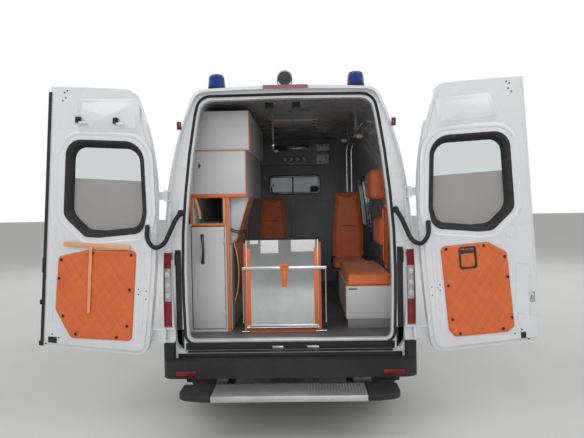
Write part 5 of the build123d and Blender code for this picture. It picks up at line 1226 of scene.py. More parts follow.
wallFace = 0.690
windowShape = outlinePoints(boxOutline(-0.322, 0.322, 1.842, 2.058), 0.040, 6)
screen = bmesh.new()
addRing(screen, windowShape, [(0.020, -0.0004), (0.019, -0.009), (0.012, -0.013), (-0.004, -0.011),
                              (-0.012, 0.006), (-0.012, 0.012), (-0.002, 0.012), (-0.002, -0.0004)], wallFace)
addBoxes(screen, [(-0.035, -0.011, -0.006, 0.012, 1.846, 2.054, 0.003),
                  (-0.292, -0.272, -0.010, 0.011, 1.930, 1.965, 0.004)], wallFace)
makePiece("bulkheadWindowFrame", screen, "glossBlack")
consoleFace = 0.520
console = bmesh.new()
addBox(console, (-0.256, 0.199), (consoleFace - 0.006, consoleFace - 0.0003), (2.387, 2.452), 0.004)
for x in (-0.115, -0.035, 0.048, 0.130):
    addLathe(console, [(0.0, -0.002), (0.010, -0.004), (0.012, -0.002), (0.024, -0.002), (0.027, -0.008),
                       (0.034, -0.006), (0.036, 0.0), (0.0, 0.0)], (x, consoleFace - 0.0003, 2.279), "y", 28)
    for dz in (-0.012, -0.004, 0.004, 0.012):
        addBox(console, (x - 0.022, x + 0.022), (consoleFace - 0.0065, consoleFace - 0.002),
               (2.279 + dz - 0.0012, 2.279 + dz + 0.0012), 0.0005)
for x, z in ((0.330, 2.440), (0.362, 2.440), (0.420, 2.432), (0.335, 2.235), (0.410, 2.280), (0.380, 2.230)):
    addLathe(console, [(0.0, -0.034), (0.010, -0.032), (0.013, -0.026), (0.013, -0.018), (0.0, -0.018)],
             (x, consoleFace, z), "y", 18)
makePiece("consoleControls", console, "glossBlack")
boxes = bmesh.new()
addBoxes(boxes, [(0.290, 0.458, -0.022, -0.0003, 2.375, 2.457, 0.006),
                 (0.290, 0.445, -0.022, -0.0003, 2.205, 2.331, 0.006),
                 (-0.076, 0.022, -0.006, -0.0003, 2.207, 2.216, 0.002)], consoleFace)
makePiece("switchBoxes", boxes, "boardWhite")
pressing = bmesh.new()
for lowX, highX, lowZ, highZ in ((-0.62, -0.06, 1.02, 1.72), (0.00, 0.62, 1.02, 1.72),
                                 (-0.62, 0.62, 0.74, 0.96)):
    addRing(pressing, outlinePoints(boxOutline(lowX, highX, lowZ, highZ), 0.04, 5),
            [(0.0, -0.0003), (0.004, -0.004), (0.010, -0.004), (0.014, -0.0003)], wallFace)
# bulkhead pressings in the grey liner with its painted shade
makePiece("bulkheadPressing", pressing, "linerGreyPaintedShade")

# Ceiling: lamp panel, hanger, rails and small brackets

lampPanel = bmesh.new()
for lowX, highX in ((-0.190, 0.018), (0.026, 0.268)):
    addBox(lampPanel, (lowX, highX), (-1.490, -0.960), (2.4985, 2.5075), 0.004)
makePiece("ceilingLamps", lampPanel, "lampDiffuser")
catches = bmesh.new()
for x in (-0.175, 0.25):
    for y in (-1.46, -1.22, -0.99):
        addBox(catches, (x - 0.035, x + 0.012), (y - 0.010, y + 0.010), (2.492, 2.5000), 0.003)
for x in (-0.135, 0.075):
    addBox(catches, (x - 0.033, x + 0.033), (-2.47, -2.45), (2.470, 2.5075), 0.004)
    for dx in (-0.022, 0.022):
        addTube(catches, [(x + dx, -2.46, 2.475), (x + dx, -2.475, 2.455), (x + dx, -2.49, 2.462)], 0.004, 8)
makePiece("ceilingCatches", catches, "blackPlastic")
dripper = bmesh.new()
addBox(dripper, (-0.162, -0.138), (-1.712, -1.588), (2.238, 2.252), 0.004)
for y in (-1.70, -1.60):
    addTube(dripper, roundPath([(-0.15, y, 2.250), (-0.15, y, 2.205), (-0.13, y, 2.190), (-0.115, y, 2.205)],
                               0.015, 5),
            0.004, 8)
makePiece("dripHooks", dripper, "brightSteel")
rails = bmesh.new()
for x, y in ((0.600, -0.560), (0.652, -0.555)):
    addTube(rails, roundPath([(x, y, 1.060), (x, y, 2.290), (x + 0.02, y - 0.02, 2.360),
                              (x + 0.06, y - 0.05, 2.378)],
                             0.05, 5), 0.0105, 14)
for y in (-1.78, -1.30, -0.82):
    addTube(rails, roundPath([(0.600, y, 2.360), (0.640, y, 2.395), (0.668, y, 2.425)], 0.02, 4), 0.008, 12)
makePiece("grabRails", rails, "brightSteel")
spots = bmesh.new()
for x, y, z in ((0.560, -0.75, 2.372), (0.640, -1.05, 2.395), (0.655, -1.52, 2.335)):
    addBox(spots, (x - 0.028, x + 0.028), (y - 0.045, y + 0.045), (z - 0.022, z + 0.012), 0.008)
makePiece("railLamps", spots, "boardWhite")
print("load space dressed")


# Cushions and padded seats

clothSettings = {"pressure": 4.0, "frames": 20, "mass": 0.3}


def settleFabric(piece, voxel, cap, isPinned):
    # inflates a closed form a little, as a filled cover is
    helper = piece.modifiers.new("fineMesh", "REMESH")
    helper.mode = "VOXEL"
    helper.voxel_size = voxel
    graph = bpy.context.evaluated_depsgraph_get()
    fine = bpy.data.meshes.new_from_object(piece.evaluated_get(graph))
    piece.modifiers.clear()
    coarse = piece.data
    piece.data = fine
    fine.name = coarse.name + "Fine"
    bpy.data.meshes.remove(coarse)
    rest = [v.co.copy() for v in fine.vertices]
    held = piece.vertex_groups.new(name="held")
    held.add([v.index for v in fine.vertices if isPinned(v.co)], 1.0, "REPLACE")
    cloth = piece.modifiers.new("Cloth", "CLOTH")
    cloth.settings.mass = clothSettings["mass"]
    cloth.settings.use_pressure = True
    cloth.settings.uniform_pressure_force = clothSettings["pressure"]
    cloth.settings.vertex_group_mass = "held"
    cloth.settings.effector_weights.gravity = 0
    cloth.point_cache.frame_start = 1
    cloth.point_cache.frame_end = clothSettings["frames"]
    for number in range(1, clothSettings["frames"] + 1):
        bpy.context.scene.frame_set(number)
    graph = bpy.context.evaluated_depsgraph_get()
    swollen = piece.evaluated_get(graph).to_mesh()
    moved = [v.co.copy() for v in swollen.vertices]
    piece.evaluated_get(graph).to_mesh_clear()
    piece.modifiers.clear()
    bpy.context.scene.frame_set(1)
    for vert, start, end in zip(fine.vertices, rest, moved):
        step = end - start
        vert.co = start + step * min(1.0, cap / max(step.length, 1e-9))
    smooth = piece.modifiers.new("smoothFabric", "SUBSURF")
    smooth.levels = 1
    smooth.render_levels = 1
    for face in fine.polygons:
        face.use_smooth = True


def addPadded(name, bm, material, voxel, cap, isPinned, replaces, slot):
    piece = makePiece(name, bm, material, replaces=replaces, slot=slot)
    settleFabric(piece, voxel, cap, isPinned)
    piece.data.materials.clear()
    piece.data.materials.append(finish[material])
    return piece


def addPiping(name, piece, path, material, radius=0.0035, closed=True):
    # welt sewn on along a path, drawn onto the settled cover
    points = []
    for p in path:
        found, place, normal, _ = piece.closest_point_on_mesh(Vector(p))
        points.append(place + normal * radius * 0.4 if found else Vector(p))
    last = len(points) - 1
    for _ in range(2):
        points = [(points[i - 1] + point * 2 + points[(i + 1) % len(points)]) / 4 if closed or 0 < i < last
                  else point
                  for i, point in enumerate(points)]
    bm = bmesh.new()
    addTube(bm, points, radius, 8, closed=closed)
    makePiece(name, bm, material)


def densePath(outline, put):
    # evenly spaced 3-D points round an outline
    points, gap = [], 0.012
    for a, b in zip(outline, outline[1:] + outline[:1]):
        count = max(1, int(math.hypot(b[0] - a[0], b[1] - a[1]) / gap))
        for k in range(count):
            t = k / count
            points.append(put((a[0] + (b[0] - a[0]) * t, a[1] + (b[1] - a[1]) * t)))
    return points


benchPad = {"x": (0.470, 0.840), "y": (-2.259, -1.190), "z": (1.0262, 1.1180)}
cushion = bmesh.new()
padOutline = outlinePoints(boxOutline(*benchPad["x"], *benchPad["y"]), 0.028, 5)
addSlab(cushion, padOutline, benchPad["z"][0], benchPad["z"][1], "z", 0.012, 3)
cover = addPadded("benchCushion", cushion, "orangeVinyl", 0.009, 0.009, lambda v: v.z < 1.032, ["cushions"],
                  "orange_cloth")
for number, level in enumerate((1.1125, 1.0320)):
    addPiping(f"benchPiping{number}", cover, densePath(growOutline(padOutline, -0.001),
                                                       lambda p: (p[0], p[1], level)),
              "orangePiping")

for name, xs, zs, ys, depth in (("wallBox", (0.730, 0.856), (1.742, 2.006), (-1.747, -1.303), 0.026),
                                ("wallPad", (0.802, 0.884), (1.314, 1.556), (-1.747, -1.303), 0.022)):
    pad = bmesh.new()
    shape = outlinePoints(boxOutline(*xs, *zs), depth, 5)
    addSlab(pad, shape, ys[0], ys[1], "y", 0.014, 3)
    cover = addPadded(name, pad, "orangeVinyl", 0.009, 0.007, lambda v, edge=xs[1]: v.x > edge - 0.02,
                      ["cushions"],
                      "orange_cloth")
    addPiping(name + "Piping", cover, densePath(shape, lambda p, y=ys[0]: (p[0], y + 0.006, p[1])),
              "orangePiping")

seatPlans = [  # name, middle x, front y of the cushion, width, cushion height, back from, back to, top width
    ("attendantSeat", 0.595, -1.070, 0.360, 1.030, 1.052, 1.826, 0.270),
    ("farSeat", -0.290, 0.190, 0.380, 1.060, 1.082, 1.786, 0.300)]
for name, x, y, width, seatLevel, backLow, backHigh, topWidth in seatPlans:
    half, top = width / 2 - 0.002, topWidth / 2 - 0.002
    shape = outlinePoints([(x - half, backLow), (x + half, backLow), (x + half, backLow + 0.32),
                           (x + top, backHigh),
                           (x - top, backHigh), (x - half, backLow + 0.32)], 0.045, 5)
    back = bmesh.new()
    addSlab(back, shape, y + 0.391, y + 0.472, "y", 0.020, 3)
    cover = addPadded(name + "Back", back, "orangeVinyl", 0.009, 0.014, lambda v, rear=y + 0.468: v.y > rear,
                      ["seats"], "orange_cloth")
    addPiping(name + "BackPiping", cover, densePath(growOutline(shape, -0.004),
                                                    lambda p, front=y + 0.388: (p[0], front, p[1])),
              "orangePiping")
    level = backLow + 0.40
    addPiping(name + "Seam", cover, [(x - 0.070 + 0.14 * k / 12, y + 0.385,
                                      level + 0.004 * math.sin(math.pi * k / 12))
                                     for k in range(13)], "seatCloth", 0.004, closed=False)
    seat = bmesh.new()
    seatShape = outlinePoints(boxOutline(x - half, x + half, y + 0.006, y + 0.384), 0.05, 5)
    addSlab(seat, seatShape, seatLevel + 0.002, seatLevel + 0.083, "z", 0.022, 3)
    cover = addPadded(name + "Cushion", seat, "orangeVinyl", 0.009, 0.010,
                      lambda v, low=seatLevel + 0.008: v.z < low, ["seats"], "orange_cloth")
    addPiping(name + "CushionPiping", cover, densePath(growOutline(seatShape, -0.002),
                                                       lambda p, level=seatLevel + 0.074: (p[0], p[1], level)),
              "orangePiping")
    stand = bmesh.new()
    addBoxes(stand, [(x - 0.128, x + 0.128, 0.062, 0.418, floorTop, seatLevel - 0.03, 0.012),
                     (x - width / 2 + 0.004, x + width / 2 - 0.004, 0.004, 0.44, seatLevel - 0.03, seatLevel,
                      0.006),
                     (x - 0.06, x + 0.06, 0.4725, 0.4795, backLow, backHigh - 0.12, 0.004)], y)
    makePiece(name + "Stand", stand, "dashGrey", replaces=["seats"])
    buckle = bmesh.new()
    for side in (-1, 1):
        addTube(buckle, roundPath([(x + side * (half + 0.002), y + 0.40, seatLevel + 0.02),
                                   (x + side * (half + 0.004), y + 0.34, seatLevel + 0.09),
                                   (x + side * (half - 0.03), y + 0.24, seatLevel + 0.105)], 0.04, 5), 0.008, 8)
    addBox(buckle, (x + half - 0.05, x + half - 0.015), (y + 0.16, y + 0.24),
           (seatLevel + 0.090, seatLevel + 0.115), 0.006)
    makePiece(name + "Belt", buckle, "blackPlastic")

for name, x in (("driverSeat", -0.430), ("passengerSeat", 0.330)):
    half = 0.229
    seat = bmesh.new()
    seatShape = outlinePoints(boxOutline(x - half, x + half, 0.858, 1.352), 0.07, 5)
    addSlab(seat, seatShape, 1.003, 1.100, "z", 0.028, 3)
    addPadded(name + "Cushion", seat, "seatCloth", 0.012, 0.010, lambda v: v.z < 1.010, ["seats"],
              "orange_cloth")
    back = bmesh.new()
    side = outlinePoints([(0.884, 1.060), (0.797, 1.715), (0.797, 1.765), (0.880, 1.765), (0.893, 1.715),
                          (1.004, 1.086)],
                         0.03, 5)
    addSlab(back, side, x - half + 0.016, x + half - 0.016, "x", 0.03, 3)
    addPadded(name + "Back", back, "seatCloth", 0.012, 0.010, lambda v: v.y < 0.80, ["seats"], "orange_cloth")
    head = bmesh.new()
    headShape = outlinePoints([(0.800, 1.790), (0.880, 1.790), (0.872, 1.942), (0.808, 1.942)], 0.03, 5)
    addSlab(head, headShape, x - 0.130, x + 0.130, "x", 0.03, 3)
    addPadded(name + "Head", head, "seatCloth", 0.010, 0.006, lambda v: v.z < 1.795, ["seats"], "orange_cloth")
    stand = bmesh.new()
    addBox(stand, (x - 0.198, x + 0.198), (0.882, 1.298), (floorTop, 0.998), 0.015)
    for dx in (-0.06, 0.06):
        addTube(stand, [(x + dx, 0.838, 1.70), (x + dx, 0.838, 1.83)], 0.007, 10)
    makePiece(name + "Stand", stand, "dashGrey", replaces=["seats"])
print("soft pieces made")


# Wheels: tyre with tread, pierced rim, nuts and hub cap, drawn about the origin with its face to +x

frontAxle, rearAxle, halfTrack, wheelRadius = 2.098, -1.567, 0.835, 0.350
treadBlocks, wheelSides = 56, 96


def spinProfile(bm, profile):
    # closed profile of (radius, width) pairs spun about the axle
    addLoft(bm, [[(x, r * math.cos(a), r * math.sin(a)) for r, x in profile] for a in circleAngles(wheelSides)],
            ringClosed=True)


def buildTyre(bm):
    profile = [(0.207, -0.092), (0.214, -0.101), (0.240, -0.1095), (0.272, -0.1118), (0.300, -0.1090),
               (0.322, -0.1000),
               (0.3355, -0.0900), (0.3400, -0.0800), (0.3405, 0.0), (0.3400, 0.0800), (0.3355, 0.0900),
               (0.322, 0.1000), (0.300, 0.1090), (0.272, 0.1118), (0.240, 0.1095), (0.214, 0.101),
               (0.207, 0.092),
               (0.204, 0.080), (0.204, -0.080)]
    spinProfile(bm, profile)
    for ring in (0.226, 0.262, 0.292):
        level = 0.1075 if ring < 0.25 else (0.1115 if ring < 0.28 else 0.1095)
        for side in (-1, 1):
            path = [(side * level, ring * math.cos(a), ring * math.sin(a)) for a in circleAngles(72)]
            addTube(bm, path, 0.0012, 5, closed=True)


def buildTread(bm):
    # five rows of blocks with sipes between them
    rowPlan = [(-0.091, -0.060, 0.0, 0.3460), (-0.055, -0.022, 0.5, 0.3495), (-0.017, 0.017, 0.0, 0.3495),
               (0.022, 0.055, 0.5, 0.3495), (0.060, 0.091, 0.0, 0.3460)]
    for low, high, shift, top in rowPlan:
        for k in range(treadBlocks):
            start = 2 * math.pi * (k + shift) / treadBlocks
            end = start + 2 * math.pi / treadBlocks * 0.80
            skew = 0.012 if low < 0 else -0.012
            corners = []
            for radius, inset in ((0.3385, 0.0), (top - 0.0008, 0.0), (top, 0.0011)):
                loop = []
                for x, a, turn in ((low + inset, start, -skew), (high - inset, start, skew),
                                   (high - inset, end, skew),
                                   (low + inset, end, -skew)):
                    angle = a + turn + (inset / radius if a == start else -inset / radius)
                    drop = 0.0055 * max(0.0, (abs(x) - 0.070) / 0.021) if top < 0.348 else 0.0
                    r = radius - drop
                    loop.append((x, r * math.cos(angle), r * math.sin(angle)))
                corners.append(loop)
            addLoft(bm, corners)


def buildRim(bm):
    profile = [(0.2050, 0.0835), (0.2085, 0.0865), (0.2040, 0.0885), (0.1990, 0.0840), (0.1930, 0.0740),
               (0.1900, 0.0560),
               (0.1860, 0.0470), (0.1740, 0.0455), (0.1600, 0.0520), (0.1080, 0.0560), (0.0960, 0.0500),
               (0.0780, 0.0480), (0.0380, 0.0480), (0.0380, 0.0440), (0.0960, 0.0440), (0.1600, 0.0460),
               (0.1740, 0.0400), (0.1850, 0.0400), (0.1850, -0.0800), (0.2040, -0.0860), (0.2040, -0.0800)]
    spinProfile(bm, profile)
    for k in range(8):
        # flared lips of the hand holes
        a = 2 * math.pi * (k + 0.5) / 8
        centre = Vector((0.0545, 0.134 * math.cos(a), 0.134 * math.sin(a)))
        out, along = Vector((0, math.cos(a), math.sin(a))), Vector((0, -math.sin(a), math.cos(a)))
        path = [centre + out * 0.017 * math.cos(t) + along * 0.023 * math.sin(t) for t in circleAngles(24)]
        addTube(bm, path, 0.0035, 6, closed=True)


def buildRimHoles(bm):
    for k in range(8):
        a = 2 * math.pi * (k + 0.5) / 8
        centre = Vector((0.0552, 0.134 * math.cos(a), 0.134 * math.sin(a)))
        out, along = Vector((0, math.cos(a), math.sin(a))), Vector((0, -math.sin(a), math.cos(a)))
        loops = [[centre + Vector((dx, 0, 0)) + out * 0.017 * s * math.cos(t) + along * 0.023 * s * math.sin(t)
                  for t in circleAngles(20)] for dx, s in ((0.0, 1.0), (0.0016, 0.98), (0.0012, 0.7))]
        addLoft(bm, loops)


def buildHub(bm):
    addLathe(bm, [(0.0, 0.0550), (0.020, 0.0548), (0.030, 0.0535), (0.0365, 0.0500), (0.0375, 0.0440),
                  (0.0, 0.0440)],
             (0, 0, 0), "x", 36)
    for k in range(6):
        a = 2 * math.pi * k / 6
        y, z = 0.0650 * math.cos(a), 0.0650 * math.sin(a)
        addLathe(bm, [(0.0, 0.0540), (0.0060, 0.0540), (0.0095, 0.0530), (0.0105, 0.0500), (0.0105, 0.0475),
                      (0.0, 0.0475)],
                 (0, y, z), "x", 6)
        addLathe(bm, [(0.0125, 0.0480), (0.0125, 0.0496), (0.0100, 0.0500), (0.0100, 0.0478)], (0, y, z), "x",
                 20)


wheelPlaces = [(end, hand) for end in ("front", "rear") for hand in ("right", "left")]
wheelParts = (("Tyre", buildTyre, "tyreBlack", "tyre"), ("Tread", buildTread, "tyreBlack", None),
              ("Rim", buildRim, "wheelSilver", None), ("RimHoles", buildRimHoles, "blackRubber", None),
              ("Hub", buildHub, "galvanised", None))
for end, hand in wheelPlaces:
    x, y = halfTrack if hand == "right" else -halfTrack, frontAxle if end == "front" else rearAxle
    for label, build, material, slotName in wheelParts:
        bm = bmesh.new()
        build(bm)
        if hand == "left":
            mirrorMesh(bm)
        bmesh.ops.translate(bm, vec=(x, y, wheelRadius), verts=bm.verts[:])
        makePiece(f"wheel{end.capitalize()}{hand.capitalize()}{label}", bm, material, f"{end}_{hand}_wheel",
                  replaces=[f"wheel_{end}_{hand}"], slot=slotName, sharp=30)
for label, build, material, slotName in wheelParts[:4]:
    bm = bmesh.new()
    build(bm)
    bmesh.ops.rotate(bm, cent=(0, 0, 0), matrix=Matrix.Rotation(math.radians(90), 3, "Y"), verts=bm.verts[:])
    bmesh.ops.translate(bm, vec=(0, -2.170, 0.365), verts=bm.verts[:])
    makePiece("spareWheel" + label, bm, material, replaces=["spare_wheel"] if label == "Tyre" else None,
              sharp=30)
print("wheels made")


# Fittings that follow the outer form

def strike(names, origin, way):
    # nearest meeting of a line with one of the CAD pieces: place and normal
    best = None
    for name in names:
        node = nodes[name]
        back = node.matrix_world.inverted()
        found, place, normal, _ = node.ray_cast(back @ Vector(origin), back.to_3x3() @ Vector(way))
        if found:
            spot = node.matrix_world @ place
            reach = (spot - Vector(origin)).length
            if best is None or reach < best[0]:
                best = (reach, spot, (node.matrix_world.to_3x3() @ normal).normalized())
    return best[1:] if best else None


def hug(names, points, way, lift=0.0, reach=None):
    # points dropped along the way onto the CAD pieces; a gap takes the depth of the nearest neighbour
    axis = max(range(3), key=lambda k: abs(way[k]))
    start = (reach or {0: 1.30, 1: 3.40, 2: 2.95}[axis]) * (-1 if way[axis] > 0 else 1)
    spots, hits = [], []
    for point in points:
        origin = Vector(point)
        origin[axis] = start
        hit = strike(names, origin, way)
        spots.append(origin)
        hits.append(hit[0][axis] if hit else None)
    known = [i for i, depth in enumerate(hits) if depth is not None]
    for i, spot in enumerate(spots):
        spot[axis] = hits[min(known, key=lambda k: abs(k - i))]
    return [spot - Vector(way) * lift for spot in spots]


def addBand(bm, names, outer, inner, put, way):
    # thin band between two outlines, lying on the surface
    count, above, below = 180, 0.0008, -0.0004
    rings = []
    for outline, rise in ((outer, above), (inner, above), (inner, below), (outer, below)):
        points = resample(outline, count)
        rings.append(hug(names, [put(p) for p in points], way, rise))
    addLoft(bm, rings, ringClosed=True)


def resample(outline, count):
    # the same number of evenly spread points round any outline
    closed = outline + outline[:1]
    steps = [math.hypot(b[0] - a[0], b[1] - a[1]) for a, b in zip(closed, closed[1:])]
    total, result, index, passed = sum(steps), [], 0, 0.0
    for k in range(count):
        target = total * k / count
        while passed + steps[index] < target:
            passed += steps[index]
            index += 1
        t = (target - passed) / steps[index]
        a, b = closed[index], closed[index + 1]
        result.append((a[0] + (b[0] - a[0]) * t, a[1] + (b[1] - a[1]) * t))
    return result


def addOnSurface(bm, names, outline, put, way, radius, count=160, reach=None):
    addTube(bm, hug(names, [put(p) for p in resample(outline, count)], way, 0.0, reach), radius, 8, closed=True)


def addDisc(bm, profile, place, normal, sides=32):
    # turned form (radius, height) standing on a surface
    normal = Vector(normal).normalized()
    across = normal.orthogonal().normalized()
    other = normal.cross(across)
    addLoft(bm, [[Vector(place) + normal * h + across * r * math.cos(t) + other * r * math.sin(t)
                  for t in circleAngles(sides)] for r, h in profile])


def addRidge(bm, names, path, way, width, height):
    # low raised bead along a path, its sides running out on the surface
    path = [Vector(p) for p in path]
    loops, steps = [], 5
    for i, point in enumerate(path):
        ahead = path[min(i + 1, len(path) - 1)] - path[max(i - 1, 0)]
        across = ahead.cross(Vector(way)).normalized()
        ends = min(1.0, min(i, len(path) - 1 - i) / 2 + 0.15)
        places = [point + across * width * (k / steps - 0.5) for k in range(steps + 1)]
        upper = hug(names, places, way)
        lower = [p + Vector(way) * 0.002 for p in reversed(upper)]
        raised = [p - Vector(way) * (height * ends * math.sin(math.pi * k / steps) ** 0.6 + 0.0001)
                  for k, p in enumerate(upper)]
        loops.append(raised + lower)
    addLoft(bm, loops)


sideNodes = {1: ["side_right", "sliding_door", "roof", "rear_frame", "cab_frame", "cab_door_right",
                 "front_wings"],
             -1: ["side_left", "roof", "rear_frame", "cab_frame", "cab_door_left", "front_wings"]}
sideWindow = outlinePoints(boxOutline(-0.450, 0.600, 1.420, 1.990), 0.080, 8)
cabWindow = outlinePoints([(0.850, 1.370), (0.850, 2.035), (1.462, 2.035), (1.800, 1.620), (1.800, 1.300),
                           (1.400, 1.300), (1.250, 1.370)], [0.04, 0.05, 0.08, 0.06, 0.06, 0.06, 0.06], 5)
screen = outlinePoints([(-0.840, 1.425), (-0.715, 2.215), (0.715, 2.215), (0.840, 1.425)], 0.090, 8)


backwards, downwards = (0, -1, 0), (0, 0, -1)


def onSide(p):
    return (0.0, p[0], p[1])


def onFront(p):
    return (p[0], 0.0, p[1])


def addPullHandle(bm, x, hand, plate, along, level):
    # plate and bowed grip of a door handle
    addSlab(bm, outlinePoints(boxOutline(*plate), 0.03, 5), x - hand * 0.001, x + hand * 0.004, "x", 0.0015)
    bow = [(x + hand * out, y, level) for out, y in zip((0.002, 0.030, 0.034, 0.030, 0.002), along)]
    addTube(bm, roundPath(bow, 0.02, 5), 0.0105, 10)


for hand, label in ((1, "Right"), (-1, "Left")):
    way = (-hand, 0, 0)
    rubber = bmesh.new()
    addOnSurface(rubber, sideNodes[hand], growOutline(sideWindow, 0.004), onSide, way, 0.0065)
    for y in (-0.10, 0.25):
        # divider bars of the side window
        edge = hug(["body_glass"], [(0, y, 1.428 + 0.554 * k / 12) for k in range(13)], way, -0.002)
        addTube(rubber, edge, 0.007, 8)
    makePiece(f"sideWindowRubber{label}", rubber, "blackRubber")
    frit = bmesh.new()
    addBand(frit, ["body_glass"], growOutline(sideWindow, -0.002), growOutline(sideWindow, -0.026), onSide, way)
    makePiece(f"sideWindowEdge{label}", frit, "glossBlack")
    doorNode, glassNode, doorBody = (f"cab_door_{label.lower()}", f"cab_glass_{label.lower()}",
                                     f"{label.lower()}_cab_door")
    rubber = bmesh.new()
    addOnSurface(rubber, [doorNode], growOutline(cabWindow, 0.003), onSide, way, 0.0055, reach=1.012)
    addTube(rubber, hug([glassNode], [(0, 0.856 + 0.57 * k / 20, 1.374 if k < 13
                                       else 1.374 - 0.07 * (k - 13) / 7)
                                      for k in range(14)], way, 0.001), 0.005, 8)
    makePiece(f"cabWindowRubber{label}", rubber, "blackRubber", doorBody)
    # handles and locks
    grip = bmesh.new()
    x = strike([doorNode], (hand * 1.01, 0.90, 1.14), way)[0].x
    addPullHandle(grip, x, hand, (0.815, 0.985, 1.105, 1.175), (0.835, 0.850, 0.930, 0.955, 0.968), 1.150)
    makePiece(f"cabHandle{label}", grip, "blackPlastic", doorBody)
    lock = bmesh.new()
    addDisc(lock, [(0.009, 0.0), (0.009, 0.0022), (0.007, 0.003), (0.003, 0.0028), (0.0, 0.0024)],
            (x + hand * 0.004, 0.838, 1.120), (hand, 0, 0), 20)
    makePiece(f"cabLock{label}", lock, "brightSteel", doorBody)
    # rain gutter, sill pressing and lower edge along the body
    lines = bmesh.new()
    for level, start, end in ([(2.347, -2.40, 1.30), (1.245, -2.40, -0.585), (1.245, -0.540, 0.670),
                               (0.760, -1.05, -0.585),
                               (0.760, -0.540, 0.670)] if hand > 0 else
                              [(2.347, -2.40, 1.30), (1.245, -2.40, 0.74), (0.760, -1.05, 0.74)]):
        addRidge(lines, sideNodes[hand], [(0, start + (end - start) * k / 46, level) for k in range(47)], way,
                 0.022, 0.0045)
    for y in (-2.35, -1.55) if hand > 0 else (-2.35, -1.55, -0.62):
        addRidge(lines, sideNodes[hand], [(0, y, 1.33 + 0.90 * k / 14) for k in range(15)], way, 0.020, 0.003)
    makePiece(f"sideBeads{label}", lines, "cabShell")
    amber = bmesh.new()
    for y in (-0.95, -0.10, 0.66):
        x = strike(["side_cladding"], (hand * 1.3, y, 0.645), way)
        if x:
            addBox(amber, (x[0].x - hand * 0.001, x[0].x + hand * 0.006), (y - 0.034, y + 0.034),
                   (0.633, 0.657), 0.004, 3)
    spot, normal = strike(["front_wings"], (hand * 1.3, 2.19, 1.10), way)
    turn = bmesh.new()
    addDisc(turn, [(0.030, -0.002), (0.030, 0.006), (0.026, 0.011), (0.014, 0.0135), (0.0, 0.0140)], spot,
            normal, 28)
    makePiece(f"wingIndicator{label}", turn, "lampAmber")
    rim = bmesh.new()
    addDisc(rim, [(0.0335, -0.002), (0.0345, 0.0035), (0.0310, 0.0045), (0.0305, -0.002)], spot, normal, 28)
    makePiece(f"wingIndicatorRim{label}", rim, "blackRubber")
    makePiece(f"sideMarkers{label}", amber, "lampAmber")
    # mirror: shell, two glasses, arm boot
    shell = bmesh.new()
    housing = [(hand * a, b) for a, b in outlinePoints([(1.0175, 1.7830), (1.2175, 1.7675), (1.2070, 1.8625),
                                                        (1.0380, 1.8775)],
                                                       0.025, 5)]
    addSlab(shell, housing, 1.3485, 1.7015, "z", 0.012, 3)
    addTube(shell, [(hand * 0.925, 1.842, 1.402), (hand * 0.99, 1.836, 1.412), (hand * 1.06, 1.831, 1.424)],
            0.0215, 14)
    addDisc(shell, [(0.045, 0.0), (0.045, 0.008), (0.036, 0.018), (0.022, 0.024)],
            strike([doorNode], (hand * 0.995, 1.800, 1.402), way)[0] + Vector((-hand * 0.012, 0.042, 0)),
            (hand, 0, 0.1), 24)
    makePiece(f"mirrorShell{label}", shell, "blackPlastic", doorBody)
    glass = bmesh.new()
    tilt = (Vector((hand * 1.2175, 1.7675, 0)) - Vector((hand * 1.0175, 1.7830, 0))).normalized()
    behind = Vector(backwards) - tilt * tilt.dot(Vector(backwards))
    for low, high in ((1.465, 1.675), (1.372, 1.448)):
        face = outlinePoints(boxOutline(-0.078, 0.078, low, high), 0.018, 5)
        centre = Vector((hand * 1.1175, 1.7752, 0))
        addLoft(glass, [[centre + tilt * a + behind.normalized() * rise + Vector((0, 0, b)) for a, b in ring]
                        for ring, rise in ((face, -0.002), (face, 0.0015), (growOutline(face, -0.002), 0.003))])
    makePiece(f"mirrorGlass{label}", glass, "mirrorSheetPaintedDimReflection", doorBody)

# Sliding door: runner cover, handle, lock and seal lines on the right; filler flap on the left
runner = bmesh.new()
x = strike(["side_right"], (1.3, -1.30, 1.205), (-1, 0, 0))[0].x
addSlab(runner, outlinePoints(boxOutline(-1.90, -0.585, 1.182, 1.222), 0.008, 3), x - 0.001,
        x + 0.007, "x", 0.003)
addSlab(runner, outlinePoints([(-1.90, 1.190), (-1.985, 1.193), (-1.985, 1.211), (-1.90, 1.214)], 0.008, 3),
        x - 0.001,
        x + 0.004, "x", 0.002)
makePiece("slideRunnerCover", runner, "cabShell")
slot = bmesh.new()
addBox(slot, (x + 0.0065, x + 0.0078), (-1.895, -0.590), (1.1850, 1.1935), 0.0005)
makePiece("slideRunnerSlot", slot, "blackRubber")
grip = bmesh.new()
x = strike(["sliding_door"], (1.3, 0.56, 1.14), (-1, 0, 0))[0].x
addPullHandle(grip, x, 1, (0.465, 0.640, 1.105, 1.180), (0.485, 0.500, 0.580, 0.605, 0.620), 1.155)
makePiece("slidingHandle", grip, "blackPlastic")
lock = bmesh.new()
addDisc(lock, [(0.009, 0.0), (0.009, 0.0022), (0.007, 0.003), (0.0, 0.0024)], (x + 0.004, 0.490, 1.122),
        (1, 0, 0), 20)
makePiece("slidingLock", lock, "brightSteel")
flap = bmesh.new()
flapEdge = outlinePoints(boxOutline(0.300, 0.480, 0.855, 1.045), 0.025, 5)
x = strike(["side_left"], (-1.3, 0.39, 0.95), (1, 0, 0))[0].x
addSlab(flap, flapEdge, x + 0.001, x - 0.0035, "x", 0.0012)
addDisc(flap, [(0.012, -0.002), (0.012, 0.0015), (0.009, 0.003), (0.0, 0.0028)], (x - 0.0035, 0.325, 0.950),
        (-1, 0, 0), 20)
makePiece("fillerFlap", flap, "cabShell")
gap = bmesh.new()
addRing(gap, flapEdge, [(0.0005, 0.001), (0.0005, -0.0008), (0.0045, -0.0008), (0.0045, 0.001)], x, "x")
makePiece("fillerGap", gap, "blackRubber")

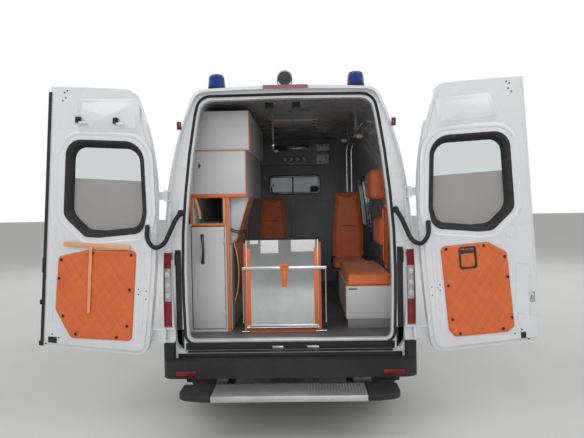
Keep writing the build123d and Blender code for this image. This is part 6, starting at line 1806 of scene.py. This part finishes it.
# Roof beads, hatch cover, aerial
beads = bmesh.new()
for x in (-0.52, -0.26, 0.0, 0.26, 0.52):
    for start, end in (((-2.05, -1.62) if abs(x) < 0.1 else (-2.25, -1.62)), (-0.80, 1.35)):
        addRidge(beads, ["roof"], [(x, start + (end - start) * k / 24, 0) for k in range(25)], downwards,
                 0.070, 0.007)
makePiece("roofBeads", beads, "cabShell")
hatch = bmesh.new()
cover = outlinePoints(boxOutline(-0.235, 0.315, -1.485, -0.965), 0.06, 6)
crown = strike(["roof"], (0.04, -1.225, 2.95), downwards)[0].z
addSlab(hatch, growOutline(cover, 0.018), crown - 0.012, crown + 0.010, "z", 0.004)
addSlab(hatch, cover, crown + 0.010, crown + 0.052, "z", 0.018, 4)
for dx in (-0.15, 0.0, 0.15):
    addBox(hatch, (0.04 + dx - 0.02, 0.04 + dx + 0.02), (-1.43, -1.02), (crown + 0.050, crown + 0.057), 0.003)
makePiece("roofHatchCover", hatch, "cabShell")
aerial = bmesh.new()
foot, normal = strike(["roof"], (-0.35, 1.05, 2.95), downwards)
addDisc(aerial, [(0.030, -0.003), (0.030, 0.006), (0.018, 0.022), (0.009, 0.034), (0.006, 0.036)], foot,
        normal, 24)
addTube(aerial, [foot + normal * 0.030, foot + normal * 0.08 + Vector((0, -0.02, 0)),
                 foot + normal * 0.150 + Vector((0, -0.06, 0))],
        0.0042, 8, radii=[0.0055, 0.0040, 0.0026])
makePiece("aerial", aerial, "blackRubber")

# Front: windscreen edge and rubber, wipers, scuttle slats, bonnet beads
edging = bmesh.new()
addBand(edging, ["body_glass"], growOutline(screen, -0.002), growOutline(screen, -0.045), onFront, backwards)
makePiece("screenEdge", edging, "glossBlack")
rubber = bmesh.new()
addOnSurface(rubber, ["cab_frame", "roof"], growOutline(screen, 0.004), onFront, backwards, 0.008, count=200)
makePiece("screenRubber", rubber, "blackRubber")
wipers = bmesh.new()
for pivot, middle, reach in ((-0.62, -0.40, 0.33), (0.16, 0.38, 0.31)):
    blade = hug(["body_glass"], [(middle - reach + 2 * reach * k / 14, 0, 1.470 + 0.030 * k / 14)
                                 for k in range(15)],
                backwards, 0.010)
    addTube(wipers, blade, 0.0055, 6, radii=[0.003] + [0.0055] * 13 + [0.003])
    spine = [p + Vector((0, 0.010, 0.008)) for p in blade[2:13]]
    addTube(wipers, spine, 0.0045, 6)
    foot = hug(["scuttle", "cab_frame"], [(pivot, 0, 1.410)], backwards, 0.0)[0]
    addDisc(wipers, [(0.018, -0.006), (0.018, 0.010), (0.013, 0.020), (0.0, 0.022)], foot, (0, 0.6, 0.8), 20)
    addTube(wipers, [foot + Vector((0, 0.010, 0.016)), foot.lerp(blade[7], 0.5) + Vector((0, 0.030, 0.022)),
                     blade[7] + Vector((0, 0.014, 0.012))], 0.007, 8, radii=[0.010, 0.007, 0.005])
makePiece("wipers", wipers, "blackPlastic")
slats = bmesh.new()
for k in range(19):
    x = -0.66 + 1.32 * k / 18
    hit = strike(["scuttle"], (x, 2.30, 2.0), downwards)
    if hit and hit[0].z > 1.1:
        edge = hug(["scuttle"], [(x, 2.285 + 0.05 * n / 4, 0) for n in range(5)], downwards, 0.001)
        addTube(slats, edge, 0.0035, 6)
makePiece("scuttleSlats", slats, "blackRubber")
ridges = bmesh.new()
for hand in (-1, 1):
    addRidge(ridges, ["bonnet"], [(hand * (0.52 - 0.10 * k / 20), 2.42 + 0.42 * k / 20, 0) for k in range(21)],
             downwards, 0.10, 0.007)
    addRidge(ridges, ["bonnet"], [(hand * (0.20 - 0.03 * k / 20), 2.44 + 0.38 * k / 20, 0) for k in range(21)],
             downwards, 0.06, 0.004)
makePiece("bonnetBeads", ridges, "bodyWhite", "bonnet_lid")
jets = bmesh.new()
for x in (-0.32, 0.32):
    spot, normal = strike(["bonnet"], (x, 2.402, 2.0), downwards)
    addDisc(jets, [(0.013, -0.001), (0.013, 0.003), (0.008, 0.009), (0.0, 0.010)], spot, normal, 18)
makePiece("washerJets", jets, "blackPlastic", "bonnet_lid")

# Grille, lower intake, plate, fog lamps, headlamps
grilleNode = ["front_bumper"]
grille = bmesh.new()
frameEdge = outlinePoints([(-0.530, 0.765), (0.530, 0.765), (0.530, 1.000), (0.42, 1.045), (-0.42, 1.045),
                           (-0.530, 1.000)], 0.04, 5)
addOnSurface(grille, grilleNode, frameEdge, onFront, backwards, 0.010)
makePiece("grilleFrame", grille, "cabShell")
bars = bmesh.new()
for level in (0.800, 0.840, 0.880, 0.920, 0.960, 1.000):
    half = 0.515 if level < 0.99 else 0.470
    path = hug(grilleNode, [(-half + 2 * half * k / 30, 0, level) for k in range(31)], backwards, 0.003)
    addTube(bars, path, 0.0085, 8)
for k in range(21):
    x = -0.48 + 0.96 * k / 20
    addTube(bars, hug(grilleNode, [(x, 0, 0.775 + 0.245 * n / 8) for n in range(9)], backwards, -0.001), 0.003,
            6)
makePiece("grilleBars", bars, "blackPlastic")
intake = bmesh.new()
mouth = outlinePoints([(-0.46, 0.345), (0.46, 0.345), (0.50, 0.395), (0.46, 0.480), (-0.46, 0.480),
                       (-0.50, 0.395)], 0.03, 5)
addOnSurface(intake, grilleNode, mouth, onFront, backwards, 0.009)
for level in (0.378, 0.412, 0.446):
    addTube(intake, hug(grilleNode, [(-0.475 + 0.95 * k / 24, 0, level) for k in range(25)], backwards,
                        -0.001), 0.007, 8)
for k in range(31):
    x = -0.45 + 0.9 * k / 30
    addTube(intake, hug(grilleNode, [(x, 0, 0.350 + 0.125 * n / 4) for n in range(5)], backwards, -0.001),
            0.0025, 5)
makePiece("intakeBars", intake, "blackRubber")
fogForms = {"fogLampRims": ([(0.078, -0.012), (0.078, 0.002), (0.070, 0.006), (0.058, 0.001), (0.056, -0.006)],
                            "blackPlastic"),
            "fogLamps": ([(0.056, -0.004), (0.052, 0.000), (0.030, 0.003), (0.0, 0.004)], "lampDiffuser")}
for name, (profile, material) in fogForms.items():
    front = bmesh.new()
    for hand in (-1, 1):
        spot, normal = strike(grilleNode, (hand * 0.68, 3.4, 0.415), backwards)
        addDisc(front, profile, spot, normal, 36)
    makePiece(name, front, material)
lines = bmesh.new()
for level, half in ((0.735, 0.84), (0.545, 0.86)):
    addTube(lines, hug(grilleNode, [(-half + 2 * half * k / 44, 0, level) for k in range(45)], backwards,
                       -0.001), 0.004, 6)
makePiece("bumperLines", lines, "blackRubber")
plate = bmesh.new()
places = hug(grilleNode, [(-0.26 + 0.52 * k / 12, 0, 0.300) for k in range(13)], backwards, 0.0)
addLoft(plate, [[p + Vector((0, 0.001, -0.040)), p + Vector((0, 0.0025, -0.040)),
                 p + Vector((0, 0.0025, 0.030)),
                 p + Vector((0, 0.001, 0.030))] for p in places])
makePiece("blankFrontPlate", plate, "paperWhite")
bowls, glow, reflect = bmesh.new(), bmesh.new(), bmesh.new()
for hand in (-1, 1):
    for x, z, r, target in ((0.655, 0.905, 0.072, bowls), (0.790, 0.965, 0.056, bowls),
                            (0.845, 1.050, 0.030, glow)):
        spot, normal = strike(["lamps"], (hand * x, 3.4, z), backwards)
        addDisc(target, [(r, -0.002), (r, 0.0012), (r * 0.93, 0.0020), (r * 0.88, 0.0004), (r * 0.5, -0.0008),
                         (0.0, -0.0010)]
                if target is bowls else [(r, -0.002), (r, 0.0010), (r * 0.7, 0.0020), (0.0, 0.0022)], spot,
                normal, 36)
        if target is bowls:
            addDisc(reflect, [(r * 0.34, -0.001), (r * 0.34, 0.0016), (r * 0.2, 0.0026), (0.0, 0.0030)], spot,
                    normal, 24)
makePiece("headlampBowls", bowls, "mirrorSheetPaintedDimReflection")
makePiece("headlampIndicators", glow, "lampAmber")
makePiece("headlampLenses", reflect, "lampClear")
lens = bmesh.new()
headlamp = outlinePoints([(0.572, 0.785), (0.572, 0.957), (0.642, 1.042), (0.872, 1.110), (0.890, 1.040),
                          (0.812, 0.808)], 0.03, 5)
addOnSurface(lens, ["lamps"], headlamp, onFront, backwards, 0.0035)
addMirrored(lens)
makePiece("headlampRims", lens, "glossBlack")
print("outside made")


# Cab inside

wheelCentre, columnWay = Vector((-0.430, 1.500, 1.330)), Vector((0, math.cos(math.radians(40)),
                                                                 -math.sin(math.radians(40))))
acrossWheel = Vector((1, 0, 0))
upWheel = columnWay.cross(acrossWheel) * -1


def onWheel(right, up, back=0.0):
    # a place in the plane of the steering wheel, back towards the driver
    return wheelCentre + acrossWheel * right + upWheel * up - columnWay * back


rim = bmesh.new()
addTube(rim, [onWheel(0.190 * math.cos(t), 0.190 * math.sin(t)) for t in circleAngles(64)], 0.0142, 14,
        closed=True)
for turn in (0, 180, 255, 285):
    t = math.radians(turn)
    addTube(rim, [onWheel(r * math.cos(t), r * math.sin(t), 0.006 - 0.010 * (1 - r / 0.19))
                  for r in (0.03, 0.08, 0.13, 0.188)],
            0.011, 10, radii=[0.019, 0.015, 0.012, 0.011])
makePiece("steeringRim", rim, "dashGrey", "steering", replaces=["steering_wheel"])
hub = bmesh.new()
pad = outlinePoints([(-0.085, -0.060), (0.085, -0.060), (0.095, 0.045), (-0.095, 0.045)], 0.035, 6)
addLoft(hub, [[onWheel(a * s, b * s, back) for a, b in pad] for s,
              back in ((0.82, -0.040), (0.98, -0.015), (1.0, 0.004), (0.94, 0.012),
                                                                              (0.80, 0.0155), (0.4, 0.0165))])
addTube(hub, [onWheel(0, 0, -0.044), onWheel(0, 0, -0.035)], 0.050, 24)
makePiece("steeringHub", hub, "blackPlastic", "steering")

dash = bmesh.new()
hood = [(-0.62, 1.338), (-0.60, 1.385), (-0.55, 1.396), (-0.31, 1.396), (-0.26, 1.385), (-0.24, 1.338)]
addLoft(dash, [[(x, y, z + drop) for x, z in hood] for y,
               drop in ((1.780, 0.0), (1.800, 0.002), (1.900, -0.006), (1.985, -0.020))])
addSlab(dash, outlinePoints([(1.62, 1.18), (1.66, 1.29), (1.80, 1.24), (1.84, 1.10), (1.70, 1.10)], 0.02, 4),
        -0.500, -0.360, "x", 0.01)
addSlab(dash, outlinePoints([(-0.16, 0.98), (0.20, 0.98), (0.19, 1.245), (-0.15, 1.245)], 0.03, 5), 1.665,
        1.730, "y", 0.008)
addBox(dash, (-0.12, 0.16), (1.660, 1.745), (0.70, 0.99), 0.02)
for x in (-0.79, -0.72):
    addBox(dash, (x, x + 0.006), (1.690, 1.705), (1.09, 1.24), 0.002)
makePiece("dashHood", dash, "blackPlastic")
trimWork = bmesh.new()
half = 0.055
for x in (-0.755, -0.075, 0.115, 0.745):
    shape = outlinePoints(boxOutline(x - half, x + half, 1.185, 1.240), 0.012, 4)
    front = 1.662 if abs(x) < 0.2 else 1.697
    addRing(trimWork, shape, [(0.0, 0.0), (0.0, -0.004), (-0.006, -0.004), (-0.006, 0.0)], front)
    for k in range(4):
        addBox(trimWork, (x - half + 0.006, x + half - 0.006), (front - 0.0025, front + 0.002),
               (1.194 + 0.0105 * k, 1.1975 + 0.0105 * k), 0.001)
for x in (-0.105, 0.02, 0.145):
    addDisc(trimWork, [(0.021, 0.0), (0.021, 0.006), (0.017, 0.016), (0.004, 0.018), (0.0, 0.018)],
            (x, 1.665, 1.030), backwards, 24)
addBox(trimWork, (-0.090, 0.130), (1.6605, 1.666), (1.085, 1.150), 0.003)
makePiece("dashControls", trimWork, "glossBlack")
dialForms = {"dialRims": ([(0.052, 0.0), (0.052, 0.006), (0.047, 0.007), (0.045, 0.002)], "brightSteel"),
             "dialFaces": ([(0.045, -0.004), (0.045, 0.0025), (0.0, 0.0028)], "glossBlack")}
for name, (profile, material) in dialForms.items():
    dials = bmesh.new()
    for x in (-0.505, -0.355):
        addDisc(dials, profile, (x, 1.782, 1.357), (0, -0.94, 0.34), 32)
    makePiece(name, dials, material)
needles = bmesh.new()
for x, turn in ((-0.505, 215), (-0.355, 225)):
    t = math.radians(turn)
    centre = Vector((x, 1.7785, 1.3585))
    addTube(needles, [centre, centre + Vector((0.034 * math.cos(t), -0.001, 0.034 * math.sin(t)))], 0.0012, 6)
makePiece("dialNeedles", needles, "lampRed")
levers = bmesh.new()
addDisc(levers, [(0.075, 0.0), (0.07, 0.012), (0.045, 0.035), (0.022, 0.050)], (0.02, 1.655, 0.900),
        (0, -0.85, 0.5), 24)
addTube(levers, roundPath([(0.02, 1.640, 0.905), (0.02, 1.560, 1.000), (0.02, 1.530, 1.080)], 0.05), 0.008, 10)
addTube(levers, roundPath([(-0.06, 0.98, 0.700), (-0.06, 1.03, 0.86), (-0.06, 1.20, 0.93)], 0.08), 0.013, 12)
addBox(levers, (-0.10, -0.02), (0.93, 1.10), (floorTop, 0.72), 0.01)
for x, width in ((-0.560, 0.030), (-0.430, 0.034), (-0.310, 0.022)):
    addTube(levers, [(x, 1.900, 0.98), (x, 1.840, 0.86), (x, 1.800, 0.790)], 0.008, 8)
    addBox(levers, (x - width, x + width), (1.778, 1.792), (0.755, 0.815), 0.004)
for side in (-1, 1):
    t = columnWay * 0.075 + wheelCentre
    addTube(levers, [t + acrossWheel * side * 0.03, t + acrossWheel * side * 0.10 + Vector((0, -0.01, 0.01)),
                     t + acrossWheel * side * 0.185 + Vector((0, -0.02, 0.02))], 0.006, 8,
            radii=[0.005, 0.006, 0.009])
makePiece("cabLevers", levers, "blackPlastic")
knob = bmesh.new()
addDisc(knob, [(0.0, -0.020), (0.014, -0.016), (0.024, 0.004), (0.024, 0.016), (0.014, 0.030), (0.0, 0.033)],
        (0.02, 1.527, 1.085), (0, -0.35, 0.94), 24)
makePiece("gearKnob", knob, "glossBlack")

for hand, label in ((1, "Right"), (-1, "Left")):
    doorNode, doorBody = f"cab_door_{label.lower()}", f"{label.lower()}_cab_door"
    inside = strike([doorNode], (hand * 0.30, 1.20, 1.05), (hand, 0, 0))[0].x
    trimWork = bmesh.new()
    shape = outlinePoints([(0.870, 0.640), (0.870, 1.300), (1.260, 1.300), (1.420, 1.240), (1.560, 1.240),
                           (1.560, 0.780), (1.480, 0.640)],
                          0.05, 5)
    addSlab(trimWork, shape, inside + hand * 0.001, inside - hand * 0.006, "x", 0.003)
    addSlab(trimWork, outlinePoints([(0.98, 1.045), (1.42, 1.075), (1.46, 1.115), (1.42, 1.130),
                                     (0.98, 1.115)], 0.02, 4),
            inside - hand * 0.004, inside - hand * 0.052, "x", 0.012)
    addSlab(trimWork, outlinePoints([(0.92, 0.69), (1.44, 0.69), (1.46, 0.84), (0.92, 0.81)], 0.03, 4),
            inside - hand * 0.004, inside - hand * 0.038, "x", 0.008)
    makePiece(f"cabDoorTrim{label}", trimWork, "dashGrey", doorBody)
    fittings = bmesh.new()
    addDisc(fittings, [(0.062, 0.0), (0.062, 0.004), (0.055, 0.007), (0.020, 0.004), (0.0, 0.004)],
            (inside - hand * 0.006, 1.470, 0.900),
            (-hand, 0, 0), 36)
    addTube(fittings, roundPath([(inside - hand * 0.004, 1.44, 1.185), (inside - hand * 0.030, 1.43, 1.185),
                                 (inside - hand * 0.030, 1.35, 1.185)], 0.02), 0.008, 10)
    makePiece(f"cabDoorFittings{label}", fittings, "blackPlastic", doorBody)

# Wheel arches, springs and dampers

archLevel = 0.390
for hand, label in ((1, "Right"), (-1, "Left")):
    liner = bmesh.new()
    for centre, radius, inner, outer in ((frontAxle, 0.424, 0.600, 0.905), (rearAxle, 0.412, 0.655, 0.925)):
        arcs = [math.radians(a) for a in spread(-4, 184, 40)]
        section = boxOutline(inner, outer, radius, radius - 0.004)
        addLoft(liner, [[(hand * x, centre + r * math.cos(t), archLevel + r * math.sin(t)) for x, r in section]
                        for t in arcs])
        for x in (inner + 0.06, inner + 0.14, inner + 0.22):
            addTube(liner, [(hand * x, centre + (radius - 0.003) * math.cos(t),
                             archLevel + (radius - 0.003) * math.sin(t)) for t in arcs[1:-1]], 0.0035, 6)
    addBox(liner, sorted((hand * 0.715, hand * 0.925)), (-2.035, -2.026), (0.165, 0.480), 0.003)
    addBox(liner, sorted((hand * 0.715, hand * 0.905)), (1.618, 1.627), (0.200, 0.440), 0.003)
    makePiece(f"archLiners{label}", liner, "blackRubber")
    coil = bmesh.new()
    turns = 5.5
    addTube(coil, [(hand * (0.560 + 0.046 * math.cos(t)), frontAxle + 0.046 * math.sin(t),
                    0.470 + 0.27 * t / (2 * math.pi * turns))
                   for t in (2 * math.pi * turns * k / 110 for k in range(111))], 0.0075, 8)
    addDisc(coil, [(0.056, 0.0), (0.056, 0.012), (0.030, 0.016), (0.0, 0.016)],
            (hand * 0.560, frontAxle, 0.452), (0, 0, 1), 24)
    addDisc(coil, [(0.056, 0.0), (0.056, 0.012), (0.040, 0.060), (0.0, 0.070)],
            (hand * 0.560, frontAxle, 0.742), (0, 0, 1), 24)
    addDisc(coil, [(0.022, 0.0), (0.022, 0.16), (0.012, 0.165), (0.012, 0.29), (0.0, 0.29)],
            (hand * 0.560, frontAxle, 0.455), (0, 0, 1), 20)
    for y in (-1.655, -1.475):
        addTube(coil, roundPath([(hand * 0.430, y, 0.495), (hand * 0.428, y, 0.298), (hand * 0.492, y, 0.298),
                                 (hand * 0.490, y, 0.495)],
                                0.02), 0.007, 8)
    addBox(coil, sorted((hand * 0.424, hand * 0.496)), (-1.680, -1.450), (0.491, 0.503), 0.003)
    a, b = Vector((hand * 0.370, -1.700, 0.330)), Vector((hand * 0.390, -1.930, 0.590))
    addTube(coil, [a, a.lerp(b, 0.55)], 0.026, 16)
    addTube(coil, [a.lerp(b, 0.5), b], 0.020, 16)
    addTube(coil, [b - Vector((hand * 0.03, 0, 0)), b + Vector((hand * 0.032, 0, 0))], 0.014, 12)
    makePiece(f"springsAndDampers{label}", coil, "castIron")

# Underbody: brake pipes, straps, clamps, bolts, heat shield

pipes = bmesh.new()
for k, x in enumerate((-0.405, -0.392)):
    addTube(pipes, roundPath([(x, 2.30, 0.560), (x, 1.10, 0.560), (x + 0.02, 0.95, 0.575),
                              (x + 0.02, -1.20, 0.575),
                              (x + 0.10 + 0.02 * k, -1.42, 0.520), (x + 0.10, -1.50, 0.402)], 0.05), 0.004, 6)
for side in (-1, 1):
    addTube(pipes, roundPath([(0.0, -1.50, 0.500), (side * 0.10, -1.53, 0.480), (side * 0.30, -1.54, 0.400),
                              (side * 0.66, -1.54, 0.401)],
                             0.04), 0.004, 6)
addTube(pipes, roundPath([(-0.55, 0.36, 0.45), (-0.55, 0.44, 0.50), (-0.36, 0.60, 0.55), (-0.36, 1.90, 0.55),
                          (-0.20, 2.10, 0.60)], 0.06),
        0.006, 8)
makePiece("brakePipes", pipes, "brightSteel")
bands = bmesh.new()
for y in (-0.50, 0.15):
    band = growOutline(outlinePoints(boxOutline(-0.850, -0.480, 0.330, 0.600), 0.032, 5), 0.0005)
    addRing(bands, band, boxOutline(0.0, 0.003, y - 0.020, y + 0.020))
    addBox(bands, (-0.90, -0.43), (y - 0.018, y + 0.018), (0.6035, 0.612), 0.002)
for y, r in ((0.518, 0.0865), (0.22, 0.0862), (-0.078, 0.0865), (-0.42, 0.031), (-1.45, 0.031), (1.20, 0.031)):
    level = 0.430 if y > -0.3 else (0.443 if y > -0.6 else 0.462)
    addDisc(bands, [(r - 0.004, -0.012), (r, -0.011), (r + 0.0015, 0.0), (r, 0.011), (r - 0.004, 0.012)],
            (0.600, y, level), (0, 1, 0), 32)
makePiece("tankStraps", bands, "galvanised")
shaft = bmesh.new()
for y, z in ((-1.300, 0.362), (1.450, 0.478), (0.10, 0.416)):
    addDisc(shaft, [(0.040, -0.045), (0.058, -0.040), (0.058, -0.028), (0.046, -0.020), (0.046, 0.020),
                    (0.058, 0.028), (0.058, 0.040),
                    (0.040, 0.045)], (0, y, z), (0, 1, 0.04), 28)
addBox(shaft, (-0.42, 0.42), (0.075, 0.125), (0.455, 0.492), 0.006)
addLathe(shaft, [(0.0, -0.085), (0.10, -0.080), (0.118, -0.055), (0.118, -0.045), (0.0, -0.040)],
         (0, rearAxle - 0.086, wheelRadius), "y", 32)
for k in range(10):
    t = 2 * math.pi * k / 10
    addDisc(shaft, [(0.009, -0.012), (0.009, 0.002), (0.0, 0.003)],
            (0.106 * math.cos(t), -1.7085, 0.350 + 0.106 * math.sin(t)), backwards, 6)
makePiece("shaftJoints", shaft, "castIron")
bolts = bmesh.new()
for hand in (-1, 1):
    for y in (-2.45, -1.0, 0.15, 1.25, 2.05, 2.15):
        for dy in (-0.018, 0.018):
            addDisc(bolts, [(0.011, -0.003), (0.011, 0.006), (0.008, 0.008), (0.0, 0.008)],
                    (hand * 0.450, y + dy, 0.4995 if y < 2 else 0.2995),
                    downwards, 6)
    for y in (1.99, 2.206):
        addDisc(bolts, [(0.013, -0.003), (0.013, 0.007), (0.0, 0.008)], (hand * 0.40, y, 0.2615), downwards, 6)
makePiece("frameBolts", bolts, "galvanised")
shield = bmesh.new()
addLoft(shield, [[(0.600 + r * math.cos(t), y, 0.436 + r * math.sin(t)) for r, t in
                  [(0.104, math.radians(a)) for a in range(15, 170, 12)] + [(0.1025, math.radians(a))
                                                                            for a in range(165, 10, -12)]]
                 for y in (-0.10, -0.02, 0.06, 0.14, 0.22, 0.30, 0.38, 0.46, 0.54)])
makePiece("heatShield", shield, "rolledAluminium")

# Engine bay, seen with the bonnet up

engine = bmesh.new()
addBox(engine, (-0.250, 0.250), (2.180, 2.700), (0.9995, 1.030), 0.012, 3)
addBox(engine, (-0.175, 0.165), (2.220, 2.660), (1.025, 1.052), 0.012, 3)
for k in range(6):
    addBox(engine, (-0.155, 0.145), (2.262 + 0.066 * k, 2.276 + 0.066 * k), (1.050, 1.056), 0.002)
addDisc(engine, [(0.034, -0.01), (0.034, 0.008), (0.028, 0.014), (0.0, 0.016)], (0.10, 2.60, 1.052), (0, 0, 1),
        28)
addBoxes(engine, [(0.500, 0.720, 2.560, 2.760, 0.690, 0.900, 0.014),
                  (-0.740, -0.500, 2.560, 2.740, 0.690, 0.880, 0.010)])
for path in ([(0.25, 2.30, 0.95), (0.38, 2.32, 0.98), (0.46, 2.45, 0.96), (0.56, 2.60, 0.88)],
             [(-0.28, 2.70, 0.90), (-0.36, 2.78, 0.90), (-0.40, 2.86, 0.84)],
             [(0.28, 2.74, 0.80), (0.38, 2.82, 0.80), (0.40, 2.86, 0.86)]):
    addTube(engine, roundPath(path, 0.06), 0.030, 14)
addLathe(engine, [(0.0, -0.02), (0.085, -0.015), (0.095, 0.0), (0.060, 0.012), (0.0, 0.014)],
         (0.0, 2.872, 0.640), "y", 32)
makePiece("engineCovers", engine, "blackPlastic")
core = bmesh.new()
addBox(core, (-0.40, 0.40), (2.895, 2.925), (0.560, 1.000), 0.004)
for k in range(36):
    z = 0.575 + 0.0115 * k
    addBox(core, (-0.37, 0.37), (2.8925, 2.896), (z, z + 0.003), 0.0006, 1)
addBox(core, (0.515, 0.705), (2.575, 2.745), (0.898, 0.912), 0.003)
for x in (-0.70, -0.56):
    addDisc(core, [(0.010, -0.002), (0.009, 0.016), (0.0, 0.017)], (x, 2.65, 0.880), (0, 0, 1), 16)
makePiece("radiatorCore", core, "galvanised")
tanks = bmesh.new()
addBox(tanks, (-0.700, -0.540), (2.400, 2.520), (0.860, 0.990), 0.030, 4)
addDisc(tanks, [(0.026, -0.004), (0.026, 0.018), (0.020, 0.022), (0.0, 0.022)], (-0.62, 2.46, 0.990),
        (0, 0, 1), 24)
addBox(tanks, (0.560, 0.680), (2.380, 2.500), (0.860, 0.970), 0.030, 4)
addDisc(tanks, [(0.024, -0.004), (0.024, 0.018), (0.018, 0.022), (0.0, 0.022)], (0.62, 2.44, 0.970), (0, 0, 1),
        24)
makePiece("fluidTanks", tanks, "lampDiffuser")
print("cab and underbody made")


# Floor, light and camera

studio = {
    "floorSize": 60, "floorShade": (0.72, 0.72, 0.71), "camera": (0.133, -7.2095, 1.7206), "yaw": -0.02218,
    "pitch": -0.02788, "roll": -0.01763, "lens": 36.99, "sensor": 36, "worldLight": 0.44,
    "lights": [  # place, aim, size, watts
        ((-5.5, -9.0, 7.5), (0, -2.0, 1.2), 6.0, 225),
        ((6.5, -7.0, 7.0), (0, -1.5, 1.2), 6.0, 180),
        ((0, -9.5, 3.2), (0, -1.5, 1.3), 4.0, 85),
        ((-5.0, 7.5, 7.0), (0, 2.0, 1.0), 6.0, 180),
        ((6.0, 6.5, 7.0), (0, 2.0, 1.0), 6.0, 180),
    ],
}


def pathBoost(tree):
    # shows the backdrop white to the camera, to gloss and through glass
    path = tree.nodes.new("ShaderNodeLightPath")
    seen = addMath(tree, "MAXIMUM", path.outputs["Is Camera Ray"], path.outputs["Is Transmission Ray"])
    seen = addMath(tree, "MAXIMUM", seen, path.outputs["Is Glossy Ray"])
    return seen


world = bpy.data.worlds.new("studio")
bpy.context.scene.world = world
world.use_nodes = True
sky = world.node_tree.nodes["Background"]
sky.inputs["Color"].default_value = (1, 1, 1, 1)
seen = pathBoost(world.node_tree)
lift = world.node_tree.nodes.new("ShaderNodeMapRange")
lift.inputs["To Min"].default_value = studio["worldLight"]
lift.inputs["To Max"].default_value = 1.0
world.node_tree.links.new(seen, lift.inputs["Value"])
world.node_tree.links.new(lift.outputs["Result"], sky.inputs["Strength"])

ground = bmesh.new()
bmesh.ops.create_grid(ground, x_segments=1, y_segments=1, size=studio["floorSize"])
groundMesh = bpy.data.meshes.new("studioFloor")
ground.to_mesh(groundMesh)
ground.free()
studioFloor = bpy.data.objects.new("studioFloor", groundMesh)
collection.objects.link(studioFloor)
floorMaterial, floorTree, floorShader, floorPlace = startMaterial("studioFloorFinish")
floorCloud = placeGroup(floorTree, "variation", floorPlace, Scale=0.8)
floorColor = mixColors(floorTree, floorCloud.outputs[0], studio["floorShade"],
                       tuple(v * 0.96 for v in studio["floorShade"]))
floorTree.links.new(floorColor, floorShader.inputs["Base Color"])
floorShader.inputs["Roughness"].default_value = 0.85
groundMesh.materials.append(floorMaterial)

for number, (place, aim, size, watts) in enumerate(studio["lights"]):
    lamp = bpy.data.lights.new(f"softbox{number}", "AREA")
    lamp.shape = "DISK"
    lamp.size = size
    lamp.energy = watts
    holder = bpy.data.objects.new(lamp.name, lamp)
    collection.objects.link(holder)
    holder.location = place
    holder.rotation_euler = (Vector(aim) - Vector(place)).to_track_quat("-Z", "Y").to_euler()

forward = Vector((math.sin(studio["yaw"]) * math.cos(studio["pitch"]),
                  math.cos(studio["yaw"]) * math.cos(studio["pitch"]), math.sin(studio["pitch"])))
level = Vector((math.cos(studio["yaw"]), -math.sin(studio["yaw"]), 0))
upward = level.cross(forward)
across = math.cos(studio["roll"]) * level + math.sin(studio["roll"]) * upward
upward = -math.sin(studio["roll"]) * level + math.cos(studio["roll"]) * upward
cameraData = bpy.data.cameras.new("photoCamera")
cameraData.sensor_fit = "HORIZONTAL"
cameraData.sensor_width = studio["sensor"]
cameraData.lens = studio["lens"]
camera = bpy.data.objects.new("photoCamera", cameraData)
collection.objects.link(camera)
camera.matrix_world = Matrix.Translation(Vector(studio["camera"])) @ Matrix(
    (across, upward, -forward)).transposed().to_4x4()
bpy.context.scene.camera = camera
bpy.context.scene.view_settings.view_transform = "Standard"
print("studio ready")
